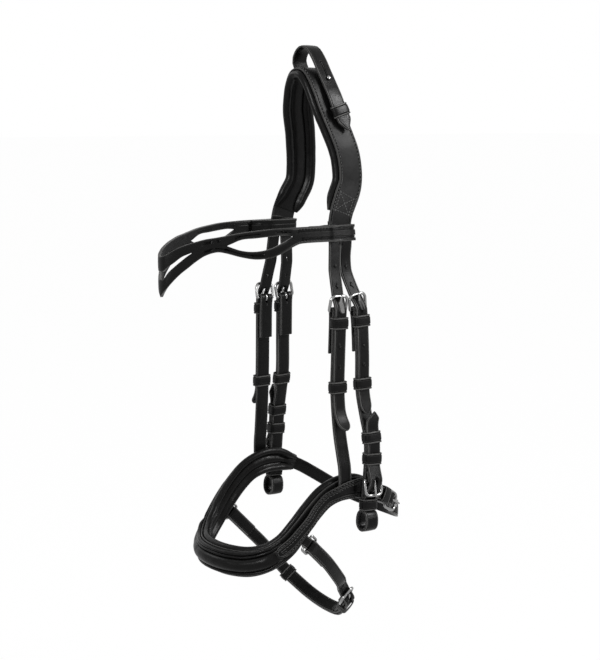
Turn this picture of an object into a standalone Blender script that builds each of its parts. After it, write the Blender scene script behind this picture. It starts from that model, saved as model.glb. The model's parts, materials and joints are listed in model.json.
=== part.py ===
"""Bridle with a shaped browband, a padded crown, a padded noseband and a chin strap.

Metres, +Z up. The horse faces -Y and its near (left) side is +X. The origin is the poll
seat: the underside of the crown pad, at the middle of the arch that goes over the poll.
Every strap is a flat strip of leather that follows a route, and each layer of a buckled
stack lies on the one below it with a named clearance.
"""
import math

import bmesh
import bpy
from mathutils import Matrix, Vector

MM = 0.001
NEAR = 1
FAR = -1
SIDES = ((NEAR, "near"), (FAR, "far"))

# Clearances and small making sizes
FIT_GAP = 0.3 * MM
SLIDE_GAP = 0.45 * MM
LOOSE_GAP = 0.6 * MM
MERGE_DISTANCE = 0.01 * MM
CUT_OVERRUN = 4 * MM
ROW_STEP = 12 * MM
CROWN_STEP = 7 * MM
HANG_STEP = 3.5 * MM
NOSE_STEP = 7.5 * MM
CORNER_CLEAR = 0.8 * MM
BROW_STEP = 2 * MM
SPAN_STEP_COUNT = 8

# Leather
STRAP_WIDTH = 13 * MM
STRAP_LEATHER = 2.3 * MM
THIN_LEATHER = 1.6 * MM
KEEPER_LEATHER = 1.3 * MM
EDGE_ROUND = 0.4 * MM

# Overall places of the head route: half width, rearward sweep and drop at the neck
NECK_HALF_WIDTH = 43 * MM
CROWN_SWEEP = 13 * MM
NECK_DROP = 123 * MM
CROWN_RISE_SHARE = 0.069

# Overall places of the cheeks and the noseband
FACE_HALF_WIDTH = 63 * MM
FACE_DEPTH = 104 * MM
BRIDLE_DROP = 344 * MM
JAW_REACH = 85 * MM

# Crown leather and its pad
CROWN_LEATHER_WIDTH = 24 * MM
NECK_WIDTH = 23.4 * MM
CROWN_ROLL_RADIUS = 3.5 * MM
CROWN_ROLL_PROUD = 3 * MM
CROWN_PAD_PANEL = 3 * MM
CROWN_PAD_END_DROP = 106 * MM
PAD_END_LIP = 14 * MM

# Billets of the headpiece
BILLET_WIDTH = 11.8 * MM
HOLE_RADIUS = 1.6 * MM
HOLE_PITCH = 17 * MM
HOLE_PULL = 2.4 * MM
HOLES_ABOVE_COUNT = 2
HOLES_BELOW_COUNT = 3
HANGER_BILLET_LENGTH = 101 * MM
CHEEK_BILLET_LENGTH = 90 * MM
BILLET_TIP_FLARE = 9 * MM
BILLET_TUCK = 2 * MM
SPLIT_EASE = 2.5 * MM
SPLIT_RUN = 16 * MM
SPLIT_TRIM = 0.4 * MM
TUCK_RISE = 34 * MM
TIP_LENGTH = 8 * MM
TIP_BEND = 19 * MM

# Strap buckles: a wire frame, its hinge bar A at the bottom, its rest bar B at the top
WIRE_RADIUS = 1.35 * MM
FRAME_PITCH = 13 * MM
FRAME_SIDE_GAP = 0.6 * MM
FRAME_CORNER = 3 * MM
FRAME_HINGE_CORNER = 1.6 * MM
FRAME_TILT = math.radians(18)
TONGUE_RADIUS = 1.05 * MM
TONGUE_TIP_RADIUS = 0.7 * MM
TONGUE_OVERHANG = 1.6 * MM
TONGUE_EYE_TURN = math.radians(240)
FOLD_LENGTH = 36 * MM
FOLD_SETTLE = 4.4 * MM
FOLD_ARC = math.radians(78)
BUCKLE_DROP = 193.5 * MM

# Keepers
KEEPER_HEIGHT = 10 * MM
KEEPER_CORNER = 1.2 * MM
KEEPER_BUTT_GAP = 2 * MM
FIXED_KEEPER_DROP = 9.8 * MM
CHEEK_RUNNER_DROP_NEAR = 63.5 * MM
CHEEK_RUNNER_DROP_FAR = 78 * MM
HANGER_RUNNER_DROP_NEAR = 64.5 * MM
HANGER_RUNNER_DROP_FAR = 76.5 * MM

# Bit end of the cheek strap
BIT_BUCKLE_DROP = 338 * MM
BIT_FRAME_TILT = math.radians(15)
BIT_CHAPE_LENGTH = 42 * MM
BIT_CHAPE_RETURN = 7.5 * MM
BIT_KEEPER_RISE = 18 * MM
BIT_KEEPER_PITCH = 17.5 * MM
BIT_TIP_RISE = 56 * MM
BIT_TIP_POINT = 8 * MM
BIT_TIP_FLARE = 9 * MM
LOOP_KEEPER_DROP = 22 * MM
LOOP_RADIUS = 6.8 * MM
LOOP_NECK = 11.8 * MM

# Hanging strap over the crown
HANG_WIDTH = 12.5 * MM
HANG_OFFSET = 5.4 * MM
HANG_LEAN = 3 * MM
HANG_RISE = 18.5 * MM
HANG_FAR_LENGTH = 24 * MM
HANG_NEAR_LENGTH = 69 * MM
HANG_POINT = 8 * MM
HANG_STUD_REACH = 20.5 * MM
HANG_SLIT_LENGTH = 17 * MM
HANG_SLIT_WIDTH = 1.1 * MM
STUD_NECK_RADIUS = 1.1 * MM
STUD_HEAD_RADIUS = 2.2 * MM
STUD_HEAD_HEIGHT = 2.4 * MM
STUD_BASE_RADIUS = 2.6 * MM
STUD_BASE_HEIGHT = 0.7 * MM

# Browband
BROW_REACH = 149 * MM
BROW_WIDTH_SHARE = 0.7556
BROW_HALF_WIDTH = FACE_HALF_WIDTH * BROW_WIDTH_SHARE
BROW_BELOW_NECK = 5.8 * MM
BROW_MIDDLE_DROP = NECK_DROP + BROW_BELOW_NECK
BROW_DIP = 49 * MM
BROW_LEATHER = 2.4 * MM
BROW_SLACK = 1.4 * MM
BROW_TURN_COUNT = 6
BROW_ARC = 155 * MM
BROW_LEAN_SHARE = 0.14
BROW_REAR_EDGE = 10.7 * MM
BROW_CONVERGE = 9 * MM
BROW_RETURN = 24 * MM

# Noseband
NOSE_BACKING = 2 * MM
NOSE_MIDDLE_HEIGHT = 22 * MM
NOSE_SIDE_HEIGHT = 18 * MM
LINING_THICKNESS = 5.6 * MM
LINING_ROLL_RADIUS = 3.1 * MM
LINING_PROUD = 2.4 * MM
LINING_PROUD_LOW = 2.6 * MM
LINING_END_REACH = 24 * MM
NOSE_ROLL_DEPTH = 6 * MM
NOSE_ROLL_HEIGHT = 20 * MM
NOSE_ROLL_END_REACH = 67 * MM
OVERLAY_LEATHER = 1.8 * MM
OVERLAY_HEIGHT = 17.5 * MM
OVERLAY_FRONT_REACH = 74 * MM
OVERLAY_END_REACH = 14 * MM
OVERLAY_STEP_LENGTH = 9 * MM

# Jaw strap at the back of the noseband
JAW_STRAP_WIDTH = 11.5 * MM
JAW_BUCKLE_REACH = 41 * MM
JAW_CHAPE_START_REACH = 15.5 * MM
JAW_TIP_LENGTH = 27 * MM
JAW_KEEPER_DROP = 11 * MM
ROLLER_WALL = 0.6 * MM

# Chin strap
CHIN_WIDTH = 11.5 * MM
CHIN_DROP = 474 * MM
CHIN_REAR = 22 * MM
CHIN_BUCKLE_SHARE = 0.63
CHIN_FOLD_LENGTH = 24 * MM
CHIN_END_FOLD = 26 * MM
CHIN_TIP_LENGTH = 92 * MM
CHIN_RUNNER_DROP = 85 * MM
CHIN_KEEPER_DROP = 10 * MM
RING_WIRE_RADIUS = 1.1 * MM
RING_PITCH = 7.6 * MM
TAB_WIDTH = 9.5 * MM
TAB_RISE = 12 * MM
CHIN_KEEPER_HEIGHT = 8 * MM

# Making sizes of the pads, the panels and the loops
CROWN_CHANNEL = 1.2 * MM
CHANNEL_SHARE = 0.55
PANEL_SHARE = 0.75
END_SWELL_SHARE = 0.3
ROLL_TAPER = 12 * MM
ROLL_LIP_RUN = 10 * MM
ROLL_TAPER_SHARE = 0.25
ROLL_LIP = 1.8 * MM
ROLL_SHARES = (
    (1.00, 0.00), (1.00, 0.28), (0.86, 0.46), (0.72, 0.28),
    (0.58, 0.50), (0.44, 0.30), (0.30, 0.78), (0.02, 1.00),
    (-0.34, 0.92), (-0.60, 0.60), (-0.72, 0.30), (-0.86, 0.40), (-1.00, 0.24), (-1.00, 0.00),
)
BACKING_END_REACH = 24 * MM
OVERLAY_ROLL_REACH = 65 * MM
OVERLAY_TAB_REACH = 46 * MM
OVERLAY_TAB_END = 39 * MM
OVERLAY_HANGER_FRONT = 19 * MM
OVERLAY_HANGER_REAR = 3.5 * MM
OVERLAY_ROUND = 8 * MM
HANGER_END_TRIM = 1.5 * MM
HANGER_STAND = 0.9 * MM
LOOP_NECK_SHARE = 0.72
LOOP_TURNS = (45, 75, 105, 135, 165, 195, 225, 255, 285, 315)
BIT_EASE_SHARE = 0.75
BIT_LAY_SHARE = 0.78
BIT_BEND_SHARE = 0.4
CHAPE_ARC_SHARES = (-1.0, -0.66, -0.33, 0.0, 0.33, 0.66, 1.0, 1.4)
HANG_ARCH_SHARES = (
    (-0.86, 0.38), (-0.62, 0.82), (-0.22, 1.02), (0.18, 0.90), (0.55, 0.46), (0.90, -0.12))
STUD_HOLE_RADIUS = 1.6 * MM
JAW_LAY = 1.3 * MM
JAW_TILT = math.radians(12)
JAW_SETTLE = 22 * MM
JAW_RELIEF_RUN = 34 * MM
JAW_RELIEF = 4.6 * MM
JAW_FAR_SEAM_REACH = 15.5 * MM
CHIN_TILT = math.radians(12)
CHIN_SETTLE = 22 * MM
CHIN_RELIEF_RUN = 34 * MM
CHIN_RELIEF = 1.2 * MM
CHIN_ACROSS = (0, 0.77, 0.63)
TAB_TURNS = (-30, 0, 30, 60, 90, 120, 150, 180)

# Colours
BLACK_LEATHER = (0.018, 0.018, 0.019)
PAD_LEATHER = (0.014, 0.014, 0.015)
STEEL = (0.72, 0.72, 0.70)

# Routes, as shares of the sizes named beside them
# Crown and neck: half width, sweep, neck drop
CROWN_ROUTE_SHARES = (
    (0.205, -0.26, 0.052),
    (0.380, -0.20, -0.012),
    (0.515, -0.07, -0.106),
    (0.625, 0.13, -0.211),
    (0.737, 0.560, -0.350),
    (0.849, 0.892, -0.488),
    (0.904, 1.015, -0.610),
    (0.927, 0.954, -0.715),
    (0.966, 0.460, -0.821),
    (0.991, 0.060, -0.919),
    (1.000, -0.108, -1.000),
)
CROWN_APEX_SWEEP_SHARE = -0.23
# Cheek lines: face half width, strap spread, bridle drop
STRAP_SPREAD = 12 * MM
HANGER_LINE_SHARES = (
    (0.734, -0.700, 0.404),
    (0.810, -0.870, 0.480),
    (0.860, -0.970, 0.5465),
    (0.873, -1.025, 0.587),
    (0.867, -1.083, 0.683),
    (0.867, -1.117, 0.762),
    (0.913, -1.067, 0.858),
    (0.975, -0.967, 0.925),
    (1.006, -0.933, 0.958),
    (1.010, -0.917, 1.030),
)
CHEEK_LINE_SHARES = (
    (0.712, 0.350, 0.399),
    (0.708, 0.340, 0.436),
    (0.748, 0.430, 0.480),
    (0.850, 0.750, 0.5465),
    (0.884, 0.850, 0.587),
    (0.905, 0.900, 0.674),
    (0.914, 0.908, 0.762),
    (0.992, 0.967, 0.826),
    (1.067, 1.033, 0.878),
    (1.090, 1.000, 0.930),
    (1.092, 0.875, 0.988),
    (1.089, 0.750, 1.052),
    (1.089, 0.667, 1.093),
    (1.089, 0.625, 1.140),
)
# Noseband: face half width, face depth (forward), bridle drop, middle height
NOSE_LINE_SHARES = (
    (0.000, 1.000, 1.1750, 1.00),
    (0.310, 0.970, 1.1750, 1.00),
    (0.587, 0.880, 1.1720, 0.96),
    (0.800, 0.765, 1.1560, 0.86),
    (0.925, 0.640, 1.1280, 0.80),
    (0.976, 0.525, 1.0910, 0.78),
    (0.992, 0.404, 1.0530, 0.78),
    (0.995, 0.269, 1.0210, 0.80),
    (0.994, 0.115, 1.0060, 0.82),
)
# Jaw end of the same line: face half width, jaw reach (rearward), bridle drop, height
JAW_LINE_SHARES = (
    (0.997, 0.044, 1.0065, 0.82),
    (0.984, 0.200, 1.0180, 0.76),
    (0.945, 0.360, 1.0360, 0.62),
    (0.865, 0.520, 1.0620, 0.54),
    (0.740, 0.675, 1.0900, 0.52),
    (0.560, 0.815, 1.1150, 0.52),
    (0.300, 0.945, 1.1330, 0.52),
    (0.000, 1.000, 1.1400, 0.52),
)
# Browband: half width, reach (forward)
BROW_PLAN_SHARES = (
    (0.000, 1.000),
    (0.130, 0.985),
    (0.290, 0.905),
    (0.465, 0.798),
    (0.655, 0.668),
    (0.800, 0.532),
    (0.905, 0.400),
    (0.975, 0.262),
    (1.000, 0.120),
    (0.998, 0.020),
    (0.996, -0.060),
)
# Browband shape along the half arc: arc share, then bottom edge, the two edges of the
# opening (or one place twice where it is closed) and top edge, as shares of the dip
BROW_SHAPE_SHARES = (
    (0.000, -0.990, -0.690, -0.555, -0.318),
    (0.022, -0.905, -0.690, -0.555, -0.300),
    (0.050, -0.800, -0.565, -0.475, -0.255),
    (0.080, -0.690, -0.475, -0.405, -0.195),
    (0.115, -0.585, -0.385, -0.320, -0.145),
    (0.150, -0.500, -0.300, -0.270, -0.105),
    (0.190, -0.400, -0.225, -0.225, -0.070),
    (0.240, -0.300, -0.165, -0.165, -0.030),
    (0.300, -0.245, -0.125, -0.125, -0.002),
    (0.350, -0.265, -0.140, -0.140, 0.025),
    (0.430, -0.335, -0.225, -0.045, 0.068),
    (0.510, -0.378, -0.250, -0.025, 0.095),
    (0.590, -0.360, -0.210, -0.005, 0.118),
    (0.660, -0.285, -0.115, 0.006, 0.128),
    (0.730, -0.175, -0.012, -0.012, 0.134),
    (0.790, -0.137, 0.000, 0.000, 0.137),
    (1.000, -0.137, 0.000, 0.000, 0.137),
)
# Chin strap: face half width, rearward from the ring line to the chin, drop from ring to chin
CHIN_RING_REACH = 44 * MM
CHIN_RING_DROP = 391 * MM
CHIN_LINE_SHARES = (
    (-0.995, 0.000, 0.000),
    (-0.920, 0.225, 0.200),
    (-0.800, 0.370, 0.345),
    (-0.690, 0.500, 0.500),
    (-0.560, 0.605, 0.640),
    (-0.381, 0.745, 0.790),
    (-0.222, 0.845, 0.890),
    (-0.032, 0.940, 0.965),
    (0.175, 1.000, 0.985),
    (0.390, 0.955, 0.885),
    (0.571, 0.850, 0.725),
    (0.730, 0.670, 0.545),
    (0.841, 0.490, 0.390),
    (0.940, 0.265, 0.200),
    (0.998, 0.000, 0.000),
)
ROUND_TIP_SHARES = (0.0, 0.35, 0.6, 0.8, 0.93, 0.99)
TIP_NARROWING_SHARE = 0.12
TIP_END_SHARE = 0.1
POINT_TIP_SHARES = ((0.0, 1.0), (0.3, 0.86), (0.65, 0.55), (1.0, 0.12))
OVER_EASE_SHARE = 0.3
TONGUE_RUN_SHARES = (0.5, 0.85, 1.0)
ARC_SHARES = (-1.0, -0.66, -0.33, 0.0, 0.33, 0.66, 1.0)
CORNER_SHARES = (0.0, 0.5, 1.0)
PUNCH_SIDE_COUNT = 8
TURNED_STEP_COUNT = 16
TANGENT_ROUND_COUNT = 8


def collection_named(name):
    """A collection in the scene with this name, made if it is missing."""
    group = bpy.data.collections.get(name) or bpy.data.collections.new(name)
    if name not in bpy.context.scene.collection.children:
        bpy.context.scene.collection.children.link(group)
    return group


def finish(name, colour, roughness, metallic):
    """A plain Principled material of its own for one piece."""
    material = bpy.data.materials.new(name)
    material.use_nodes = True
    shader = material.node_tree.nodes["Principled BSDF"]
    shader.inputs["Base Color"].default_value = (*colour, 1)
    shader.inputs["Roughness"].default_value = roughness
    shader.inputs["Metallic"].default_value = metallic
    material.diffuse_color = (*colour, 1)
    return material


def leather_finish(name):
    """Black dyed strap leather."""
    return finish(name, BLACK_LEATHER, 0.45, 0)


def pad_finish(name):
    """Soft black lining leather."""
    return finish(name, PAD_LEATHER, 0.6, 0)


def steel_finish(name):
    """Polished stainless steel."""
    return finish(name, STEEL, 0.2, 1)


def smooth_line(values, steps=SPAN_STEP_COUNT):
    """Points on a smooth line through the given tuples, with equal steps to a span."""
    last = len(values) - 1
    line = []
    for i in range(last):
        ends = (values[max(i - 1, 0)], values[i], values[i + 1], values[min(i + 2, last)])
        for k in range(steps):
            t = k / steps
            line.append(tuple(
                0.5 * (2 * b + (c - a) * t + (2 * a - 5 * b + 4 * c - d) * t * t
                       + (3 * b - a - 3 * c + d) * t ** 3)
                for a, b, c, d in zip(*ends)))
    line.append(tuple(values[-1]))
    return line


def clamp_index(lengths, s):
    """The span of a rising list of lengths that holds s."""
    low = 0
    high = len(lengths) - 2
    while low < high:
        mid = (low + high + 1) // 2
        if lengths[mid] <= s:
            low = mid
        else:
            high = mid - 1
    return low


class Route:
    """A smooth line in space with a height at each point and a direction across it."""

    def __init__(self, places, across_hint, step=ROW_STEP):
        self.hint = Vector(across_hint)
        self.set_points(smooth_line([tuple(place) for place in places]))
        count = 2 * math.ceil(self.total / step / 2)
        even = []
        for k in range(count + 1):
            point, _, _, _, height = self.at(self.total * k / count)
            even.append((*point, height))
        self.set_points(even)

    def set_points(self, places):
        """Take these places as the corners of the line."""
        self.points = [Vector(place[:3]) for place in places]
        self.heights = [place[3] if len(place) > 3 else 0 for place in places]
        self.lengths = [0]
        for a, b in zip(self.points, self.points[1:]):
            self.lengths.append(self.lengths[-1] + (b - a).length)
        self.total = self.lengths[-1]
        last = len(self.points) - 1
        self.tangents = [(self.points[min(i + 1, last)] - self.points[max(i - 1, 0)]).normalized()
                         for i in range(last + 1)]

    def corners(self, start, end):
        """Both ends and the lengths of the line's corners between them."""
        low, high = min(start, end), max(start, end)
        inside = [s for s in self.lengths if low + CORNER_CLEAR < s < high - CORNER_CLEAR]
        lengths = [low] + inside + [high]
        return lengths if start <= end else lengths[::-1]

    def at(self, s):
        """Point, tangent, across, outward direction and height at the length s."""
        i = clamp_index(self.lengths, s)
        span = self.lengths[i + 1] - self.lengths[i]
        t = (s - self.lengths[i]) / span
        inside = min(max(t, 0), 1)
        tangent = self.tangents[i].lerp(self.tangents[i + 1], inside).normalized()
        point = self.points[i].lerp(self.points[i + 1], inside)
        point = point + tangent * (t - inside) * span
        across = (self.hint - tangent * self.hint.dot(tangent)).normalized()
        height = self.heights[i] + (self.heights[i + 1] - self.heights[i]) * inside
        return point, tangent, across, tangent.cross(across), height

    def place(self, s, v, n):
        """The point at length s, v across the line and n outward of it."""
        point, _, across, out, _ = self.at(s)
        return point + across * v + out * n

    def height(self, s):
        """The height set for the line at length s."""
        return self.at(s)[4]

    def length_at(self, axis, value, start=0):
        """The first length after start at which a coordinate passes the value."""
        for i in range(len(self.points) - 1):
            a = self.points[i][axis] - value
            b = self.points[i + 1][axis] - value
            if self.lengths[i + 1] > start and a * b <= 0 and a != b:
                return self.lengths[i] + (self.lengths[i + 1] - self.lengths[i]) * a / (a - b)
        return self.total


class Stack:
    """Layers measured from a bar on a route: u along it, v across, n outward of the bar."""

    def __init__(self, route, start, direction=1, base=0):
        self.route = route
        self.start = start
        self.direction = direction
        self.base = base

    def place(self, u, v, n):
        """The world point of a place in the stack."""
        return self.route.place(self.start + self.direction * u, v, self.base + n)

    def corners(self, middle, height):
        """Both ends of a band of this height, and the corners of the route that it covers."""
        ends = [self.start + self.direction * (middle + offset)
                for offset in (-height / 2, height / 2)]
        return [(s - self.start) * self.direction for s in self.route.corners(*ends)]


def reflect(point, side):
    """The same point on the near or far side."""
    return Vector((side * point[0], point[1], point[2]))


def fill_rows(stack, profile):
    """The profile with a place added at each corner of the route that it passes."""
    rows = [tuple(profile[0])]
    for a, b in zip(profile, profile[1:]):
        start = stack.start + stack.direction * a[0]
        end = stack.start + stack.direction * b[0]
        for s in stack.route.corners(start, end)[1:-1]:
            share = (s - start) / (end - start)
            rows.append(tuple(p + (q - p) * share for p, q in zip(a, b)))
        rows.append(tuple(b))
    return rows


def strap_rows(stack, profile):
    """Pairs of edge points along a profile of (u, n, half width)."""
    return [[stack.place(u, -half, n), stack.place(u, half, n)]
            for u, n, half in fill_rows(stack, profile)]


def tip_width_share(share):
    """How wide a rounded strap end is at a share of its length."""
    circle = math.sqrt(1 - share * share)
    return circle * (1 - TIP_NARROWING_SHARE * share) + TIP_END_SHARE * share


def round_tip(start, length, half, n_start, n_end):
    """Profile places of a rounded strap end from start to start plus length."""
    return [(start + length * share, n_start + (n_end - n_start) * share,
             half * tip_width_share(share))
            for share in ROUND_TIP_SHARES]


def point_tip(start, length, half, n_start, n_end):
    """Profile places of a pointed strap end."""
    return [(start + length * share, n_start + (n_end - n_start) * share, half * wide)
            for share, wide in POINT_TIP_SHARES]


def link_object(name, data, origin=None):
    """Put a new object in the parts collection, with its origin where it turns or slides."""
    obj = bpy.data.objects.new(name, data)
    if origin is not None:
        obj.location = origin
    PARTS.objects.link(obj)
    return obj


def sheet_mesh(name, strips, skips=(), side=NEAR, origin=None):
    """An open mesh of quads between the rows of each strip, with shared places welded."""
    centre = origin or Vector((0, 0, 0))
    bm = bmesh.new()
    for strip_index, rows in enumerate(strips):
        verts = [[bm.verts.new(reflect(p, side) - centre) for p in row] for row in rows]
        for i in range(len(rows) - 1):
            for j in range(len(rows[i]) - 1):
                if (strip_index, i, j) not in skips:
                    bm.faces.new((verts[i][j], verts[i][j + 1],
                                  verts[i + 1][j + 1], verts[i + 1][j]))
    loose = [v for v in bm.verts if not v.link_faces]
    bmesh.ops.delete(bm, geom=loose, context="VERTS")
    bmesh.ops.remove_doubles(bm, verts=bm.verts, dist=MERGE_DISTANCE)
    bmesh.ops.dissolve_degenerate(bm, edges=bm.edges, dist=MERGE_DISTANCE)
    bmesh.ops.recalc_face_normals(bm, faces=bm.faces)
    mesh = bpy.data.meshes.new(name)
    bm.to_mesh(mesh)
    bm.free()
    return mesh


def leather_piece(name, strips, thickness=STRAP_LEATHER, skips=(), side=NEAR, mirror=False,
                  edge=None, material=None, origin=None):
    """A strip of leather: an open surface with Mirror, Solidify and Bevel as asked."""
    obj = link_object(name, sheet_mesh(name, strips, skips, side, origin), origin)
    obj.data.materials.append(material or leather_finish(name))
    if mirror:
        add_mirror(obj)
    shell = obj.modifiers.new("Leather thickness", "SOLIDIFY")
    shell.thickness = thickness
    shell.offset = 0
    shell.use_even_offset = True
    if edge:
        add_bevel(obj, edge)
    return obj


def add_mirror(obj):
    """Make the far half of a piece that is open at the mid plane."""
    mirror = obj.modifiers.new("Far half", "MIRROR")
    mirror.use_axis = (True, False, False)
    mirror.merge_threshold = MERGE_DISTANCE


def add_bevel(obj, width):
    """Ease the cut edges of a piece."""
    bevel = obj.modifiers.new("Eased edges", "BEVEL")
    bevel.width = width
    bevel.segments = 1
    bevel.limit_method = "ANGLE"
    bevel.angle_limit = math.radians(50)


def loft_piece(name, sections, material, side=NEAR, mirror=False):
    """A soft solid through closed sections of equal point counts, capped where not mirrored."""
    bm = bmesh.new()
    rings = [[bm.verts.new(reflect(p, side)) for p in ring] for ring in sections]
    count = len(rings[0])
    for a, b in zip(rings, rings[1:]):
        for j in range(count):
            bm.faces.new((a[j], a[(j + 1) % count], b[(j + 1) % count], b[j]))
    bm.faces.new(rings[-1])
    if not mirror:
        bm.faces.new(rings[0])
    bmesh.ops.recalc_face_normals(bm, faces=bm.faces)
    if mirror:
        face_outward(bm)
    mesh = bpy.data.meshes.new(name)
    bm.to_mesh(mesh)
    bm.free()
    mesh.shade_smooth()
    mesh.materials.append(material)
    obj = link_object(name, mesh)
    if mirror:
        add_mirror(obj)
    return obj


def face_outward(bm):
    """Turn a mesh that is open at the mid plane so that its faces point out."""
    volume = sum(face.calc_center_median().dot(face.normal) * face.calc_area()
                 for face in bm.faces)
    if volume < 0:
        bmesh.ops.reverse_faces(bm, faces=bm.faces)


def wire_piece(name, points, radius, cyclic=False, side=NEAR, origin=None, radii=None):
    """A round wire through the points."""
    centre = origin or Vector((0, 0, 0))
    curve = bpy.data.curves.new(name, "CURVE")
    curve.dimensions = "3D"
    curve.bevel_depth = radius
    curve.bevel_resolution = 2
    curve.use_fill_caps = True
    spline = curve.splines.new("POLY")
    spline.points.add(len(points) - 1)
    for i, point in enumerate(points):
        spline.points[i].co = (*(reflect(point, side) - centre), 1)
        spline.points[i].radius = radii[i] / radius if radii else 1
    spline.use_cyclic_u = cyclic
    curve.materials.append(steel_finish(name))
    return link_object(name, curve, origin)


def add_cut(obj, cutter):
    """Cut one solid out of another."""
    cutter.hide_render = True
    cutter.display_type = "WIRE"
    cut = obj.modifiers.new("Punched holes", "BOOLEAN")
    cut.object = cutter
    cut.operation = "DIFFERENCE"
    cut.solver = "EXACT"


def punch_outline(half_length, half_width):
    """The outline of a round or round-ended punch."""
    outline = []
    for k in range(PUNCH_SIDE_COUNT):
        turn = 2 * math.pi * (k + 0.5) / PUNCH_SIDE_COUNT
        straight = math.copysign(half_length - half_width, math.cos(turn))
        outline.append((math.cos(turn) * half_width + straight, math.sin(turn) * half_width))
    return outline


def punch_cutter(name, punches, side=NEAR, mirror=False):
    """Round or oval punches: (centre, along, across, half length, half width, depth) each."""
    bm = bmesh.new()
    for centre, along, across, half_length, half_width, depth in punches:
        for hand in ((NEAR, FAR) if mirror else (side,)):
            a = reflect(along, hand)
            b = reflect(across, hand)
            c = a.cross(b)
            middle = reflect(centre, hand)
            outline = punch_outline(half_length, half_width)
            low = [bm.verts.new(middle + a * x + b * y - c * depth / 2) for x, y in outline]
            top = [bm.verts.new(middle + a * x + b * y + c * depth / 2) for x, y in outline]
            bm.faces.new(list(reversed(low)))
            bm.faces.new(top)
            for i, vert in enumerate(low):
                j = (i + 1) % len(low)
                bm.faces.new((vert, low[j], top[j], top[i]))
    mesh = bpy.data.meshes.new(name)
    bm.to_mesh(mesh)
    bm.free()
    obj = bpy.data.objects.new(name, mesh)
    CUTTERS.objects.link(obj)
    return obj


def corner_points(corner, start, end):
    """A round corner in the plane: three points from the start angle to the end angle."""
    x, y, radius = corner
    return [(x + radius * math.cos(start + (end - start) * share),
             y + radius * math.sin(start + (end - start) * share)) for share in CORNER_SHARES]


def band_outline(half_width, low, high, radius):
    """A closed round-cornered outline as (v, n) pairs."""
    quarter = math.pi / 2
    outline = []
    corners = ((half_width - radius, high - radius), (radius - half_width, high - radius),
               (radius - half_width, low + radius), (half_width - radius, low + radius))
    for turn, (v, n) in enumerate(corners):
        outline += corner_points((v, n, radius), turn * quarter, (turn + 1) * quarter)
    return outline


def keeper_piece(name, stack, u, low, high, side, half_width=STRAP_WIDTH / 2,
                 height=KEEPER_HEIGHT, gap=FIT_GAP, moving=False):
    """A closed leather band round layers that reach from n low to n high."""
    clear = gap + KEEPER_LEATHER / 2
    outline = band_outline(half_width + clear, low - clear, high + clear, KEEPER_CORNER)
    outline.append(outline[0])
    rows = [[stack.place(at, v, n) for v, n in outline] for at in stack.corners(u, height)]
    origin = reflect(stack.place(u, 0, (low + high) / 2), side) if moving else None
    return leather_piece(name, [rows], KEEPER_LEATHER, side=side, edge=None, origin=origin)


def tucked_keeper(name, stack, u, high, side, half_width=STRAP_WIDTH / 2, tuck=0):
    """A leather band over the layers, its ends tucked in between the folded strap's layers."""
    clear = FIT_GAP + KEEPER_LEATHER / 2
    v_side = half_width + clear
    top = high + clear
    quarter = math.pi / 2
    half = [(KEEPER_BUTT_GAP / 2, tuck)]
    half += corner_points((v_side - KEEPER_CORNER, tuck + KEEPER_CORNER, KEEPER_CORNER), -quarter, 0)
    half += corner_points((v_side - KEEPER_CORNER, top - KEEPER_CORNER, KEEPER_CORNER), 0, quarter)
    outline = half + [(-v, n) for v, n in reversed(half)]
    rows = [[stack.place(at, v, n) for v, n in outline]
            for at in stack.corners(u, KEEPER_HEIGHT)]
    return leather_piece(name, [rows], KEEPER_LEATHER, side=side)


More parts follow.
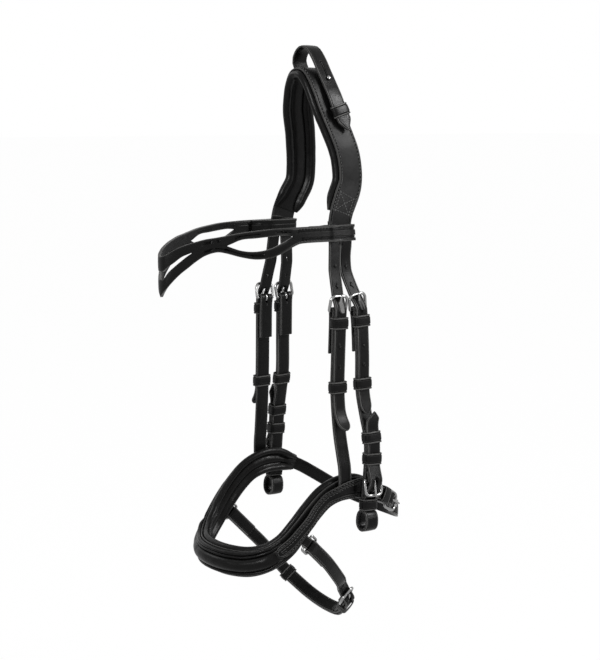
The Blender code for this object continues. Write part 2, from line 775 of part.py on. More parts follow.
class Buckle:
    """A wire frame on a stack, its tongue, and where the leather runs round and through it."""

    def __init__(self, stack, leather=STRAP_LEATHER, width=STRAP_WIDTH, tilt=FRAME_TILT,
                 billet=STRAP_LEATHER, rest_radius=WIRE_RADIUS, gap=FIT_GAP):
        self.stack = stack
        self.half = width / 2
        self.leather = leather
        self.billet = billet
        self.tilt = tilt
        self.fold_radius = WIRE_RADIUS + gap + leather / 2
        self.lift = WIRE_RADIUS + gap + TONGUE_RADIUS
        self.toward = Vector((-math.cos(tilt), math.sin(tilt)))
        self.face = Vector((math.sin(tilt), math.cos(tilt)))
        self.rest_bar = self.toward * FRAME_PITCH
        self.rest_lift = self.face * (rest_radius + FIT_GAP + TONGUE_RADIUS)
        under = rest_radius + max(gap, SLIDE_GAP) + billet / 2
        wrap = max(self.fold_radius + leather / 2, self.lift + TONGUE_RADIUS)
        self.over_radius = wrap + gap + billet / 2
        self.rise = Vector((1, 0))
        for _ in range(TANGENT_ROUND_COUNT):
            self.entry = self.rest_bar - Vector((-self.rise.y, self.rise.x)) * under
            distance = self.entry.length
            heading = (math.atan2(-self.entry.y, -self.entry.x)
                       + math.asin(self.over_radius / distance))
            self.rise = Vector((math.cos(heading), math.sin(heading)))
        self.touch = self.entry + self.rise * math.sqrt(distance ** 2 - self.over_radius ** 2)

    def frame(self, name, side):
        """The closed wire frame, square at the hinge bar and rounder at the rest bar."""
        half = self.half + FRAME_SIDE_GAP + WIRE_RADIUS
        quarter = math.pi / 2
        far = FRAME_PITCH
        outline = corner_points((far - FRAME_CORNER, half - FRAME_CORNER, FRAME_CORNER), 0, quarter)
        outline += corner_points((FRAME_HINGE_CORNER, half - FRAME_HINGE_CORNER,
                                  FRAME_HINGE_CORNER), quarter, 2 * quarter)
        outline += [(x, -y) for x, y in reversed(outline)]
        points = []
        for x, y in outline:
            u, n = self.toward * x
            points.append(self.stack.place(u, y, n))
        return wire_piece(name, points, WIRE_RADIUS, cyclic=True, side=side)

    def tongue(self, name, side):
        """A wire tongue, its eye round the hinge bar and its tip on the rest bar."""
        places = []
        steps = 7
        for k in range(steps + 1):
            turn = TONGUE_EYE_TURN * (1 - k / steps)
            places.append(self.face * math.cos(turn) * self.lift
                          - self.toward * math.sin(turn) * self.lift)
        start = self.face * self.lift
        run = self.tongue_run()
        places += [start + run * share for share in TONGUE_RUN_SHARES]
        radii = [TONGUE_RADIUS] * (len(places) - 1) + [TONGUE_TIP_RADIUS]
        points = [self.stack.place(u, 0, n) for u, n in places]
        origin = reflect(self.stack.place(0, 0, 0), side)
        return wire_piece(name, points, TONGUE_RADIUS, side=side, origin=origin, radii=radii)

    def tongue_run(self):
        """The run of the tongue from above the hinge bar to just past the rest bar."""
        run = self.rest_bar + self.rest_lift - self.face * self.lift
        return run * (1 + TONGUE_OVERHANG / FRAME_PITCH)

    def fold(self, lay, length, settle=FOLD_SETTLE):
        """Profile of the strap end folded round the hinge bar, from its sewn end to the front."""
        back = [(length, -lay, self.half), (settle, -lay, self.half)]
        arc = [(-self.fold_radius * math.cos(share * FOLD_ARC),
                self.fold_radius * math.sin(share * FOLD_ARC), self.half) for share in ARC_SHARES]
        return back + arc + [(settle, lay, self.half)]

    def slot(self):
        """The punch for the tongue's slot in the fold."""
        low = -self.fold_radius - CUT_OVERRUN
        high = self.lift + TONGUE_RADIUS + SLIDE_GAP
        centre = self.stack.place((low + high) / 2, 0, 0)
        along = (self.stack.place(high, 0, 0) - self.stack.place(low, 0, 0)).normalized()
        across = self.across()
        depth = 2 * (self.fold_radius + CUT_OVERRUN)
        return centre, along, across, (high - low) / 2, TONGUE_RADIUS + SLIDE_GAP, depth

    def across(self):
        """The direction across the strap at the hinge bar."""
        return (self.stack.place(0, self.half, 0) - self.stack.place(0, 0, 0)).normalized()

    def through(self):
        """The punch for the tongue's hole in the billet that lies over the hinge bar."""
        run = self.tongue_run().normalized()
        meet = self.hole_place()
        angle = math.atan2(run.y, -run.x) + math.atan2(self.rise.y, self.rise.x)
        clear = TONGUE_RADIUS + SLIDE_GAP
        half_length = clear / math.sin(angle) + self.billet / 2 / math.tan(angle) + 2 * SLIDE_GAP
        half_length += HOLE_PULL / 2
        meet = meet + self.rise * HOLE_PULL / 2
        centre = self.stack.place(meet.x, 0, meet.y)
        ahead = meet + self.rise * half_length
        along = (self.stack.place(ahead.x, 0, ahead.y) - centre).normalized()
        return centre, along, self.across(), half_length, clear + SLIDE_GAP, 2 * self.billet

    def hole_place(self):
        """Where in the stack the engaged hole lies."""
        run = self.tongue_run().normalized()
        start = self.face * self.lift
        matrix = Matrix(((run.x, -self.rise.x), (run.y, -self.rise.y)))
        return self.entry + self.rise * (matrix.inverted() @ (self.entry - start)).y

    def over(self, lay, half):
        """Profile of the billet from behind the rest bar over the hinge bar to its lay."""
        top = self.over_radius
        return [(self.entry.x, self.entry.y, half),
                (self.touch.x, self.touch.y, half),
                (top * math.sin(self.tilt) / 2, top * math.cos(self.tilt / 2), half),
                (self.lift + TONGUE_RADIUS, lay + (top - lay) * OVER_EASE_SHARE, half),
                (FOLD_SETTLE, lay, half)]


def mirrored_route(half, across_hint, step):
    """A route through a near half that starts at the mid plane, and its mirror image."""
    far = [(-place[0], *place[1:]) for place in reversed(half[1:])]
    return Route(far + list(half), across_hint, step)


def head_route():
    """The line of the crown leather over the poll."""
    apex = (0, CROWN_APEX_SWEEP_SHARE * CROWN_SWEEP, CROWN_RISE_SHARE * NECK_DROP)
    half = [(x * NECK_HALF_WIDTH, y * CROWN_SWEEP, z * NECK_DROP) for x, y, z in CROWN_ROUTE_SHARES]
    return mirrored_route([apex] + half, (0, 1, 0), CROWN_STEP)


def cheek_line(shares, head, offset):
    """A line down the cheek from the split of the headpiece."""
    places = [tuple(head.place(head.total, offset, 0))]
    places += [(x * FACE_HALF_WIDTH, y * STRAP_SPREAD, -z * BRIDLE_DROP) for x, y, z in shares]
    return Route(places, (0, 1, 0))


def nose_places():
    """Near half of the noseband's line, from the front to where the jaw strap begins."""
    front = [(x * FACE_HALF_WIDTH, -y * FACE_DEPTH, -z * BRIDLE_DROP, h * NOSE_MIDDLE_HEIGHT)
             for x, y, z, h in NOSE_LINE_SHARES]
    back = [(x * FACE_HALF_WIDTH, y * JAW_REACH, -z * BRIDLE_DROP, h * NOSE_MIDDLE_HEIGHT)
            for x, y, z, h in JAW_LINE_SHARES]
    return front, back


def nose_route():
    """The line of the noseband, from the far side round the nose to the near side."""
    front, back = nose_places()
    return mirrored_route(front + back[:-1], (0, 0, 1), NOSE_STEP)


def jaw_route():
    """The line of the jaw strap, from the near side round behind the jaw to the far side."""
    front, back = nose_places()
    near = front[-2:] + back
    far = [(-place[0], *place[1:]) for place in reversed(near[:-1])]
    return Route(near + far, (0, 0, 1))


def brow_route():
    """The line of the browband round the forehead."""
    half = [(x * BROW_HALF_WIDTH, -y * BROW_REACH, -BROW_MIDDLE_DROP)
            for x, y in BROW_PLAN_SHARES]
    return mirrored_route(half, (0, 0, 1), BROW_STEP)


def chin_route():
    """The line of the chin strap, from the near ring under the chin to the far ring."""
    places = [(x * FACE_HALF_WIDTH, y * (CHIN_RING_REACH + CHIN_REAR) - CHIN_RING_REACH,
               -z * (CHIN_DROP - CHIN_RING_DROP) - CHIN_RING_DROP)
              for x, y, z in reversed(CHIN_LINE_SHARES)]
    return Route(places, CHIN_ACROSS)


def profile_punch(stack, profile, u, half_length=HOLE_RADIUS, half_width=HOLE_RADIUS):
    """A punch square to a strap whose profile rises in u."""
    for a, b in zip(profile, profile[1:]):
        if a[0] <= u <= b[0]:
            slope = (b[1] - a[1]) / (b[0] - a[0])
            n = a[1] + (u - a[0]) * slope
            centre = stack.place(u, 0, n)
            ahead = stack.place(u + HOLE_RADIUS, 0, n + HOLE_RADIUS * slope)
            across = (stack.place(u, HOLE_RADIUS, n) - centre).normalized()
            depth = 2 * STRAP_LEATHER
            return centre, (ahead - centre).normalized(), across, half_length, half_width, depth
    return None


def billet_holes(stack, profile, first, above, below):
    """Round holes at the hole pitch above and below the engaged one."""
    steps = [-k for k in range(1, above + 1)] + list(range(1, below + 1))
    return [profile_punch(stack, profile, first + step * HOLE_PITCH) for step in steps]


def billet_profile(buckle, start, lay, length, flare):
    """Profile of a headpiece billet from the split to its rounded tip."""
    half = BILLET_WIDTH / 2
    profile = [(start + SPLIT_EASE, 0, half - SPLIT_TRIM), (start + SPLIT_RUN, 0, half),
               (-TUCK_RISE, -BILLET_TUCK, half)]
    profile += buckle.over(lay, half)
    bend = length - TIP_BEND
    run = TIP_BEND - TIP_LENGTH
    for share in CORNER_SHARES:
        u = bend + run * share
        profile.append((u, lay + flare * ((u - bend) / TIP_BEND) ** 2, half))
    low = profile[-1][1]
    return profile + round_tip(length - TIP_LENGTH, TIP_LENGTH, half, low, lay + flare)[1:]


def headpiece(head, buckles, profiles):
    """Crown leather and its four billets, cut from one hide."""
    half = BILLET_WIDTH / 2
    splits = [buckle.stack.place(profile[0][0] - SPLIT_EASE, 0, 0)
              for buckle, profile in zip(buckles, profiles)]
    across = head.at(head.total)[2]
    front, rear = splits
    middle = (front + rear) / 2
    last = [front - across * half, middle, rear + across * half]
    crown = []
    for s in head.corners(head.total / 2, head.total)[:-1]:
        share = 2 * s / head.total - 1
        wide = (CROWN_LEATHER_WIDTH + (NECK_WIDTH - CROWN_LEATHER_WIDTH) * share) / 2
        crown.append([head.place(s, -wide, 0), head.place(s, 0, 0), head.place(s, wide, 0)])
    crown.append(last)
    strips = [crown]
    for i, (buckle, profile) in enumerate(zip(buckles, profiles)):
        strips.append([last[i:i + 2]] + strap_rows(buckle.stack, profile))
    obj = leather_piece("headpiece", strips, mirror=True, edge=EDGE_ROUND)
    punches = []
    for buckle, profile in zip(buckles, profiles):
        engaged = buckle.through()
        punches.append(engaged)
        first = buckle.hole_place().x
        punches += billet_holes(buckle.stack, profile, first, HOLES_ABOVE_COUNT, HOLES_BELOW_COUNT)
    add_cut(obj, punch_cutter("headpiece_punches", punches, mirror=True))
    return obj


def roll_points(v, n, radius, turns):
    """Points on a roll seen in section, at the given turns in degrees."""
    return [(v + radius * math.cos(math.radians(turn)), n + radius * math.sin(math.radians(turn)))
            for turn in turns]


def crown_pad_section(swell):
    """Section of the crown pad, thinned towards its ends as the swell falls."""
    top = -STRAP_LEATHER / 2 - FIT_GAP
    radius = CROWN_ROLL_RADIUS * swell
    centre = CROWN_LEATHER_WIDTH / 2 + CROWN_ROLL_PROUD * swell - radius
    panel = CROWN_PAD_PANEL * swell
    right = roll_points(centre, top - radius, radius, (90, 40, 0, -40, -90, -140))
    floor = [(centre - radius - CROWN_CHANNEL, top - panel * CHANNEL_SHARE),
             (centre / 3, top - panel)]
    near = right + floor
    return near + [(-v, n) for v, n in reversed(near)]


def pad_swell(distance, run):
    """How full a pad is at a distance from its end."""
    if distance >= run:
        return 1
    return END_SWELL_SHARE + (1 - END_SWELL_SHARE) * math.sin(math.pi / 2 * distance / run)


def crown_pad(head):
    """Padded lining under the crown leather."""
    middle = head.total / 2
    end = head.length_at(2, -CROWN_PAD_END_DROP, middle)
    sections = []
    for s in head.corners(middle, end):
        shape = crown_pad_section(pad_swell(end - s, PAD_END_LIP))
        sections.append([head.place(s, v, n) for v, n in shape])
    return loft_piece("crown_pad", sections, pad_finish("crown_pad"), mirror=True)


def turned_piece(name, outline, centre, axis, closed):
    """A turned shape: an outline of (radius, height) round an axis."""
    mesh = bpy.data.meshes.new(name)
    verts = [(radius, 0, height) for radius, height in outline]
    edges = [(i, i + 1) for i in range(len(verts) - 1)]
    if closed:
        edges.append((len(verts) - 1, 0))
    mesh.from_pydata(verts, edges, [])
    mesh.materials.append(steel_finish(name))
    obj = link_object(name, mesh, centre)
    obj.rotation_mode = "QUATERNION"
    obj.rotation_quaternion = axis.to_track_quat("Z", "Y")
    screw = obj.modifiers.new("Turned", "SCREW")
    screw.steps = TURNED_STEP_COUNT
    screw.render_steps = TURNED_STEP_COUNT
    screw.use_merge_vertices = True
    screw.merge_threshold = MERGE_DISTANCE
    return obj


def hanging_strap(head):
    """Short strap over the crown, its keeper and its stud."""
    middle = head.total / 2
    lay = STRAP_LEATHER + 3 * FIT_GAP
    ring_lay = lay + KEEPER_LEATHER + FIT_GAP
    far = [tuple(head.place(middle - HANG_FAR_LENGTH * share, HANG_OFFSET, lay))
           for share in (1.0, 0.8, 0.6)]
    apex = head.place(middle, HANG_OFFSET, 0)
    arch = [(x * HANG_RISE, apex.y - HANG_LEAN * (1 - max(0, x)), apex.z + z * HANG_RISE)
            for x, z in HANG_ARCH_SHARES]
    near = [tuple(head.place(middle + HANG_NEAR_LENGTH * share, HANG_OFFSET, n))
            for share, n in ((0.52, ring_lay), (0.66, ring_lay), (0.84, ring_lay), (1.0, ring_lay))]
    route = Route(far + arch + near, (0, 1, 0), HANG_STEP)
    stack = Stack(route, 0)
    half = HANG_WIDTH / 2
    tip = route.total - HANG_POINT
    profile = [(0, 0, half), (tip, 0, half)] + point_tip(tip, HANG_POINT, half, 0, 0)[1:]
    obj = leather_piece("hanging_strap", [strap_rows(stack, profile)])
    slit_end = route.length_at(0, HANG_STUD_REACH, route.total / 3)
    punches = [profile_punch(stack, profile, slit_end, STUD_HOLE_RADIUS, STUD_HOLE_RADIUS)]
    add_cut(obj, punch_cutter("stud_hole_punch", punches))
    slit = slit_end - HANG_SLIT_LENGTH / 2
    punches = [profile_punch(stack, profile, slit, HANG_SLIT_LENGTH / 2, HANG_SLIT_WIDTH / 2)]
    add_cut(obj, punch_cutter("slit_punch", punches))
    ring = Stack(route, route.total - HANG_POINT - KEEPER_HEIGHT)
    keeper_piece("hanging_keeper", ring, 0, -STRAP_LEATHER / 2, STRAP_LEATHER / 2, NEAR, half)
    point, _, _, out, _ = route.at(slit_end)
    under = STRAP_LEATHER / 2 + FIT_GAP
    outline = [(0, -under - STUD_BASE_HEIGHT), (STUD_BASE_RADIUS, -under - STUD_BASE_HEIGHT),
               (STUD_BASE_RADIUS, -under), (STUD_NECK_RADIUS, -under), (STUD_NECK_RADIUS, under),
               (STUD_HEAD_RADIUS, under), (STUD_HEAD_RADIUS, under + STUD_HEAD_HEIGHT / 2),
               (STUD_NECK_RADIUS, under + STUD_HEAD_HEIGHT), (0, under + STUD_HEAD_HEIGHT)]
    turned_piece("hanging_stud", list(reversed(outline)), point, out, False)


def browband(brow):
    """Shaped browband with two openings a side, folded back round the headpiece."""
    middle = brow.total / 2
    rows = []
    skips = set()
    for i, (share, *edges) in enumerate(BROW_SHAPE_SHARES):
        lean = BROW_LEAN_SHARE * max(0, share - 0.5) * 2
        s = middle + share * BROW_ARC
        rows.append([brow.place(s, v * BROW_DIP, -lean * v * BROW_DIP) for v in edges])
        low, high = edges[1:3]
        after = BROW_SHAPE_SHARES[min(i + 1, len(BROW_SHAPE_SHARES) - 1)]
        if i and (low != high or after[2] != after[3]):
            skips.add((0, i, 1))
    ends = BROW_SHAPE_SHARES[-1][1:]
    rear = brow.length_at(1, BROW_REAR_EDGE, middle)
    radius = STRAP_LEATHER / 2 + BROW_SLACK + BROW_LEATHER / 2
    turn = [(rear + radius * math.sin(math.pi * k / BROW_TURN_COUNT),
             radius * math.cos(math.pi * k / BROW_TURN_COUNT) - radius)
            for k in range(BROW_TURN_COUNT + 1)]
    join = rear - BROW_RETURN
    turn += [(join, -2 * radius), (join - BROW_CONVERGE, -BROW_LEATHER - FIT_GAP),
             (join - 2 * BROW_CONVERGE, -BROW_LEATHER - FIT_GAP)]
    for s, n in turn:
        rows.append([brow.place(s, v * BROW_DIP, n - BROW_LEAN_SHARE * v * BROW_DIP)
                     for v in ends])
    origin = Vector((0, 0, -BROW_MIDDLE_DROP))
    return leather_piece("browband", [rows], BROW_LEATHER, skips, mirror=True, edge=None,
                         origin=origin)


def cut_slot(obj, name, buckle, side=NEAR):
    """Cut the tongue's slot in a fold."""
    add_cut(obj, punch_cutter(name, [buckle.slot()], side))


def cheek_side(side, tag, buckle, bit, billet_lay):
    """One cheek strap with its strap buckle, its bit loop and its bit buckle."""
    stack = buckle.stack
    lay = KEEPER_LEATHER / 2 + FIT_GAP + STRAP_LEATHER / 2
    half = STRAP_WIDTH / 2
    run = bit.stack.start - stack.start
    rise = bit.stack.base
    loop_top = run + LOOP_KEEPER_DROP + KEEPER_HEIGHT / 2 + STRAP_LEATHER
    middle = (lay + billet_lay) / 2
    centre = loop_top + LOOP_NECK * LOOP_NECK_SHARE
    profile = buckle.fold(lay, FOLD_LENGTH)
    profile.append((loop_top, lay, half))
    for turn in LOOP_TURNS:
        angle = math.radians(turn)
        profile.append((centre - LOOP_RADIUS * math.cos(angle),
                        middle - LOOP_RADIUS * math.sin(angle), half))
    profile.append((loop_top, billet_lay, half))
    profile.append((loop_top - KEEPER_HEIGHT - STRAP_LEATHER - FIT_GAP, billet_lay, half))
    under = THIN_LEATHER / 2 + FIT_GAP + STRAP_LEATHER / 2 - bit.fold_radius
    back = [(bit.entry.x, bit.entry.y, half), (bit.touch.x, bit.touch.y, half),
            (bit.over_radius * math.sin(bit.tilt) / 2, bit.over_radius * math.cos(bit.tilt / 2), half),
            (BIT_CHAPE_RETURN / 2, bit.over_radius * BIT_EASE_SHARE, half),
            (BIT_CHAPE_RETURN + FIT_GAP, STRAP_LEATHER * BIT_LAY_SHARE, half),
            (BIT_KEEPER_RISE - KEEPER_HEIGHT / 2, under, half)]
    tip = BIT_TIP_RISE - BIT_TIP_POINT
    bend = BIT_KEEPER_RISE + BIT_KEEPER_PITCH + KEEPER_HEIGHT / 2 + FIT_GAP
    back += [(bend, under, half), (tip, under + BIT_TIP_FLARE * BIT_BEND_SHARE, half)]
    back += point_tip(tip, BIT_TIP_POINT, half, under + BIT_TIP_FLARE * BIT_BEND_SHARE,
                      under + BIT_TIP_FLARE)[1:]
    profile += [(run - u, rise + n, wide) for u, n, wide in back]
    obj = leather_piece(f"cheek_strap_{tag}", [strap_rows(stack, profile)], side=side)
    cut_slot(obj, f"cheek_slot_{tag}", buckle, side)
    add_cut(obj, punch_cutter(f"bit_hole_{tag}", [bit.through()], side))
    buckle.frame(f"cheek_buckle_frame_{tag}", side)
    buckle.tongue(f"cheek_buckle_tongue_{tag}", side)
    top = billet_lay + STRAP_LEATHER / 2
    low = lay - STRAP_LEATHER / 2
    tucked_keeper(f"cheek_fixed_keeper_{tag}", stack, FIXED_KEEPER_DROP, top, side)
    drop = CHEEK_RUNNER_DROP_NEAR if side == NEAR else CHEEK_RUNNER_DROP_FAR
    keeper_piece(f"cheek_runner_keeper_{tag}", stack, drop, low, top, side, gap=SLIDE_GAP,
                 moving=True)
    chape = [(BIT_CHAPE_LENGTH, -bit.fold_radius, half), (FOLD_SETTLE, -bit.fold_radius, half)]
    chape += [(-bit.fold_radius * math.cos(share * FOLD_ARC),
               bit.fold_radius * math.sin(share * FOLD_ARC), half) for share in CHAPE_ARC_SHARES]
    chape.append((BIT_CHAPE_RETURN, THIN_LEATHER + FIT_GAP - bit.fold_radius, half))
    strap = leather_piece(f"bit_chape_{tag}", [strap_rows(bit.stack, chape)], THIN_LEATHER,
                          side=side)
    cut_slot(strap, f"bit_slot_{tag}", bit, side)
    bit.frame(f"bit_buckle_frame_{tag}", side)
    bit.tongue(f"bit_buckle_tongue_{tag}", side)
    outer = rise + under + STRAP_LEATHER / 2
    for name, drop, high in (
            ("bit_lower_keeper", run - BIT_KEEPER_RISE, outer),
            ("bit_upper_keeper", run - BIT_KEEPER_RISE - BIT_KEEPER_PITCH, outer),
            ("bit_loop_keeper", run + LOOP_KEEPER_DROP, top)):
        keeper_piece(f"{name}_{tag}", stack, drop, low, high, side)


def hanger_side(side, tag, buckle, billet_lay):
    """One strap that carries the noseband, with its buckle."""
    stack = buckle.stack
    lay = KEEPER_LEATHER / 2 + FIT_GAP + STRAP_LEATHER / 2
    half = STRAP_WIDTH / 2
    end = stack.route.total - stack.start - HANGER_END_TRIM
    profile = buckle.fold(lay, FOLD_LENGTH) + [(end, lay, half)]
    obj = leather_piece(f"hanger_strap_{tag}", [strap_rows(stack, profile)], side=side)
    cut_slot(obj, f"hanger_slot_{tag}", buckle, side)
    buckle.frame(f"hanger_buckle_frame_{tag}", side)
    buckle.tongue(f"hanger_buckle_tongue_{tag}", side)
    top = billet_lay + STRAP_LEATHER / 2
    low = lay - STRAP_LEATHER / 2
    tucked_keeper(f"hanger_fixed_keeper_{tag}", stack, FIXED_KEEPER_DROP, top, side)
    drop = HANGER_RUNNER_DROP_NEAR if side == NEAR else HANGER_RUNNER_DROP_FAR
    keeper_piece(f"hanger_runner_{tag}", stack, drop, low, top, side, gap=SLIDE_GAP,
                 moving=True)


def lining_section(height, swell):
    """Section of the noseband lining behind a backing of this height."""
    face = -NOSE_BACKING / 2 - SLIDE_GAP
    radius = LINING_ROLL_RADIUS * swell
    top = height / 2 + LINING_PROUD * swell - radius
    low = -height / 2 - LINING_PROUD_LOW * swell + radius
    depth = LINING_THICKNESS * swell
    points = roll_points(top, face - radius, radius, (90, 40, 0, -40, -90, -140))
    middle = (top + low) / 2
    inner = top - radius - CROWN_CHANNEL
    lower = low + radius + CROWN_CHANNEL
    points += [(inner, face - depth * CHANNEL_SHARE), (middle, face - depth * PANEL_SHARE),
               (lower, face - depth * CHANNEL_SHARE)]
    points += roll_points(low, face - radius, radius, (-40, -90, -140, 180, 140, 90))
    return points


def noseband_lining(nose, start, end):
    """Padded lining inside the noseband."""
    sections = []
    for s in nose.corners(start, end):
        swell = pad_swell(min(s - start, end - s), PAD_END_LIP)
        section = lining_section(nose.height(s), swell)
        sections.append([nose.place(s, v, n) for v, n in section])
    return loft_piece("noseband_lining", sections, pad_finish("noseband_lining"))


def nose_roll(nose, start, end):
    """Padded front roll with two beads above it and a groove below."""
    sections = []
    face = NOSE_BACKING / 2 + SLIDE_GAP
    half = NOSE_ROLL_HEIGHT / 2
    for s in nose.corners(start, end):
        distance = min(s - start, end - s)
        swell = pad_swell(max(0, distance - ROLL_LIP_RUN), ROLL_TAPER)
        tall = half * (1 - ROLL_TAPER_SHARE * (1 - swell))
        section = [(v * tall, face + n * NOSE_ROLL_DEPTH * swell) for v, n in ROLL_SHARES]
        sections.append([nose.place(s, v, n) for v, n in section])
    return loft_piece("nose_roll", sections, leather_finish("nose_roll"))


def overlay(nose, side, tag):
    """Stitched outer panel at one side of the noseband, over the strap that carries it."""
    middle = nose.total / 2
    lay = NOSE_BACKING / 2 + FIT_GAP + OVERLAY_LEATHER / 2
    over_roll = lay + ROLL_LIP + FIT_GAP
    over_tab = lay + THIN_LEATHER + 2 * SLIDE_GAP
    over_hanger = lay + STRAP_LEATHER + FIT_GAP + HANGER_STAND
    places = [(-OVERLAY_FRONT_REACH, over_roll), (-OVERLAY_ROLL_REACH, over_roll),
              (-OVERLAY_TAB_REACH, over_tab), (-OVERLAY_TAB_END, lay),
              (-OVERLAY_HANGER_FRONT - OVERLAY_STEP_LENGTH, lay),
              (-OVERLAY_HANGER_FRONT, over_hanger), (-OVERLAY_HANGER_REAR, over_hanger),
              (OVERLAY_STEP_LENGTH - OVERLAY_HANGER_REAR, lay), (OVERLAY_END_REACH, lay)]
    profile = []
    for y, n in places:
        s = nose.length_at(1, y, middle)
        profile.append((s, n, OVERLAY_HEIGHT / 2))
    first = profile[0]
    nose_end = [(first[0] + OVERLAY_ROUND * (1 - share), first[1], wide)
                for share, wide in front_round()]
    profile = list(reversed(nose_end)) + [place for place in profile[1:]
                                          if place[0] > first[0] + OVERLAY_ROUND]
    rows = [[nose.place(s, -wide * nose_share(nose, s), n), nose.place(s, 0, n),
             nose.place(s, wide * nose_share(nose, s), n)]
            for s, n, wide in fill_rows(Stack(nose, 0), profile)]
    return leather_piece(f"noseband_overlay_{tag}", [rows], OVERLAY_LEATHER, side=side)


def front_round():
    """Half widths of the rounded front end of an overlay, widest last place first."""
    half = OVERLAY_HEIGHT / 2
    return [(share, half * (math.sqrt(1 - share * share) * (1 - TIP_END_SHARE) + TIP_END_SHARE))
            for share in ROUND_TIP_SHARES]


def nose_share(nose, s):
    """Overlay height follows the noseband's height."""
    return nose.height(s) / NOSE_SIDE_HEIGHT


def noseband(nose, hangers):
    """Backing, lining, roll and side panels of the noseband."""
    middle = nose.total / 2
    end = nose.length_at(1, BACKING_END_REACH, middle)
    start = nose.total - nose.length_at(1, BACKING_END_REACH, middle)
    rows = []
    for s in nose.corners(start, end):
        half = nose.height(s) / 2
        rows.append([nose.place(s, -half, 0), nose.place(s, 0, 0), nose.place(s, half, 0)])
    leather_piece("noseband_backing", [rows], NOSE_BACKING, edge=None)
    lining_end = nose.length_at(1, LINING_END_REACH, middle)
    noseband_lining(nose, nose.total - lining_end, lining_end)
    roll_end = nose.length_at(1, -NOSE_ROLL_END_REACH, middle)
    nose_roll(nose, nose.total - roll_end, roll_end)
    for side, tag in SIDES:
        overlay(nose, side, tag)


def jaw(route):
    """Jaw strap, its roller buckle and its keeper."""
    start = route.length_at(1, JAW_BUCKLE_REACH)
    stack = Stack(route, start, -1, JAW_LAY)
    half = JAW_STRAP_WIDTH / 2
    roller = WIRE_RADIUS + SLIDE_GAP + ROLLER_WALL
    buckle = Buckle(stack, STRAP_LEATHER, JAW_STRAP_WIDTH, JAW_TILT, rest_radius=roller,
                    gap=LOOSE_GAP)
    lay = (STRAP_LEATHER + SLIDE_GAP) / 2
    chape_start = start - route.length_at(1, JAW_CHAPE_START_REACH)
    backing_end = start - route.length_at(1, BACKING_END_REACH) - FIT_GAP
    profile = buckle.fold(lay, backing_end) + [(chape_start, lay, half)]
    chape = leather_piece("jaw_chape", [strap_rows(stack, profile)])
    cut_slot(chape, "jaw_slot", buckle)
    buckle.frame("jaw_buckle_frame", NEAR)
    buckle.tongue("jaw_buckle_tongue", NEAR)
    bar = stack.place(buckle.rest_bar.x, 0, buckle.rest_bar.y)
    across = buckle.across()
    inner = WIRE_RADIUS + SLIDE_GAP
    reach = half + FRAME_SIDE_GAP + WIRE_RADIUS - FRAME_CORNER - FIT_GAP
    outline = [(roller, reach), (roller, -reach), (inner, -reach), (inner, reach)]
    turned_piece("jaw_roller", outline, bar, across, True)
    billet_lay = lay + STRAP_LEATHER + SLIDE_GAP
    tip = JAW_TIP_LENGTH - TIP_LENGTH
    forward = buckle.over(billet_lay, half) + [(tip, billet_lay, half)]
    forward += round_tip(tip, TIP_LENGTH, half, billet_lay, billet_lay)[1:]
    far_end = start - (route.total - route.length_at(1, JAW_FAR_SEAM_REACH))
    profile = [(far_end, lay, half), (far_end + ROW_STEP, lay, half),
               (far_end + 2 * ROW_STEP, 0, half), (-JAW_RELIEF_RUN, 0, half),
               (-JAW_SETTLE, -JAW_RELIEF, half)] + forward
    strap = leather_piece("jaw_strap", [strap_rows(stack, profile)])
    add_cut(strap, punch_cutter("jaw_hole", [buckle.through()]))
    low = -lay - STRAP_LEATHER / 2
    keeper_piece("jaw_keeper", stack, JAW_KEEPER_DROP, low, billet_lay + STRAP_LEATHER / 2, NEAR,
                 half)


def ring_fold(stack, half, length, lay):
    """Profile of a strap end folded round a ring's lower bar."""
    radius = RING_WIRE_RADIUS + FIT_GAP + STRAP_LEATHER / 2
    back = [(length, -lay, half), (FOLD_SETTLE, -lay, half)]
    arc = [(-radius * math.cos(share * FOLD_ARC), radius * math.sin(share * FOLD_ARC), half)
           for share in ARC_SHARES]
    return back + arc + [(FOLD_SETTLE, lay, half)]


def chin_ring(stack, tag):
    """A closed wire ring between a tab and the end of the chin strap."""
    half = CHIN_WIDTH / 2 + FRAME_SIDE_GAP + RING_WIRE_RADIUS
    quarter = math.pi / 2
    corner = FRAME_HINGE_CORNER
    outline = corner_points((RING_PITCH - corner, half - corner, corner), 0, quarter)
    outline += corner_points((corner, half - corner, corner), quarter, 2 * quarter)
    outline += [(x, -y) for x, y in reversed(outline)]
    points = [stack.place(-x, y, 0) for x, y in outline]
    return wire_piece(f"chin_ring_{tag}", points, RING_WIRE_RADIUS, cyclic=True)


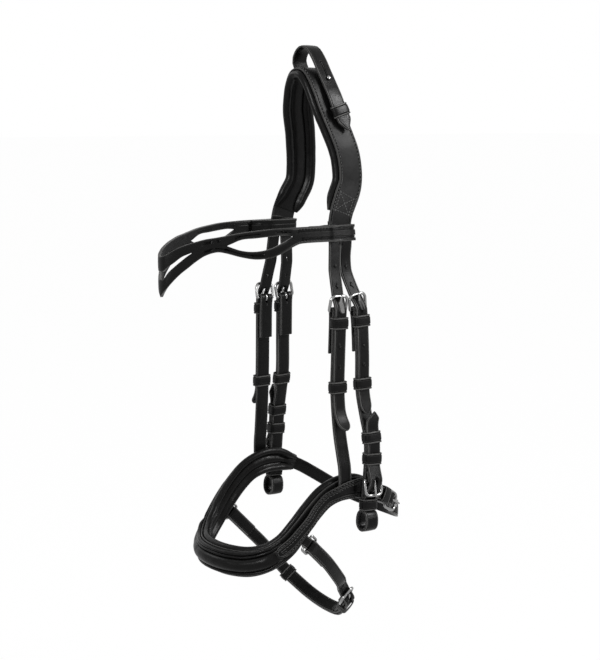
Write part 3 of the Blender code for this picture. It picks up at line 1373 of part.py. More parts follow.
def chin_tab(stack, nose, side, tag):
    """A leather tab that hangs a ring from under the noseband's side panel."""
    bar = reflect(stack.place(-RING_PITCH, 0, 0), side)
    middle = nose.total / 2
    best = min(range(len(nose.points)), key=lambda i: (nose.points[i] - bar).length)
    s = nose.lengths[best]
    point, _, up, out, height = nose.at(s)
    lay = NOSE_BACKING / 2 + SLIDE_GAP + THIN_LEATHER / 2
    radius = RING_WIRE_RADIUS + SLIDE_GAP + THIN_LEATHER / 2
    top = nose.place(s, TAB_RISE - height / 2, lay)
    edge = nose.place(s, -height / 2, lay)
    along = nose.at(s)[1]
    across = reflect(stack.place(-RING_PITCH, CHIN_WIDTH, 0), side) - bar
    across.normalize()
    if across.dot(along) < 0:
        across = -across
    down = bar - edge
    down = (down - across * down.dot(across)).normalized()
    face = across.cross(down)
    if face.dot(out) < 0:
        face = -face
    half = TAB_WIDTH / 2
    strip = [[top - along * half, top + along * half], [edge - along * half, edge + along * half]]
    for turn in TAB_TURNS:
        angle = math.radians(turn)
        row = bar + (down * math.sin(angle) + face * math.cos(angle)) * radius
        strip.append([row - across * half, row + across * half])
    return leather_piece(f"chin_tab_{tag}", [strip], THIN_LEATHER, side=side, edge=None)


def chin(route, nose):
    """Chin strap in two halves, its buckle, keepers, rings and tabs."""
    half = CHIN_WIDTH / 2
    start = route.total * (1 - CHIN_BUCKLE_SHARE)
    stack = Stack(route, start)
    buckle = Buckle(stack, STRAP_LEATHER, CHIN_WIDTH, CHIN_TILT, gap=LOOSE_GAP)
    lay = (STRAP_LEATHER + SLIDE_GAP) / 2
    billet_lay = lay + STRAP_LEATHER + SLIDE_GAP
    near = Stack(route, 0)
    far = Stack(route, route.total, -1)
    for end, side, tag in ((near, NEAR, "near"), (far, FAR, "far")):
        chin_ring(end, tag)
        chin_tab(end, nose, side, tag)
    run = route.total - start
    profile = buckle.fold(lay, CHIN_FOLD_LENGTH)
    profile += [(run - u, n, wide) for u, n, wide in
                reversed(ring_fold(far, half, CHIN_END_FOLD, lay))]
    strap = leather_piece("chin_buckle_strap", [strap_rows(stack, profile)])
    cut_slot(strap, "chin_slot", buckle)
    buckle.frame("chin_buckle_frame", NEAR)
    buckle.tongue("chin_buckle_tongue", NEAR)
    profile = [(u - start, n, wide) for u, n, wide in ring_fold(near, half, CHIN_END_FOLD, lay)]
    profile += [(-CHIN_RELIEF_RUN, lay, half), (-CHIN_SETTLE, -CHIN_RELIEF, half)]
    profile += buckle.over(billet_lay, half)
    tip = CHIN_TIP_LENGTH - TIP_LENGTH
    profile += [(tip, billet_lay, half)]
    profile += round_tip(tip, TIP_LENGTH, half, billet_lay, billet_lay)[1:]
    billet = leather_piece("chin_billet_strap", [strap_rows(stack, profile)])
    add_cut(billet, punch_cutter("chin_hole", [buckle.through()]))
    low = -lay - STRAP_LEATHER / 2
    high = billet_lay + STRAP_LEATHER / 2
    keeper_piece("chin_fixed_keeper", stack, CHIN_KEEPER_DROP, low, high, NEAR, half,
                 CHIN_KEEPER_HEIGHT)
    keeper_piece("chin_runner", stack, CHIN_RUNNER_DROP, lay - STRAP_LEATHER / 2, high, NEAR, half,
                 CHIN_KEEPER_HEIGHT, SLIDE_GAP, True)


def build():
    """Build every piece of the bridle."""
    head = head_route()
    offset = (NECK_WIDTH - BILLET_WIDTH) / 2
    lines = [cheek_line(HANGER_LINE_SHARES, head, -offset),
             cheek_line(CHEEK_LINE_SHARES, head, offset)]
    buckles = [Buckle(Stack(line, line.length_at(2, -BUCKLE_DROP))) for line in lines]
    lay = KEEPER_LEATHER / 2 + FIT_GAP + STRAP_LEATHER / 2
    billet_lay = lay + STRAP_LEATHER + FIT_GAP
    profiles = [billet_profile(buckle, -buckle.stack.start, billet_lay, length, flare)
                for buckle, length, flare in zip(buckles,
                                                 (HANGER_BILLET_LENGTH, CHEEK_BILLET_LENGTH),
                                                 (BILLET_TIP_FLARE, 0))]
    headpiece(head, buckles, profiles)
    crown_pad(head)
    hanging_strap(head)
    browband(brow_route())
    cheek = lines[1]
    bit_base = lay + STRAP_LEATHER / 2 + LOOSE_GAP + THIN_LEATHER + FIT_GAP + WIRE_RADIUS
    bit = Buckle(Stack(cheek, cheek.length_at(2, -BIT_BUCKLE_DROP), -1, bit_base), THIN_LEATHER,
                 STRAP_WIDTH, BIT_FRAME_TILT)
    for side, tag in SIDES:
        cheek_side(side, tag, buckles[1], bit, billet_lay)
        hanger_side(side, tag, buckles[0], billet_lay)
    nose = nose_route()
    noseband(nose, buckles[0])
    jaw(jaw_route())
    chin(chin_route(), nose)


for item in list(bpy.data.objects):
    bpy.data.objects.remove(item, do_unlink=True)
PARTS = collection_named("icelandic_bridle")
CUTTERS = collection_named("icelandic_bridle_cutters")
build()
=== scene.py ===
"""Looks of the bridle: fine leather, padding, sewing, steel, studio light and camera.

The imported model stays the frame. Each piece made here stands for a solid of that model, lies
where the solid lies, and rides on its body. Metres, +Z up; the horse faces -Y and its near
(left) side is +X.
"""

import json
import logging
import math
from dataclasses import dataclass, field
from enum import Enum
from typing import Callable, Iterable, Optional, Sequence

import bmesh
import bpy
from mathutils import Matrix, Vector, noise

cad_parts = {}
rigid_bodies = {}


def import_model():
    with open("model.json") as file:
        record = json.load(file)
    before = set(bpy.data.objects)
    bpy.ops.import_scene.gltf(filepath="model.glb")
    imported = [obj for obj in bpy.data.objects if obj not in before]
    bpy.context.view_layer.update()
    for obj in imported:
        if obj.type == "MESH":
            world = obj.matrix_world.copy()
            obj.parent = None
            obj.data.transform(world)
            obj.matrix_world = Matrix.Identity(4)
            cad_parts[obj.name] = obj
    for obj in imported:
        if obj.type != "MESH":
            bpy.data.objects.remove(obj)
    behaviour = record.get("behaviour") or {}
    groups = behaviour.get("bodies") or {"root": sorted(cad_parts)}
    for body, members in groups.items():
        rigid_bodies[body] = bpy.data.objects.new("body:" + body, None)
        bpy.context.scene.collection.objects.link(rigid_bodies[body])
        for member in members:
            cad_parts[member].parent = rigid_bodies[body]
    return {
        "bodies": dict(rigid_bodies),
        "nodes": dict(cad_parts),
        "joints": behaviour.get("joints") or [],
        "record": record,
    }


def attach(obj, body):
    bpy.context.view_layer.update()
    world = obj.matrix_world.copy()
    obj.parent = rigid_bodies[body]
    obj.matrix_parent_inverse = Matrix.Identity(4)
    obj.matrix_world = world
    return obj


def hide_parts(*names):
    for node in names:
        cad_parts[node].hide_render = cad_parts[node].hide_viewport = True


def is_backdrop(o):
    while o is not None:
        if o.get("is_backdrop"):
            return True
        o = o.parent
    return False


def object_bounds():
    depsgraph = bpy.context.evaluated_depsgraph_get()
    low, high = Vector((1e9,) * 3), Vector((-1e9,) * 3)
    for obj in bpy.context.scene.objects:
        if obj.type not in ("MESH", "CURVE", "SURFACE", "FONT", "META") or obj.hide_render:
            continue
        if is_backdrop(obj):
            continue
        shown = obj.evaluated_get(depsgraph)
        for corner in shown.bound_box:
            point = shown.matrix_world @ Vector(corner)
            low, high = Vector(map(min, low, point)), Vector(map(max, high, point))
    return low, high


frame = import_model()

MM = 0.001
LOG = logging.getLogger("bridle")
Row = tuple[float, ...]
Pair = tuple[float, float]


class Side(Enum):
    """Side of the horse: its tag in the pieces' names and the sign of X there."""

    NEAR = ("near", 1)
    FAR = ("far", -1)

    @property
    def tag(self) -> str:
        """The side's word in the names of pieces."""
        return self.value[0]

    @property
    def sign(self) -> int:
        """The sign of X on this side."""
        return self.value[1]


class Tip(Enum):
    """Shape of a strap's end."""

    SQUARE = "square"
    ROUND = "round"
    POINT = "point"


class Creased(Enum):
    """Which faces of a strap carry pressed crease lines."""

    NEITHER = (False, False)
    GRAIN = (True, False)
    BOTH = (True, True)


@dataclass(frozen=True)
class Making:
    """Clearances, leather sizes and mesh steps that all the straps share."""

    fit_gap: float = 0.3 * MM
    slide_gap: float = 0.45 * MM
    loose_gap: float = 0.6 * MM
    strap_width: float = 13 * MM
    strap: float = 2.3 * MM
    thin: float = 1.6 * MM
    keeper: float = 1.3 * MM
    billet_width: float = 11.8 * MM
    tip_length: float = 8 * MM
    keeper_height: float = 10 * MM
    fold_length: float = 36 * MM
    fold_settle: float = 4.4 * MM
    fold_arc: float = math.radians(78)
    route_step: float = 2.4 * MM
    row_step: float = 1.0 * MM
    row_reach: float = 3.6 * MM
    row_turn: float = math.radians(5)
    smoothing: int = 3
    stitch_pitch: float = 2.8 * MM


MAKING = Making()


@dataclass(frozen=True)
class BridleSizes:
    """Overall sizes that the routes of the straps are shares of."""

    neck_half_width: float = 43 * MM
    crown_sweep: float = 13 * MM
    neck_drop: float = 123 * MM
    crown_rise_share: float = 0.069
    apex_sweep_share: float = -0.23
    face_half_width: float = 63 * MM
    face_depth: float = 104 * MM
    bridle_drop: float = 344 * MM
    jaw_reach: float = 85 * MM
    strap_spread: float = 12 * MM
    nose_height: float = 22 * MM
    brow_reach: float = 149 * MM
    brow_half_width: float = 47.6 * MM
    brow_drop: float = 128.8 * MM
    chin_ring_reach: float = 44 * MM
    chin_ring_drop: float = 391 * MM
    chin_drop: float = 474 * MM
    chin_rear: float = 22 * MM
    neck_width: float = 23.4 * MM
    crown_width: float = 24 * MM
    buckle_drop: float = 193.5 * MM
    bit_buckle_drop: float = 338 * MM


SIZES = BridleSizes()

# Routes as shares of the sizes above, in the order of the lines that use them
CROWN_SHARES = (
    (0.205, -0.26, 0.052), (0.380, -0.20, -0.012), (0.515, -0.07, -0.106), (0.625, 0.13, -0.211),
    (0.737, 0.560, -0.350), (0.849, 0.892, -0.488), (0.904, 1.015, -0.610), (0.927, 0.954, -0.715),
    (0.966, 0.460, -0.821), (0.991, 0.060, -0.919), (1.000, -0.108, -1.000),
)
HANGER_SHARES = (
    (0.734, -0.700, 0.404), (0.810, -0.870, 0.480), (0.860, -0.970, 0.5465),
    (0.873, -1.025, 0.587), (0.867, -1.083, 0.683), (0.867, -1.117, 0.762),
    (0.913, -1.067, 0.858), (0.975, -0.967, 0.925), (1.006, -0.933, 0.958),
    (1.010, -0.917, 1.030),
)
CHEEK_SHARES = (
    (0.712, 0.350, 0.399), (0.708, 0.340, 0.436), (0.748, 0.430, 0.480), (0.850, 0.750, 0.5465),
    (0.884, 0.850, 0.587), (0.905, 0.900, 0.674), (0.914, 0.908, 0.762), (0.992, 0.967, 0.826),
    (1.067, 1.033, 0.878), (1.090, 1.000, 0.930), (1.092, 0.875, 0.988), (1.089, 0.750, 1.052),
    (1.089, 0.667, 1.093), (1.089, 0.625, 1.140),
)
NOSE_SHARES = (
    (0.000, 1.000, 1.1750, 1.00), (0.310, 0.970, 1.1750, 1.00), (0.587, 0.880, 1.1720, 0.96),
    (0.800, 0.765, 1.1560, 0.86), (0.925, 0.640, 1.1280, 0.80), (0.976, 0.525, 1.0910, 0.78),
    (0.992, 0.404, 1.0530, 0.78), (0.995, 0.269, 1.0210, 0.80), (0.994, 0.115, 1.0060, 0.82),
)
JAW_SHARES = (
    (0.997, 0.044, 1.0065, 0.82), (0.984, 0.200, 1.0180, 0.76), (0.945, 0.360, 1.0360, 0.62),
    (0.865, 0.520, 1.0620, 0.54), (0.740, 0.675, 1.0900, 0.52), (0.560, 0.815, 1.1150, 0.52),
    (0.300, 0.945, 1.1330, 0.52), (0.000, 1.000, 1.1400, 0.52),
)
BROW_PLAN_SHARES = (
    (0.000, 1.000), (0.130, 0.985), (0.290, 0.905), (0.465, 0.798), (0.655, 0.668),
    (0.800, 0.532), (0.905, 0.400), (0.975, 0.262), (1.000, 0.120), (0.998, 0.020),
    (0.996, -0.060),
)
BROW_SHAPE_SHARES = (
    (0.000, -0.990, -0.690, -0.555, -0.318), (0.022, -0.905, -0.690, -0.555, -0.300),
    (0.050, -0.800, -0.565, -0.475, -0.255), (0.080, -0.690, -0.475, -0.405, -0.195),
    (0.115, -0.585, -0.385, -0.320, -0.145), (0.150, -0.500, -0.300, -0.270, -0.105),
    (0.190, -0.400, -0.225, -0.225, -0.070), (0.240, -0.300, -0.165, -0.165, -0.030),
    (0.300, -0.245, -0.125, -0.125, -0.002), (0.350, -0.265, -0.140, -0.140, 0.025),
    (0.430, -0.335, -0.225, -0.045, 0.068), (0.510, -0.378, -0.250, -0.025, 0.095),
    (0.590, -0.360, -0.210, -0.005, 0.118), (0.660, -0.285, -0.115, 0.006, 0.128),
    (0.730, -0.175, -0.012, -0.012, 0.134), (0.790, -0.137, 0.000, 0.000, 0.137),
    (1.000, -0.137, 0.000, 0.000, 0.137),
)
CHIN_SHARES = (
    (-0.995, 0.000, 0.000), (-0.920, 0.225, 0.200), (-0.800, 0.370, 0.345),
    (-0.690, 0.500, 0.500), (-0.560, 0.605, 0.640), (-0.381, 0.745, 0.790),
    (-0.222, 0.845, 0.890), (-0.032, 0.940, 0.965), (0.175, 1.000, 0.985),
    (0.390, 0.955, 0.885), (0.571, 0.850, 0.725), (0.730, 0.670, 0.545),
    (0.841, 0.490, 0.390), (0.940, 0.265, 0.200), (0.998, 0.000, 0.000),
)
CHIN_ACROSS = (0, 0.77, 0.63)
POINT_TIP_SHARES = ((0.0, 1.0), (0.2, 0.91), (0.5, 0.62), (1.0, 0.07))


def smooth_line(values: Sequence[Row], steps: int = 8) -> list[Row]:
    """Fill a smooth line between given places.

    Args:
        values: the places that the line passes through.
        steps: how many equal steps each span gets.

    Returns:
        The places of the line, ends included.
    """
    last = len(values) - 1
    line: list[Row] = []
    for i in range(last):
        ends = (values[max(i - 1, 0)], values[i], values[i + 1], values[min(i + 2, last)])
        for k in range(steps):
            t = k / steps
            line.append(tuple(
                0.5 * (2 * b + (c - a) * t + (2 * a - 5 * b + 4 * c - d) * t * t
                       + (3 * b - a - 3 * c + d) * t ** 3)
                for a, b, c, d in zip(*ends)))
    line.append(tuple(values[-1]))
    return line


def interpolate(table: Sequence[Row], x: float) -> Row:
    """Read a table between its rows.

    Args:
        table: rows that start with a rising number.
        x: the number to read at.

    Returns:
        The row there, without its first number.
    """
    for low, high in zip(table, table[1:]):
        if x <= high[0] or high is table[-1]:
            share = min(max((x - low[0]) / (high[0] - low[0]), 0), 1)
            return tuple(a + (b - a) * share for a, b in zip(low[1:], high[1:]))
    return tuple(table[-1][1:])


class Route:
    """A smooth line in space with a height at each point and a direction across it."""

    def __init__(self, places: Sequence[Row], across_hint: Row,
                 step: float = MAKING.route_step) -> None:
        """Lay the line.

        Args:
            places: the points, each with a height or without one.
            across_hint: the rough direction across the line.
            step: the distance between the line's corners.
        """
        self.hint = Vector(across_hint)
        self._take(smooth_line([tuple(place) for place in places]))
        count = 2 * math.ceil(self.total / step / 2)
        even = []
        for k in range(count + 1):
            point, _, _, _, height = self.at(self.total * k / count)
            even.append((*point, height))
        self._take(even)

    def _take(self, places: Sequence[Row]) -> None:
        """Use these places as the corners of the line.

        Args:
            places: the points, each with a height or without one.
        """
        self.points = [Vector(place[:3]) for place in places]
        self.heights = [place[3] if len(place) > 3 else 0.0 for place in places]
        self.lengths = [0.0]
        for a, b in zip(self.points, self.points[1:]):
            self.lengths.append(self.lengths[-1] + (b - a).length)
        self.total = self.lengths[-1]
        last = len(self.points) - 1
        self.tangents = [(self.points[min(i + 1, last)] - self.points[max(i - 1, 0)]).normalized()
                         for i in range(last + 1)]

    def _span(self, s: float) -> int:
        """Find the span that holds a length.

        Args:
            s: the length along the line.

        Returns:
            The index of the corner before it.
        """
        low, high = 0, len(self.lengths) - 2
        while low < high:
            mid = (low + high + 1) // 2
            if self.lengths[mid] <= s:
                low = mid
            else:
                high = mid - 1
        return low

    def at(self, s: float) -> tuple[Vector, Vector, Vector, Vector, float]:
        """Read the line at a length.

        Args:
            s: the length along the line.

        Returns:
            The point, the tangent, the directions across and outward, and the height.
        """
        i = self._span(s)
        span = self.lengths[i + 1] - self.lengths[i]
        t = (s - self.lengths[i]) / span
        inside = min(max(t, 0), 1)
        tangent = self.tangents[i].lerp(self.tangents[i + 1], inside).normalized()
        point = self.points[i].lerp(self.points[i + 1], inside) + tangent * (t - inside) * span
        across = (self.hint - tangent * self.hint.dot(tangent)).normalized()
        height = self.heights[i] + (self.heights[i + 1] - self.heights[i]) * inside
        return point, tangent, across, tangent.cross(across), height

    def place(self, s: float, v: float, n: float) -> Vector:
        """Find a place beside the line.

        Args:
            s: the length along the line.
            v: the distance across it.
            n: the distance outward of it.

        Returns:
            The world point.
        """
        point, _, across, out, _ = self.at(s)
        return point + across * v + out * n

    def height(self, s: float) -> float:
        """Read the height set for the line.

        Args:
            s: the length along the line.

        Returns:
            The height there.
        """
        return self.at(s)[4]

    def length_at(self, axis: int, value: float, start: float = 0) -> float:
        """Find where the line passes a coordinate.

        Args:
            axis: the coordinate's index.
            value: the coordinate.
            start: the length to look from.

        Returns:
            The first such length, or the line's whole length.
        """
        for i in range(len(self.points) - 1):
            a = self.points[i][axis] - value
            b = self.points[i + 1][axis] - value
            if self.lengths[i + 1] > start and a * b <= 0 and a != b:
                return self.lengths[i] + (self.lengths[i + 1] - self.lengths[i]) * a / (a - b)
        return self.total


@dataclass(frozen=True)
class Stack:
    """Layers measured from a bar on a route: u along it, v across, n outward of the bar."""

    route: Route
    start: float
    direction: int = 1
    base: float = 0.0

    def place(self, u: float, v: float, n: float) -> Vector:
        """Find a place in the stack.

        Args:
            u: the distance along it.
            v: the distance across it.
            n: the distance outward of the bar.

        Returns:
            The world point.
        """
        return self.route.place(self.start + self.direction * u, v, self.base + n)


def reflect(point: Vector, side: Side) -> Vector:
    """Take a point or direction of the near side to a side.

    Args:
        point: the near side's point or direction.
        side: the side wanted.

    Returns:
        The same point or direction there.
    """
    return Vector((side.sign * point[0], point[1], point[2]))


class Buckle:
    """Where a wire buckle's bars lie on a stack, and how leather runs round and through it."""

    wire: float = 1.35 * MM
    tongue: float = 1.05 * MM
    tongue_tip: float = 0.7 * MM
    overhang: float = 1.6 * MM
    pitch: float = 13 * MM
    side_gap: float = 0.6 * MM
    corner: float = 4.2 * MM
    hinge_corner: float = 1.6 * MM
    eye_turn: float = math.radians(240)
    hole_pull: float = 2.4 * MM
    tangent_rounds: int = 8

    def __init__(self, stack: Stack, leather: float = MAKING.strap,
                 width: float = MAKING.strap_width, tilt: float = math.radians(18),
                 rest_radius: Optional[float] = None, gap: float = MAKING.fit_gap) -> None:
        """Solve the lines round the bars.

        Args:
            stack: the layers, with the hinge bar at their zero.
            leather: thickness of the leather round the hinge bar.
            width: width of the strap in the frame.
            tilt: how far the rest bar stands off the strap's line.
            rest_radius: radius of what the billet passes under, a bare wire by default.
            gap: clearance round the wire.
        """
        self.stack = stack
        self.half = width / 2
        self.tilt = tilt
        billet = MAKING.strap
        rest = rest_radius or self.wire
        self.fold_radius = self.wire + gap + leather / 2
        self.lift = self.wire + gap + self.tongue
        self.toward = Vector((-math.cos(tilt), math.sin(tilt)))
        self.face = Vector((math.sin(tilt), math.cos(tilt)))
        self.rest_bar = self.toward * self.pitch
        self.rest_lift = self.face * (rest + MAKING.fit_gap + self.tongue)
        under = rest + max(gap, MAKING.slide_gap) + billet / 2
        wrap = max(self.fold_radius + leather / 2, self.lift + self.tongue)
        self.over_radius = wrap + gap + billet / 2
        self.rise = Vector((1, 0))
        for _ in range(self.tangent_rounds):
            self.entry = self.rest_bar - Vector((-self.rise.y, self.rise.x)) * under
            distance = self.entry.length
            heading = (math.atan2(-self.entry.y, -self.entry.x)
                       + math.asin(self.over_radius / distance))
            self.rise = Vector((math.cos(heading), math.sin(heading)))
        self.touch = self.entry + self.rise * math.sqrt(distance ** 2 - self.over_radius ** 2)

    def fold(self, lay: float, length: float) -> list[Pair]:
        """Lay a strap end round the hinge bar.

        Args:
            lay: how far its two layers lie from the bar's line.
            length: how far its sewn end reaches behind.

        Returns:
            The profile, from the sewn end to the front layer.
        """
        settle = MAKING.fold_settle
        arc = []
        for k in range(13):
            angle = (k / 6 - 1) * MAKING.fold_arc
            arc.append((-self.fold_radius * math.cos(angle), self.fold_radius * math.sin(angle)))
        return [(length, -lay), (settle, -lay)] + arc + [(settle, lay)]

    def over(self, lay: float) -> list[Pair]:
        """Lay a billet through the frame and over the hinge bar.

        Args:
            lay: how far it lies from the bar's line further on.

        Returns:
            The profile, from under the rest bar to its lay.
        """
        top = self.over_radius
        return [(self.entry.x, self.entry.y), (self.touch.x, self.touch.y),
                (top * math.sin(self.tilt) * 0.5, top * math.cos(self.tilt * 0.5)),
                (self.lift + self.tongue, lay + (top - lay) * 0.3), (MAKING.fold_settle, lay)]

    def tongue_run(self) -> Vector:
        """Find the tongue's run, from over the hinge bar to just past the rest bar.

        Returns:
            The run in the stack.
        """
        run = self.rest_bar + self.rest_lift - self.face * self.lift
        return run * (1 + self.overhang / self.pitch)

    def hole_place(self) -> Vector:
        """Find the engaged hole.

        Returns:
            Its place in the stack.
        """
        run = self.tongue_run().normalized()
        start = self.face * self.lift
        matrix = Matrix(((run.x, -self.rise.x), (run.y, -self.rise.y)))
        return self.entry + self.rise * (matrix.inverted() @ (self.entry - start)).y

    def across(self) -> Vector:
        """Find the direction of the hinge bar.

        Returns:
            A unit vector along it.
        """
        return (self.stack.place(0, self.half, 0) - self.stack.place(0, 0, 0)).normalized()

    def through(self) -> "Punch":
        """Shape the tongue's hole in the billet.

        Returns:
            The punch that cuts it.
        """
        run = self.tongue_run().normalized()
        angle = math.atan2(run.y, -run.x) + math.atan2(self.rise.y, self.rise.x)
        clear = self.tongue + MAKING.slide_gap
        half_length = (clear / math.sin(angle) + MAKING.strap / 2 / math.tan(angle)
                       + 2 * MAKING.slide_gap + self.hole_pull / 2)
        meet = self.hole_place() + self.rise * self.hole_pull / 2
        centre = self.stack.place(meet.x, 0, meet.y)
        ahead = meet + self.rise * half_length
        along = (self.stack.place(ahead.x, 0, ahead.y) - centre).normalized()
        return Punch(centre, along, self.across(), half_length, clear + MAKING.slide_gap,
                     2 * MAKING.strap)

    def slot(self) -> "Punch":
        """Shape the tongue's slot in the fold.

        Returns:
            The punch that cuts it.
        """
        overrun = 4 * MM
        low = -self.fold_radius - overrun
        high = self.lift + self.tongue + MAKING.slide_gap
        centre = self.stack.place((low + high) / 2, 0, 0)
        along = (self.stack.place(high, 0, 0) - self.stack.place(low, 0, 0)).normalized()
        return Punch(centre, along, self.across(), (high - low) / 2,
                     self.tongue + MAKING.slide_gap, 2 * (self.fold_radius + overrun))


@dataclass(frozen=True)
class Punch:
    """A round-ended cutter that goes square through leather."""

    centre: Vector
    along: Vector
    across: Vector
    half_length: float
    half_width: float
    depth: float


@dataclass(frozen=True)
class RowFrame:
    """One row of a strap: its middle, directions, half width and run from the start."""

    centre: Vector
    across: Vector
    normal: Vector
    along: Vector
    half: float
    run: float

    def place(self, x: float, y: float) -> Vector:
        """Find a place in the row's section.

        Args:
            x: the distance across.
            y: the distance from the middle of the leather, towards its grain side.

        Returns:
            The world point.
        """
        return self.centre + self.across * x + self.normal * y

    def on_face(self, x: float, thickness: float, sizes: "SectionSizes") -> Vector:
        """Find a place on the row's domed grain side.

        Args:
            x: the distance across.
            thickness: thickness of the leather.
            sizes: how the face is shaped.

        Returns:
            The world point.
        """
        return self.place(x, thickness / 2 - sizes.dome * (x / self.half) ** 2)


@dataclass(frozen=True)
class SectionSizes:
    """How the edge of a strap is eased and creased."""

    ease: float = 0.45 * MM
    crease_inset: float = 1.5 * MM
    second_inset: float = 0.0
    crease_width: float = 1.0 * MM
    crease_depth: float = 0.3 * MM
    dome: float = 0.3 * MM
    # ridge: how strongly a painted highlight line is laid on the ridges beside the crease lines
    ridge: float = 1.0
    room: float = 1.5


STRAP_SECTION = SectionSizes()
KEEPER_SECTION = SectionSizes(ease=0.35 * MM, crease_inset=1.7 * MM, crease_width=1.1 * MM,
                              crease_depth=0.4 * MM, dome=0.35 * MM, ridge=0.9, room=1.05)
CROWN_SECTION = SectionSizes(crease_inset=2.2 * MM, crease_width=1.7 * MM,
                             crease_depth=0.45 * MM, dome=0.5 * MM, ridge=0.5)
PLAIN_SECTION = SectionSizes(crease_depth=0.0)
PANEL_SECTION = SectionSizes(crease_inset=1.6 * MM, second_inset=4.4 * MM,
                             crease_width=1.2 * MM, crease_depth=0.42 * MM, dome=0.35 * MM,
                             ridge=0.45, room=1.2)

SectionPoint = tuple[float, float, float, float]


def half_face(half: float, top: float, sizes: SectionSizes, creased: bool
              ) -> list[SectionPoint]:
    """Shape one face of a strap's section from its edge to its middle.

    Args:
        half: half the strap's width.
        top: height of the face over the leather's middle.
        sizes: how the edge is finished.
        creased: whether the crease lines are pressed into this face.

    Returns:
        Points as across, up, share of edge wear and painted highlight, and crease share.
    """
    insets = [inset for inset in (sizes.crease_inset, sizes.second_inset) if inset]
    deepest = max(insets) + sizes.crease_width
    shrink = min(1, half / (deepest * sizes.room))
    ease = min(sizes.ease * max(shrink, 0.4), top * 0.5, half * 0.4)
    dome = min(sizes.dome * shrink, top * 0.4)

    def face(x: float) -> float:
        return top - dome * (x / half) ** 2

    rim = top - dome
    points = [(half, rim - ease, 0.5, 0.0),
              (half - 0.29 * ease, rim - 0.29 * ease, 0.6, 0.0),
              (half - ease, face(half - ease), 0.4, 0.0)]
    for inset in insets:
        depth = sizes.crease_depth * shrink * shrink if creased else 0
        middle = half - max(inset * shrink, 1.6 * ease)
        reach = sizes.crease_width / 2 * shrink
        # The ridges beside each crease get a painted highlight line through their edge-wear share.
        ridge = sizes.ridge if creased else 0
        marked = 1.0 if creased else 0.0
        points += [(middle + 1.9 * reach, face(middle + 1.9 * reach), max(ridge, 0.3), 0.0),
                   (middle + reach, face(middle + reach), max(ridge, 0.3), 0.0),
                   (middle + 0.5 * reach, face(middle) - depth, 0.0, marked),
                   (middle - 0.5 * reach, face(middle) - depth, 0.0, marked),
                   (middle - reach, face(middle - reach), 0.6 * ridge, 0.0),
                   (middle - 1.6 * reach, face(middle - 1.6 * reach), 0.0, 0.0)]
    last = points[-1][0]
    points += [(last * share, face(last * share), 0.0, 0.0) for share in (0.66, 0.33)]
    return points


def strap_section(half: float, thickness: float, sizes: SectionSizes, creased: Creased
                  ) -> list[SectionPoint]:
    """Shape a strap's whole section.

    Args:
        half: half the strap's width.
        thickness: thickness of the leather.
        sizes: how the edges are finished.
        creased: which faces carry crease lines.

    Returns:
        Points round the section, as across, up, share of edge wear and painted highlight, and
        crease share.
    """
    grain, flesh = creased.value
    top = half_face(half, thickness / 2, sizes, grain)
    low = half_face(half, thickness / 2, sizes, flesh)
    outline = top + [(-x, y, edge, crease) for x, y, edge, crease in reversed(top)]
    outline += [(-x, -y, edge, crease) for x, y, edge, crease in low]
    return outline + [(x, -y, edge, crease) for x, y, edge, crease in reversed(low)]


class Profile:
    """A strap's line in its stack, eased at the bends and read by its own length."""

    def __init__(self, places: Sequence[Pair], step: float = MAKING.row_step,
                 passes: int = MAKING.smoothing) -> None:
        """Ease the line.

        Args:
            places: corners of the line, as along and outward.
            step: the distance between read points.
            passes: how many times the bends are eased.
        """
        corners = [Vector(place[:2]) for place in places]
        runs = [0.0]
        for a, b in zip(corners, corners[1:]):
            runs.append(runs[-1] + (b - a).length)
        table = [(run, *corner) for run, corner in zip(runs, corners)]
        count = max(4, round(runs[-1] / step))
        points = [Vector(interpolate(table, runs[-1] * k / count)) for k in range(count + 1)]
        for _ in range(passes):
            eased = [(a + 2 * b + c) / 4 for a, b, c in zip(points, points[1:], points[2:])]
            points = [points[0], *eased, points[-1]]
        self.runs = [0.0]
        for a, b in zip(points, points[1:]):
            self.runs.append(self.runs[-1] + (b - a).length)
        self.points = points
        self.total = self.runs[-1]
        self.table = [(run, *point) for run, point in zip(self.runs, points)]

    def run_where(self, u: float, last: bool = True) -> float:
        """Find where the line passes a place along the stack.

        Args:
            u: the place along the stack.
            last: whether the last such place is wanted.

        Returns:
            The run from the line's start.
        """
        found = 0.0
        for run, after, a, b in zip(self.runs, self.runs[1:], self.points, self.points[1:]):
            if (a.x - u) * (b.x - u) <= 0 and a.x != b.x:
                found = run + (after - run) * (u - a.x) / (b.x - a.x)
                if not last:
                    break
        return found


def round_width(share: float) -> float:
    """Half width of a rounded end, at a share of its length."""
    return math.sqrt(max(0, 1 - share * share)) * (1 - 0.12 * share) + 0.1 * share


def point_width(share: float) -> float:
    """Half width of a pointed end, at a share of its length."""
    return interpolate(POINT_TIP_SHARES, share)[0]


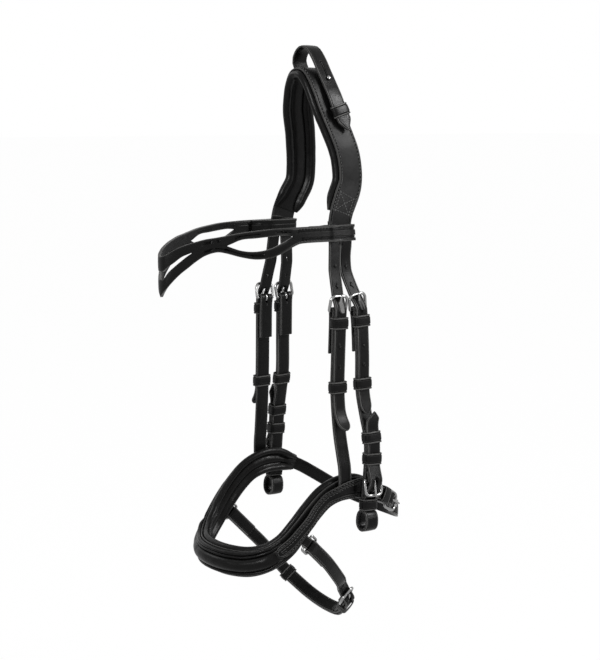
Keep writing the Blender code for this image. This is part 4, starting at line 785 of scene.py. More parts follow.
@dataclass
class Ribbon:
    """A strap as rows of places, ready to be given a section or to carry stitches."""

    rows: list[RowFrame]

    @classmethod
    def along(cls, stack: Stack, profile: Profile, half: float,
              tips: tuple[Tip, Tip] = (Tip.SQUARE, Tip.SQUARE),
              tip_length: float = MAKING.tip_length,
              width_at: Optional[Callable[[float], float]] = None) -> "Ribbon":
        """Lay a strap along its profile.

        Args:
            stack: the layers that the profile is measured in.
            profile: the strap's line.
            half: half its width.
            tips: shapes of its first and last ends.
            tip_length: length of a shaped end.
            width_at: share of the half width at a run, where it changes.

        Returns:
            The ribbon.
        """
        def share_at(run: float) -> float:
            share = width_at(run) if width_at else 1.0
            for tip, distance in zip(tips, (run, profile.total - run)):
                if tip is not Tip.SQUARE and distance < tip_length:
                    shape = round_width if tip is Tip.ROUND else point_width
                    share *= shape(1 - distance / tip_length)
            return share

        def row_at(run: float) -> tuple[Vector, Vector, float, float]:
            u, n = profile_place(profile, run)
            wide = half * share_at(run)
            centre = stack.place(u, 0, n)
            across = (stack.place(u, half, n) - stack.place(u, -half, n)).normalized()
            return centre, across, wide, run

        places = [row_at(run) for run in ribbon_runs(profile, tips, tip_length)]
        return cls.through(places, stack.direction)

    @classmethod
    def through(cls, places: Sequence[tuple[Vector, Vector, float, float]],
                facing: int = 1, closed: bool = False) -> "Ribbon":
        """Lay a strap through given rows.

        Args:
            places: middle, direction across, half width and run of each row.
            facing: 1 when the grain side is at along times across, else -1.
            closed: whether the last row meets the first.

        Returns:
            The ribbon.
        """
        last = len(places) - 1
        rows = []
        for i, (centre, across, half, run) in enumerate(places):
            before, after = places[max(i - 1, 0)][0], places[min(i + 1, last)][0]
            if closed:
                before, after = places[i - 1][0], places[(i + 1) % (last + 1)][0]
            along = (after - before).normalized()
            normal = along.cross(across).normalized() * facing
            rows.append(RowFrame(centre, across, normal, along, half, run))
        return cls(rows)

    def at(self, run: float) -> RowFrame:
        """Read the strap between its rows.

        Args:
            run: the distance from its start.

        Returns:
            The row there.
        """
        for a, b in zip(self.rows, self.rows[1:]):
            if run <= b.run or b is self.rows[-1]:
                share = min(max((run - a.run) / max(b.run - a.run, 1e-9), 0), 1)
                return RowFrame(
                    a.centre.lerp(b.centre, share), a.across.lerp(b.across, share).normalized(),
                    a.normal.lerp(b.normal, share).normalized(),
                    a.along.lerp(b.along, share).normalized(),
                    a.half + (b.half - a.half) * share, run)
        return self.rows[-1]

    @property
    def total(self) -> float:
        """The strap's whole run."""
        return self.rows[-1].run


def profile_place(profile: Profile, run: float) -> Pair:
    """Read a profile at a run.

    Args:
        profile: the strap's line.
        run: the distance from its start.

    Returns:
        The place along and outward.
    """
    low, high = 0, len(profile.runs) - 2
    while low < high:
        mid = (low + high + 1) // 2
        if profile.runs[mid] <= run:
            low = mid
        else:
            high = mid - 1
    a, b = profile.points[low], profile.points[low + 1]
    share = (run - profile.runs[low]) / (profile.runs[low + 1] - profile.runs[low])
    place = a.lerp(b, share)
    return place.x, place.y


def ribbon_runs(profile: Profile, tips: tuple[Tip, Tip], tip_length: float) -> list[float]:
    """Choose the rows of a strap: close together at bends and ends, wide apart elsewhere.

    Args:
        profile: the strap's line.
        tips: shapes of its first and last ends.
        tip_length: length of a shaped end.

    Returns:
        The rows' runs.
    """
    runs = [0.0]
    heading = profile.points[1] - profile.points[0]
    for i in range(1, len(profile.runs) - 1):
        span = profile.points[i + 1] - profile.points[i]
        reach = profile.runs[i] - runs[-1]
        if reach >= MAKING.row_reach or (heading.angle(span) >= MAKING.row_turn
                                         and reach > 0.5 * MM):
            runs.append(profile.runs[i])
            heading = span
    runs.append(profile.total)
    shares = [math.sin(math.radians(turn)) for turn in range(0, 91, 9)]
    for k, tip in enumerate(tips):
        if tip is not Tip.SQUARE:
            fine = [tip_length * (1 - share) for share in shares]
            if k:
                runs = [run for run in runs if run < profile.total - tip_length - 0.3 * MM]
                runs += [profile.total - distance for distance in fine]
            else:
                runs = [run for run in runs if run > tip_length + 0.3 * MM]
                runs = sorted(fine) + runs
    return runs


def mesh_object(name: str, build: bmesh.types.BMesh, smooth_below: Optional[float] = 38
                ) -> bpy.types.Object:
    """Turn a worked mesh into an object in the scene.

    Args:
        name: the object's name.
        build: the worked mesh, freed here.
        smooth_below: angle in degrees under which edges shade smooth, None for all.

    Returns:
        The object.
    """
    bmesh.ops.recalc_face_normals(build, faces=build.faces)
    limit = math.radians(smooth_below) if smooth_below else math.tau
    for face in build.faces:
        face.smooth = True
    for edge in build.edges:
        if len(edge.link_faces) == 2 and edge.calc_face_angle(0) > limit:
            edge.smooth = False
    mesh = bpy.data.meshes.new(name)
    build.to_mesh(mesh)
    build.free()
    obj = bpy.data.objects.new(name, mesh)
    bpy.context.scene.collection.objects.link(obj)
    return obj


def mark_layers(build: bmesh.types.BMesh) -> tuple:
    """Add the layers that hold where edge wear and painted highlights go, and where crease lines
    lie.

    Args:
        build: the worked mesh.

    Returns:
        The edge-wear-and-highlight layer and the crease layer.
    """
    return (build.verts.layers.float.new("wear_and_highlight_share"),
            build.verts.layers.float.new("crease_share"))


def sweep(build: bmesh.types.BMesh, ribbon: Ribbon, thickness: float,
          sizes: SectionSizes = STRAP_SECTION, creased: Creased = Creased.GRAIN,
          side: Side = Side.NEAR, closed: bool = False) -> None:
    """Give a ribbon its leather.

    Args:
        build: the worked mesh, with both mark layers.
        ribbon: the strap.
        thickness: thickness of the leather.
        sizes: how the edges are finished.
        creased: which faces carry crease lines.
        side: the side of the horse that it lies on.
        closed: whether its last row meets its first.
    """
    wear_and_highlight_layer = build.verts.layers.float["wear_and_highlight_share"]
    crease_layer = build.verts.layers.float["crease_share"]
    rings = []

    def ring(row: RowFrame, half: float, tall: float, shift: float) -> None:
        verts = []
        for x, y, edge, crease in strap_section(half, tall, sizes, creased):
            place = row.place(x, y) + row.along * shift
            vert = build.verts.new(reflect(place, side))
            vert[wear_and_highlight_layer] = edge
            vert[crease_layer] = crease
            verts.append(vert)
        rings.append(verts)

    ease = sizes.ease
    first, last = ribbon.rows[0], ribbon.rows[-1]
    if not closed:
        ring(first, max(first.half - ease, first.half * 0.5), thickness - 1.6 * ease, 0)
        first = ribbon.rows[0]
    for row in ribbon.rows:
        shift = 0.0
        if not closed and row is first:
            shift = ease * 0.7
        if not closed and row is last:
            shift = -ease * 0.7
        ring(row, row.half, thickness, shift)
    if not closed:
        ring(last, max(last.half - ease, last.half * 0.5), thickness - 1.6 * ease, 0)
    count = len(rings[0])
    spans = list(zip(rings, rings[1:]))
    if closed:
        spans.append((rings[-1], rings[0]))
    for a, b in spans:
        for j in range(count):
            k = (j + 1) % count
            build.faces.new((a[j], a[k], b[k], b[j]))
    if not closed:
        for verts in (rings[0], rings[-1]):
            cap = build.faces.new(verts)
            for vert in verts:
                vert[wear_and_highlight_layer] = 1.0
            del cap


def strap_object(name: str, ribbon: Ribbon, thickness: float = MAKING.strap,
                 sizes: SectionSizes = STRAP_SECTION, creased: Creased = Creased.GRAIN,
                 side: Side = Side.NEAR, closed: bool = False) -> bpy.types.Object:
    """Make a strap of one ribbon.

    Args:
        name: the object's name.
        ribbon: the strap.
        thickness: thickness of the leather.
        sizes: how the edges are finished.
        creased: which faces carry crease lines.
        side: the side of the horse that it lies on.
        closed: whether its last row meets its first.

    Returns:
        The strap.
    """
    build = bmesh.new()
    mark_layers(build)
    sweep(build, ribbon, thickness, sizes, creased, side, closed)
    return mesh_object(name, build)


def settled(obj: bpy.types.Object) -> bpy.types.Object:
    """Keep an object's final mesh and drop what made it.

    Args:
        obj: the object.

    Returns:
        The same object, or a mesh object in its place when it was a curve.
    """
    bpy.context.view_layer.update()
    graph = bpy.context.evaluated_depsgraph_get()
    mesh = bpy.data.meshes.new_from_object(obj.evaluated_get(graph), depsgraph=graph)
    name = obj.name
    if obj.type == "MESH":
        obj.modifiers.clear()
        obj.data = mesh
        return obj
    bpy.data.objects.remove(obj, do_unlink=True)
    mesh.name = name
    made = bpy.data.objects.new(name, mesh)
    bpy.context.scene.collection.objects.link(made)
    return made


def punch(obj: bpy.types.Object, cuts: Iterable[Punch], sides: Sequence[Side],
          corners: int = 20) -> bpy.types.Object:
    """Punch holes and slots through a strap.

    Args:
        obj: the strap.
        cuts: the punches, as on the near side.
        sides: the sides that are punched.
        corners: how many corners a punch has.

    Returns:
        The punched strap.
    """
    build = bmesh.new()
    for cut in cuts:
        for side in sides:
            along, across = reflect(cut.along, side), reflect(cut.across, side)
            deep = along.cross(across).normalized()
            middle = reflect(cut.centre, side)
            rings = []
            for level in (-cut.depth / 2, cut.depth / 2):
                ring = []
                for k in range(corners):
                    turn = math.tau * (k + 0.5) / corners
                    straight = math.copysign(cut.half_length - cut.half_width, math.cos(turn))
                    x = math.cos(turn) * cut.half_width + straight
                    y = math.sin(turn) * cut.half_width
                    ring.append(build.verts.new(middle + along * x + across * y + deep * level))
                rings.append(ring)
            low, top = rings
            build.faces.new(list(reversed(low)))
            build.faces.new(top)
            for i, vert in enumerate(low):
                j = (i + 1) % corners
                build.faces.new((vert, low[j], top[j], top[i]))
    cutter = mesh_object(obj.name + "_punches", build)
    cutting = obj.modifiers.new("Punched", "BOOLEAN")
    cutting.object = cutter
    cutting.operation = "DIFFERENCE"
    cutting.solver = "EXACT"
    made = settled(obj)
    bpy.data.objects.remove(cutter, do_unlink=True)
    return made


def keeper_outline(half: float, low: float, high: float, radius: float, per_corner: int = 4
                   ) -> list[Pair]:
    """Outline of a band round the layers, as across and outward.

    Args:
        half: half width inside the band's middle line.
        low: the lowest place of that line.
        high: the highest.
        radius: its corner radius.
        per_corner: how many steps a corner has.

    Returns:
        The closed outline's places.
    """
    places = []
    corners = ((half - radius, high - radius), (radius - half, high - radius),
               (radius - half, low + radius), (half - radius, low + radius))
    for quarter, (x, y) in enumerate(corners):
        for k in range(per_corner + 1):
            turn = (quarter + k / per_corner) * math.pi / 2
            places.append((x + radius * math.cos(turn), y + radius * math.sin(turn)))
    return places


@dataclass
class Keeper:
    """A leather band that holds straps together.

    Attributes:
        stack: the layers that it holds.
        u: its middle along the stack.
        low: the lowest place of what it holds.
        high: the highest.
        half: half the width of what it holds.
        height: its size along the strap.
        gap: clearance inside.
        side: the side of the horse.
    """

    stack: Stack
    u: float
    low: float
    high: float
    half: float = MAKING.strap_width / 2
    height: float = MAKING.keeper_height
    gap: float = MAKING.fit_gap
    side: Side = Side.NEAR
    corner: float = 1.9 * MM
    butt_gap: float = 2 * MM
    dome: float = 0.5 * MM

    def _ribbon(self, outline: Sequence[Pair], closed: bool) -> Ribbon:
        """Lay the band along its outline.

        Args:
            outline: places across and outward.
            closed: whether the outline is a loop.

        Returns:
            The ribbon.
        """
        places = []
        run = 0.0
        before = None
        for v, n in outline:
            centre = self.stack.place(self.u, v, n)
            ends = [self.stack.place(self.u + reach * self.height / 2, v, n)
                    for reach in (-1, 1)]
            across = (ends[1] - ends[0]).normalized()
            middle = (ends[0] + ends[1]) / 2
            run += (centre - before).length if before else 0
            places.append((middle.lerp(centre, 0.5), across, self.height / 2, run))
            before = centre
        return Ribbon.through(places, self.stack.direction, closed)

    def band(self, name: str) -> bpy.types.Object:
        """Make a band that goes all the way round."""
        clear = self.gap + MAKING.keeper / 2
        outline = keeper_outline(self.half + clear, self.low - clear, self.high + clear,
                                 self.corner)
        domed = []
        for v, n in fill_line(outline + outline[:1], 1.6 * MM)[:-1]:
            rise = self.dome * max(0, 1 - (v / self.half) ** 2) if n > self.high else 0
            domed.append((v, n + rise))
        return strap_object(name, self._ribbon(domed, True), MAKING.keeper, KEEPER_SECTION,
                            Creased.GRAIN, self.side, True)

    def tucked(self, name: str) -> bpy.types.Object:
        """Make a band whose ends are tucked between the folded strap's layers."""
        clear = MAKING.fit_gap + MAKING.keeper / 2
        outline = keeper_outline(self.half + clear, 0, self.high + clear, self.corner)
        split = [place for place in outline if place[0] > 0 and place[1] < self.corner * 1.01]
        upper = [place for place in outline if place[0] > 0 and place not in split]
        near_half = [(self.butt_gap / 2, 0.0)] + split + upper
        places = near_half + [(-v, n) for v, n in reversed(near_half)]
        domed = []
        for v, n in fill_line(places, 1.6 * MM):
            rise = self.dome * max(0, 1 - (v / self.half) ** 2) if n > self.high else 0
            domed.append((v, n + rise))
        return strap_object(name, self._ribbon(domed, False), MAKING.keeper, KEEPER_SECTION,
                            Creased.GRAIN, self.side)


def fill_line(places: Sequence[Pair], step: float) -> list[Pair]:
    """Add places along the long spans of a line.

    Args:
        places: its corners.
        step: the longest span that stays whole.

    Returns:
        The filled line.
    """
    line = [tuple(places[0])]
    for a, b in zip(places, places[1:]):
        count = max(1, math.ceil(math.dist(a, b) / step))
        line += [(a[0] + (b[0] - a[0]) * k / count, a[1] + (b[1] - a[1]) * k / count)
                 for k in range(1, count + 1)]
    return line


class Sewing:
    """Rows of thread laid on leather, gathered in one piece."""

    length: float = 2.1 * MM
    radius: float = 0.36 * MM
    sink: float = 0.16 * MM
    slant: float = math.radians(9)

    def __init__(self) -> None:
        """Start with no thread."""
        self.build = bmesh.new()
        self.count = 0

    def stitch(self, centre: Vector, along: Vector, out: Vector, side: Side) -> None:
        """Lay one stitch.

        Args:
            centre: its middle, on the leather.
            along: the seam's direction.
            out: the way out of the leather.
            side: the side of the horse.
        """
        wide = along.cross(out).normalized()
        lean = (along * math.cos(self.slant) + wide * math.sin(self.slant)).normalized()
        wide = lean.cross(out).normalized()
        rings = []
        for reach, radius, lift in ((-0.5, 0.5, -1.2), (-0.36, 0.9, 0.1), (0.0, 1.0, 0.45),
                                    (0.36, 0.9, 0.1), (0.5, 0.5, -1.2)):
            middle = centre + lean * (self.length * reach) + out * (self.sink * lift)
            ring = []
            for k in range(6):
                turn = math.tau * k / 6
                offset = wide * math.cos(turn) + out * math.sin(turn)
                ring.append(self.build.verts.new(
                    reflect(middle + offset * self.radius * radius, side)))
            rings.append(ring)
        for a, b in zip(rings, rings[1:]):
            for j in range(6):
                k = (j + 1) % 6
                self.build.faces.new((a[j], a[k], b[k], b[j]))
        self.build.faces.new(rings[0])
        self.build.faces.new(rings[-1])
        self.count += 1

    def row(self, ribbon: Ribbon, thickness: float, inset: float, start: float, end: float,
            side: Side, hands: Sequence[int] = (1, -1), sizes: SectionSizes = STRAP_SECTION
            ) -> None:
        """Sew along a strap, at a distance from its edges.

        Args:
            ribbon: the strap.
            thickness: thickness of its leather.
            inset: distance from the edge.
            start: run of the first stitch.
            end: run of the last stitch.
            side: the side of the horse.
            hands: which edges are sewn.
            sizes: how the strap's face is shaped.
        """
        count = max(1, round((end - start) / MAKING.stitch_pitch))
        for hand in hands:
            for k in range(count + 1):
                row = ribbon.at(start + (end - start) * k / count)
                if row.half > inset * 1.15:
                    centre = row.on_face(hand * (row.half - inset), thickness, sizes)
                    self.stitch(centre, row.along, row.normal, side)

    def slanted(self, ribbon: Ribbon, thickness: float, runs: Pair, shares: Pair, side: Side,
                sizes: SectionSizes = STRAP_SECTION) -> None:
        """Sew straight or slanted across a strap.

        Args:
            ribbon: the strap.
            thickness: thickness of its leather.
            runs: where the row begins and ends.
            shares: how far across it begins and ends, as shares of the half width.
            side: the side of the horse.
            sizes: how the strap's face is shaped.
        """
        places = []
        for k in range(17):
            row = ribbon.at(runs[0] + (runs[1] - runs[0]) * k / 16)
            across = (shares[0] + (shares[1] - shares[0]) * k / 16) * row.half
            places.append((row.on_face(across, thickness, sizes), row.normal))
        self.line(places, side)

    def line(self, places: Sequence[tuple[Vector, Vector]], side: Side) -> None:
        """Sew along a line of places.

        Args:
            places: each place on the leather and the way out of it there.
            side: the side of the horse.
        """
        runs = [0.0]
        for a, b in zip(places, places[1:]):
            runs.append(runs[-1] + (b[0] - a[0]).length)
        count = max(1, round(runs[-1] / MAKING.stitch_pitch))
        index = 0
        for k in range(count + 1):
            run = runs[-1] * k / count
            while index < len(runs) - 2 and runs[index + 1] < run:
                index += 1
            share = (run - runs[index]) / max(runs[index + 1] - runs[index], 1e-9)
            a, b = places[index], places[index + 1]
            self.stitch(a[0].lerp(b[0], share), (b[0] - a[0]).normalized(),
                        a[1].lerp(b[1], share).normalized(), side)

    def made(self, name: str) -> bpy.types.Object:
        """Make the gathered thread into one piece."""
        return mesh_object(name, self.build, None)


def wire_object(name: str, points: Sequence[Vector], radius: float, closed: bool = False,
                side: Side = Side.NEAR, radii: Optional[Sequence[float]] = None
                ) -> bpy.types.Object:
    """Bend a round wire.

    Args:
        name: the object's name.
        points: the wire's middle line on the near side.
        radius: its radius.
        closed: whether its ends meet.
        side: the side of the horse.
        radii: its radius at each point, where it changes.

    Returns:
        The wire.
    """
    curve = bpy.data.curves.new(name, "CURVE")
    curve.dimensions = "3D"
    curve.bevel_depth = radius
    curve.bevel_resolution = 5
    curve.use_fill_caps = True
    spline = curve.splines.new("POLY")
    spline.points.add(len(points) - 1)
    for i, point in enumerate(points):
        spline.points[i].co = (*reflect(point, side), 1)
        spline.points[i].radius = radii[i] / radius if radii else 1
    spline.use_cyclic_u = closed
    spline.use_smooth = True
    obj = bpy.data.objects.new(name, curve)
    bpy.context.scene.collection.objects.link(obj)
    made = settled(obj)
    made.data.shade_smooth()
    return made


def turned_object(name: str, outline: Sequence[Pair], centre: Vector, axis: Vector,
                  closed: bool, steps: int = 40) -> bpy.types.Object:
    """Turn a round piece on an axis.

    Args:
        name: the object's name.
        outline: places as radius and height.
        centre: the zero of the height.
        axis: the axis.
        closed: whether the outline is a loop.
        steps: how many sides it gets.

    Returns:
        The turned piece.
    """
    axis = axis.normalized()
    first = axis.orthogonal().normalized()
    second = axis.cross(first)
    build = bmesh.new()
    rings = []
    for k in range(steps):
        turn = math.tau * k / steps
        out = first * math.cos(turn) + second * math.sin(turn)
        rings.append([build.verts.new(centre + out * radius + axis * height)
                      for radius, height in outline])
    spans = len(outline) if closed else len(outline) - 1
    for k in range(steps):
        a, b = rings[k], rings[(k + 1) % steps]
        for j in range(spans):
            i = (j + 1) % len(outline)
            build.faces.new((a[j], a[i], b[i], b[j]))
    bmesh.ops.remove_doubles(build, verts=build.verts, dist=0.001 * MM)
    bmesh.ops.dissolve_degenerate(build, edges=build.edges, dist=0.0005 * MM)
    return mesh_object(name, build)


def loft_object(name: str, sections: Sequence[Sequence[Vector]], mirrored: bool = False
                ) -> bpy.types.Object:
    """Make a soft solid through closed sections.

    Args:
        name: the object's name.
        sections: the sections, each with as many points.
        mirrored: whether the far half is a mirror image of the near one.

    Returns:
        The solid.
    """
    build = bmesh.new()
    rings = [[build.verts.new(point) for point in section] for section in sections]
    if mirrored:
        far = [[build.verts.new(reflect(point, Side.FAR)) for point in section]
               for section in reversed(sections[1:])]
        rings = far + rings
    count = len(rings[0])
    for a, b in zip(rings, rings[1:]):
        for j in range(count):
            k = (j + 1) % count
            build.faces.new((a[j], a[k], b[k], b[j]))
    for ring in (rings[0], rings[-1]):
        build.faces.new(ring)
    return mesh_object(name, build, 60)


def frame_wire(buckle: Buckle, name: str, side: Side) -> bpy.types.Object:
    """Bend the closed wire frame of a buckle.

    Args:
        buckle: the buckle.
        name: the piece's name.
        side: the side of the horse.

    Returns:
        The frame.
    """
    half = buckle.half + buckle.side_gap + buckle.wire
    outline = arc_points(buckle.pitch - buckle.corner, half - buckle.corner, buckle.corner, 0)
    outline += arc_points(buckle.hinge_corner, half - buckle.hinge_corner, buckle.hinge_corner, 1)
    outline += [(x, -y) for x, y in reversed(outline)]
    points = []
    for x, y in outline:
        u, n = buckle.toward * x
        points.append(buckle.stack.place(u, y, n))
    return wire_object(name, points, buckle.wire, True, side)


def arc_points(x: float, y: float, radius: float, quarter: int, steps: int = 7) -> list[Pair]:
    """Points round a corner.

    Args:
        x: the corner's centre.
        y: its other coordinate.
        radius: its radius.
        quarter: which quarter turn it is.
        steps: how many steps it has.

    Returns:
        The points.
    """
    return [(x + radius * math.cos((quarter + k / steps) * math.pi / 2),
             y + radius * math.sin((quarter + k / steps) * math.pi / 2))
            for k in range(steps + 1)]


def tongue_wire(buckle: Buckle, name: str, side: Side) -> bpy.types.Object:
    """Bend the tongue of a buckle, its eye round the hinge bar.

    Args:
        buckle: the buckle.
        name: the piece's name.
        side: the side of the horse.

    Returns:
        The tongue.
    """
    steps = 20
    places = []
    for k in range(steps + 1):
        turn = buckle.eye_turn * (1 - k / steps)
        places.append(buckle.face * math.cos(turn) * buckle.lift
                      - buckle.toward * math.sin(turn) * buckle.lift)
    start = buckle.face * buckle.lift
    run = buckle.tongue_run()
    shares = (0.1, 0.3, 0.5, 0.7, 0.85, 0.93, 0.98, 1.0)
    places += [start + run * share for share in shares]
    full, tip = buckle.tongue, buckle.tongue_tip
    radii = [full] * (steps + 1) + [full, full, full, full * 0.97, full * 0.92,
                                    full * 0.84, full * 0.66, tip * 0.5]
    points = [buckle.stack.place(u, 0, n) for u, n in places]
    return wire_object(name, points, full, False, side, radii)


class NodeBench:
    """Lays out and joins nodes in one tree."""

    def __init__(self, tree: bpy.types.NodeTree) -> None:
        """Take a tree to work on."""
        self.tree = tree
        self.column = 0

    def add(self, kind: str, values: Optional[dict] = None, **settings: object
            ) -> bpy.types.Node:
        """Add a node.

        Args:
            kind: the node's type.
            values: what its sockets are set to, or joined to when it is a socket.
            settings: its own options.

        Returns:
            The node.
        """
        node = self.tree.nodes.new(kind)
        node.location = (self.column * 180, 0)
        self.column += 1
        for name, value in settings.items():
            setattr(node, name, value)
        for key, value in (values or {}).items():
            if isinstance(value, bpy.types.NodeSocket):
                self.tree.links.new(value, node.inputs[key])
            else:
                node.inputs[key].default_value = value
        return node

    def calc(self, operation: str, a: object, b: object = 0.0, clamp: bool = False
             ) -> bpy.types.NodeSocket:
        """Add a sum of two values.

        Args:
            operation: the kind of sum.
            a: the first value or socket.
            b: the second.
            clamp: whether the result stays between 0 and 1.

        Returns:
            The result's socket.
        """
        node = self.add("ShaderNodeMath", {0: a, 1: b}, operation=operation, use_clamp=clamp)
        return node.outputs[0]

    def blend(self, share: object, a: object, b: object) -> bpy.types.NodeSocket:
        """Mix two colours.

        Args:
            share: how much of the second is wanted.
            a: the first colour or socket.
            b: the second.

        Returns:
            The mixed colour's socket.
        """
        node = self.add("ShaderNodeMix", data_type="RGBA")
        for index, value in ((0, share), (6, a), (7, b)):
            if isinstance(value, bpy.types.NodeSocket):
                self.tree.links.new(value, node.inputs[index])
            else:
                node.inputs[index].default_value = value
        return node.outputs[2]


def new_group(name: str, inputs: dict[str, float], outputs: Sequence[str]
              ) -> tuple[bpy.types.NodeTree, NodeBench, bpy.types.Node, bpy.types.Node]:
    """Start a shader node group.

    Args:
        name: the group's name.
        inputs: its value inputs and what they are unless set.
        outputs: its value outputs.

    Returns:
        The group, its bench, its input node and its output node.
    """
    group = bpy.data.node_groups.new(name, "ShaderNodeTree")
    for title, value in inputs.items():
        socket = group.interface.new_socket(title, in_out="INPUT", socket_type="NodeSocketFloat")
        socket.default_value = value
    for title in outputs:
        group.interface.new_socket(title, in_out="OUTPUT", socket_type="NodeSocketFloat")
    bench = NodeBench(group)
    return group, bench, bench.add("NodeGroupInput"), bench.add("NodeGroupOutput")


def hide_grain() -> bpy.types.NodeTree:
    """Build the group that gives the small pebbles of a hide and its slow change of tone."""
    group, bench, given, result = new_group(
        "hide_grain", {"Pebble Scale": 1500.0, "Mottle Scale": 45.0}, ("Height", "Mottle", "Waves"))
    place = bench.add("ShaderNodeTexCoord").outputs["Object"]
    pebbles = bench.add("ShaderNodeTexVoronoi", {"Vector": place,
                                                 "Scale": given.outputs["Pebble Scale"],
                                                 "Randomness": 1.0}, feature="SMOOTH_F1")
    pores = bench.add("ShaderNodeTexNoise", {"Vector": place, "Scale": 2600.0, "Detail": 2.0})
    domes = bench.calc("SUBTRACT", 1.0, pebbles.outputs["Distance"])
    height = bench.calc("ADD", domes, bench.calc("MULTIPLY", pores.outputs["Fac"], 0.35))
    mottle = bench.add("ShaderNodeTexNoise", {"Vector": place,
                                              "Scale": given.outputs["Mottle Scale"],
                                              "Detail": 4.0, "Roughness": 0.6})
    group.links.new(height, result.inputs["Height"])
    waves = bench.add("ShaderNodeTexNoise", {"Vector": place, "Scale": 75.0, "Detail": 2.0,
                                             "Roughness": 0.45})
    group.links.new(mottle.outputs["Fac"], result.inputs["Mottle"])
    group.links.new(waves.outputs["Fac"], result.inputs["Waves"])
    return group


def handled_edges() -> bpy.types.NodeTree:
    """Build the group that masks rubbed edges with painted highlights on the ridges beside crease
    lines, and painted shade in the crease lines.
    """
    group, bench, given, result = new_group(
        "handled_edges", {"Mottle": 0.5, "Wear And Highlight Strength": 1.0}, ("Wear And Highlight", "Creased"))
    edge = bench.add("ShaderNodeAttribute", attribute_name="wear_and_highlight_share").outputs["Fac"]
    crease = bench.add("ShaderNodeAttribute", attribute_name="crease_share").outputs["Fac"]
    # Rubbed edges plus painted highlight lines on the ridges beside creases.
    sharp = bench.calc("POWER", edge, 1.6)
    uneven = bench.calc("MULTIPLY", sharp, bench.calc("ADD", given.outputs["Mottle"], 0.35))
    rubbed = bench.calc("MULTIPLY", uneven, given.outputs["Wear And Highlight Strength"], clamp=True)
    group.links.new(rubbed, result.inputs["Wear And Highlight"])
    # Creased: mask for painted shade in the crease lines.
    group.links.new(bench.calc("POWER", crease, 1.5, clamp=True), result.inputs["Creased"])
    return group


class Slot(Enum):
    """The model's material slots."""

    STRAP = "black_leather"
    PADDED = "padded_leather"
    STEEL = "polished_steel"


@dataclass(frozen=True)
class LeatherFinish:
    """Dyed and waxed leather.

    Attributes:
        name: the finish's name.
        dye: its colour.
        rubbed: colour of its rubbed edges and of the painted highlights on the ridges beside its
            crease lines.
        creased: painted shade colour in its crease lines.
        roughness: how dull it is.
        spread: how far the dullness varies.
        pebble: how many pebbles of grain a metre has.
        relief: height of the grain in metres.
        unevenness: height of the slow waves in the hide in metres.
        rub: how strongly rubbed edges and painted ridge highlights show.
        wax: weight of the clear coat.
        shine: how strongly the surface reflects.
        slot: the model's slot; not used.
    """

    name: str
    dye: Row = (0.0026, 0.00255, 0.00255)
    rubbed: Row = (0.1, 0.099, 0.097)
    creased: Row = (0.001, 0.001, 0.001)
    roughness: float = 0.28
    spread: float = 0.13
    pebble: float = 1500.0
    relief: float = 0.00012
    unevenness: float = 0.0005
    rub: float = 0.8
    wax: float = 0.0
    shine: float = 0.09
    slot: Slot = Slot.STRAP

    def material(self, groups: dict[str, bpy.types.NodeTree]) -> bpy.types.Material:
        """Mix the finish.

        Args:
            groups: the shared node groups by name.

        Returns:
            The material.
        """
        made = bpy.data.materials.new(self.name)
        made.use_nodes = True
        made.diffuse_color = (*self.dye, 1)
        bench = NodeBench(made.node_tree)
        shader = made.node_tree.nodes["Principled BSDF"]
        links = made.node_tree.links
        grain = bench.add("ShaderNodeGroup", node_tree=groups["hide_grain"])
        grain.inputs["Pebble Scale"].default_value = self.pebble
        edges = bench.add("ShaderNodeGroup", node_tree=groups["handled_edges"])
        edges.inputs["Wear And Highlight Strength"].default_value = self.rub
        links.new(grain.outputs["Mottle"], edges.inputs["Mottle"])
        light = tuple(value * 1.22 for value in self.dye)
        deep = tuple(value * 0.78 for value in self.dye)
        body = bench.blend(grain.outputs["Mottle"], (*deep, 1), (*light, 1))
        # Rubbed edges, and painted highlight lines on the ridges beside creases.
        worn_and_highlit = bench.blend(edges.outputs["Wear And Highlight"], body, (*self.rubbed, 1))
        # Painted shade darkens the crease lines.
        colour = bench.blend(edges.outputs["Creased"], worn_and_highlit, (*self.creased, 1))
        links.new(colour, shader.inputs["Base Color"])
        swing = bench.calc("MULTIPLY", bench.calc("SUBTRACT", grain.outputs["Mottle"], 0.5),
                           2 * self.spread)
        dull = bench.calc("ADD", swing, self.roughness)
        pressed = bench.calc("MULTIPLY", edges.outputs["Creased"], 0.5)
        links.new(bench.calc("ADD", dull, pressed, clamp=True), shader.inputs["Roughness"])
        waves = bench.add("ShaderNodeBump", {"Height": grain.outputs["Waves"], "Strength": 1.0,
                                             "Distance": self.unevenness})
        bump = bench.add("ShaderNodeBump", {"Height": grain.outputs["Height"], "Strength": 0.5,
                                            "Distance": self.relief,
                                            "Normal": waves.outputs["Normal"]})
        links.new(bump.outputs["Normal"], shader.inputs["Normal"])
        shader.inputs["Specular IOR Level"].default_value = self.shine
        shader.inputs["Coat Weight"].default_value = self.wax
        shader.inputs["Coat Roughness"].default_value = 0.3
        return made


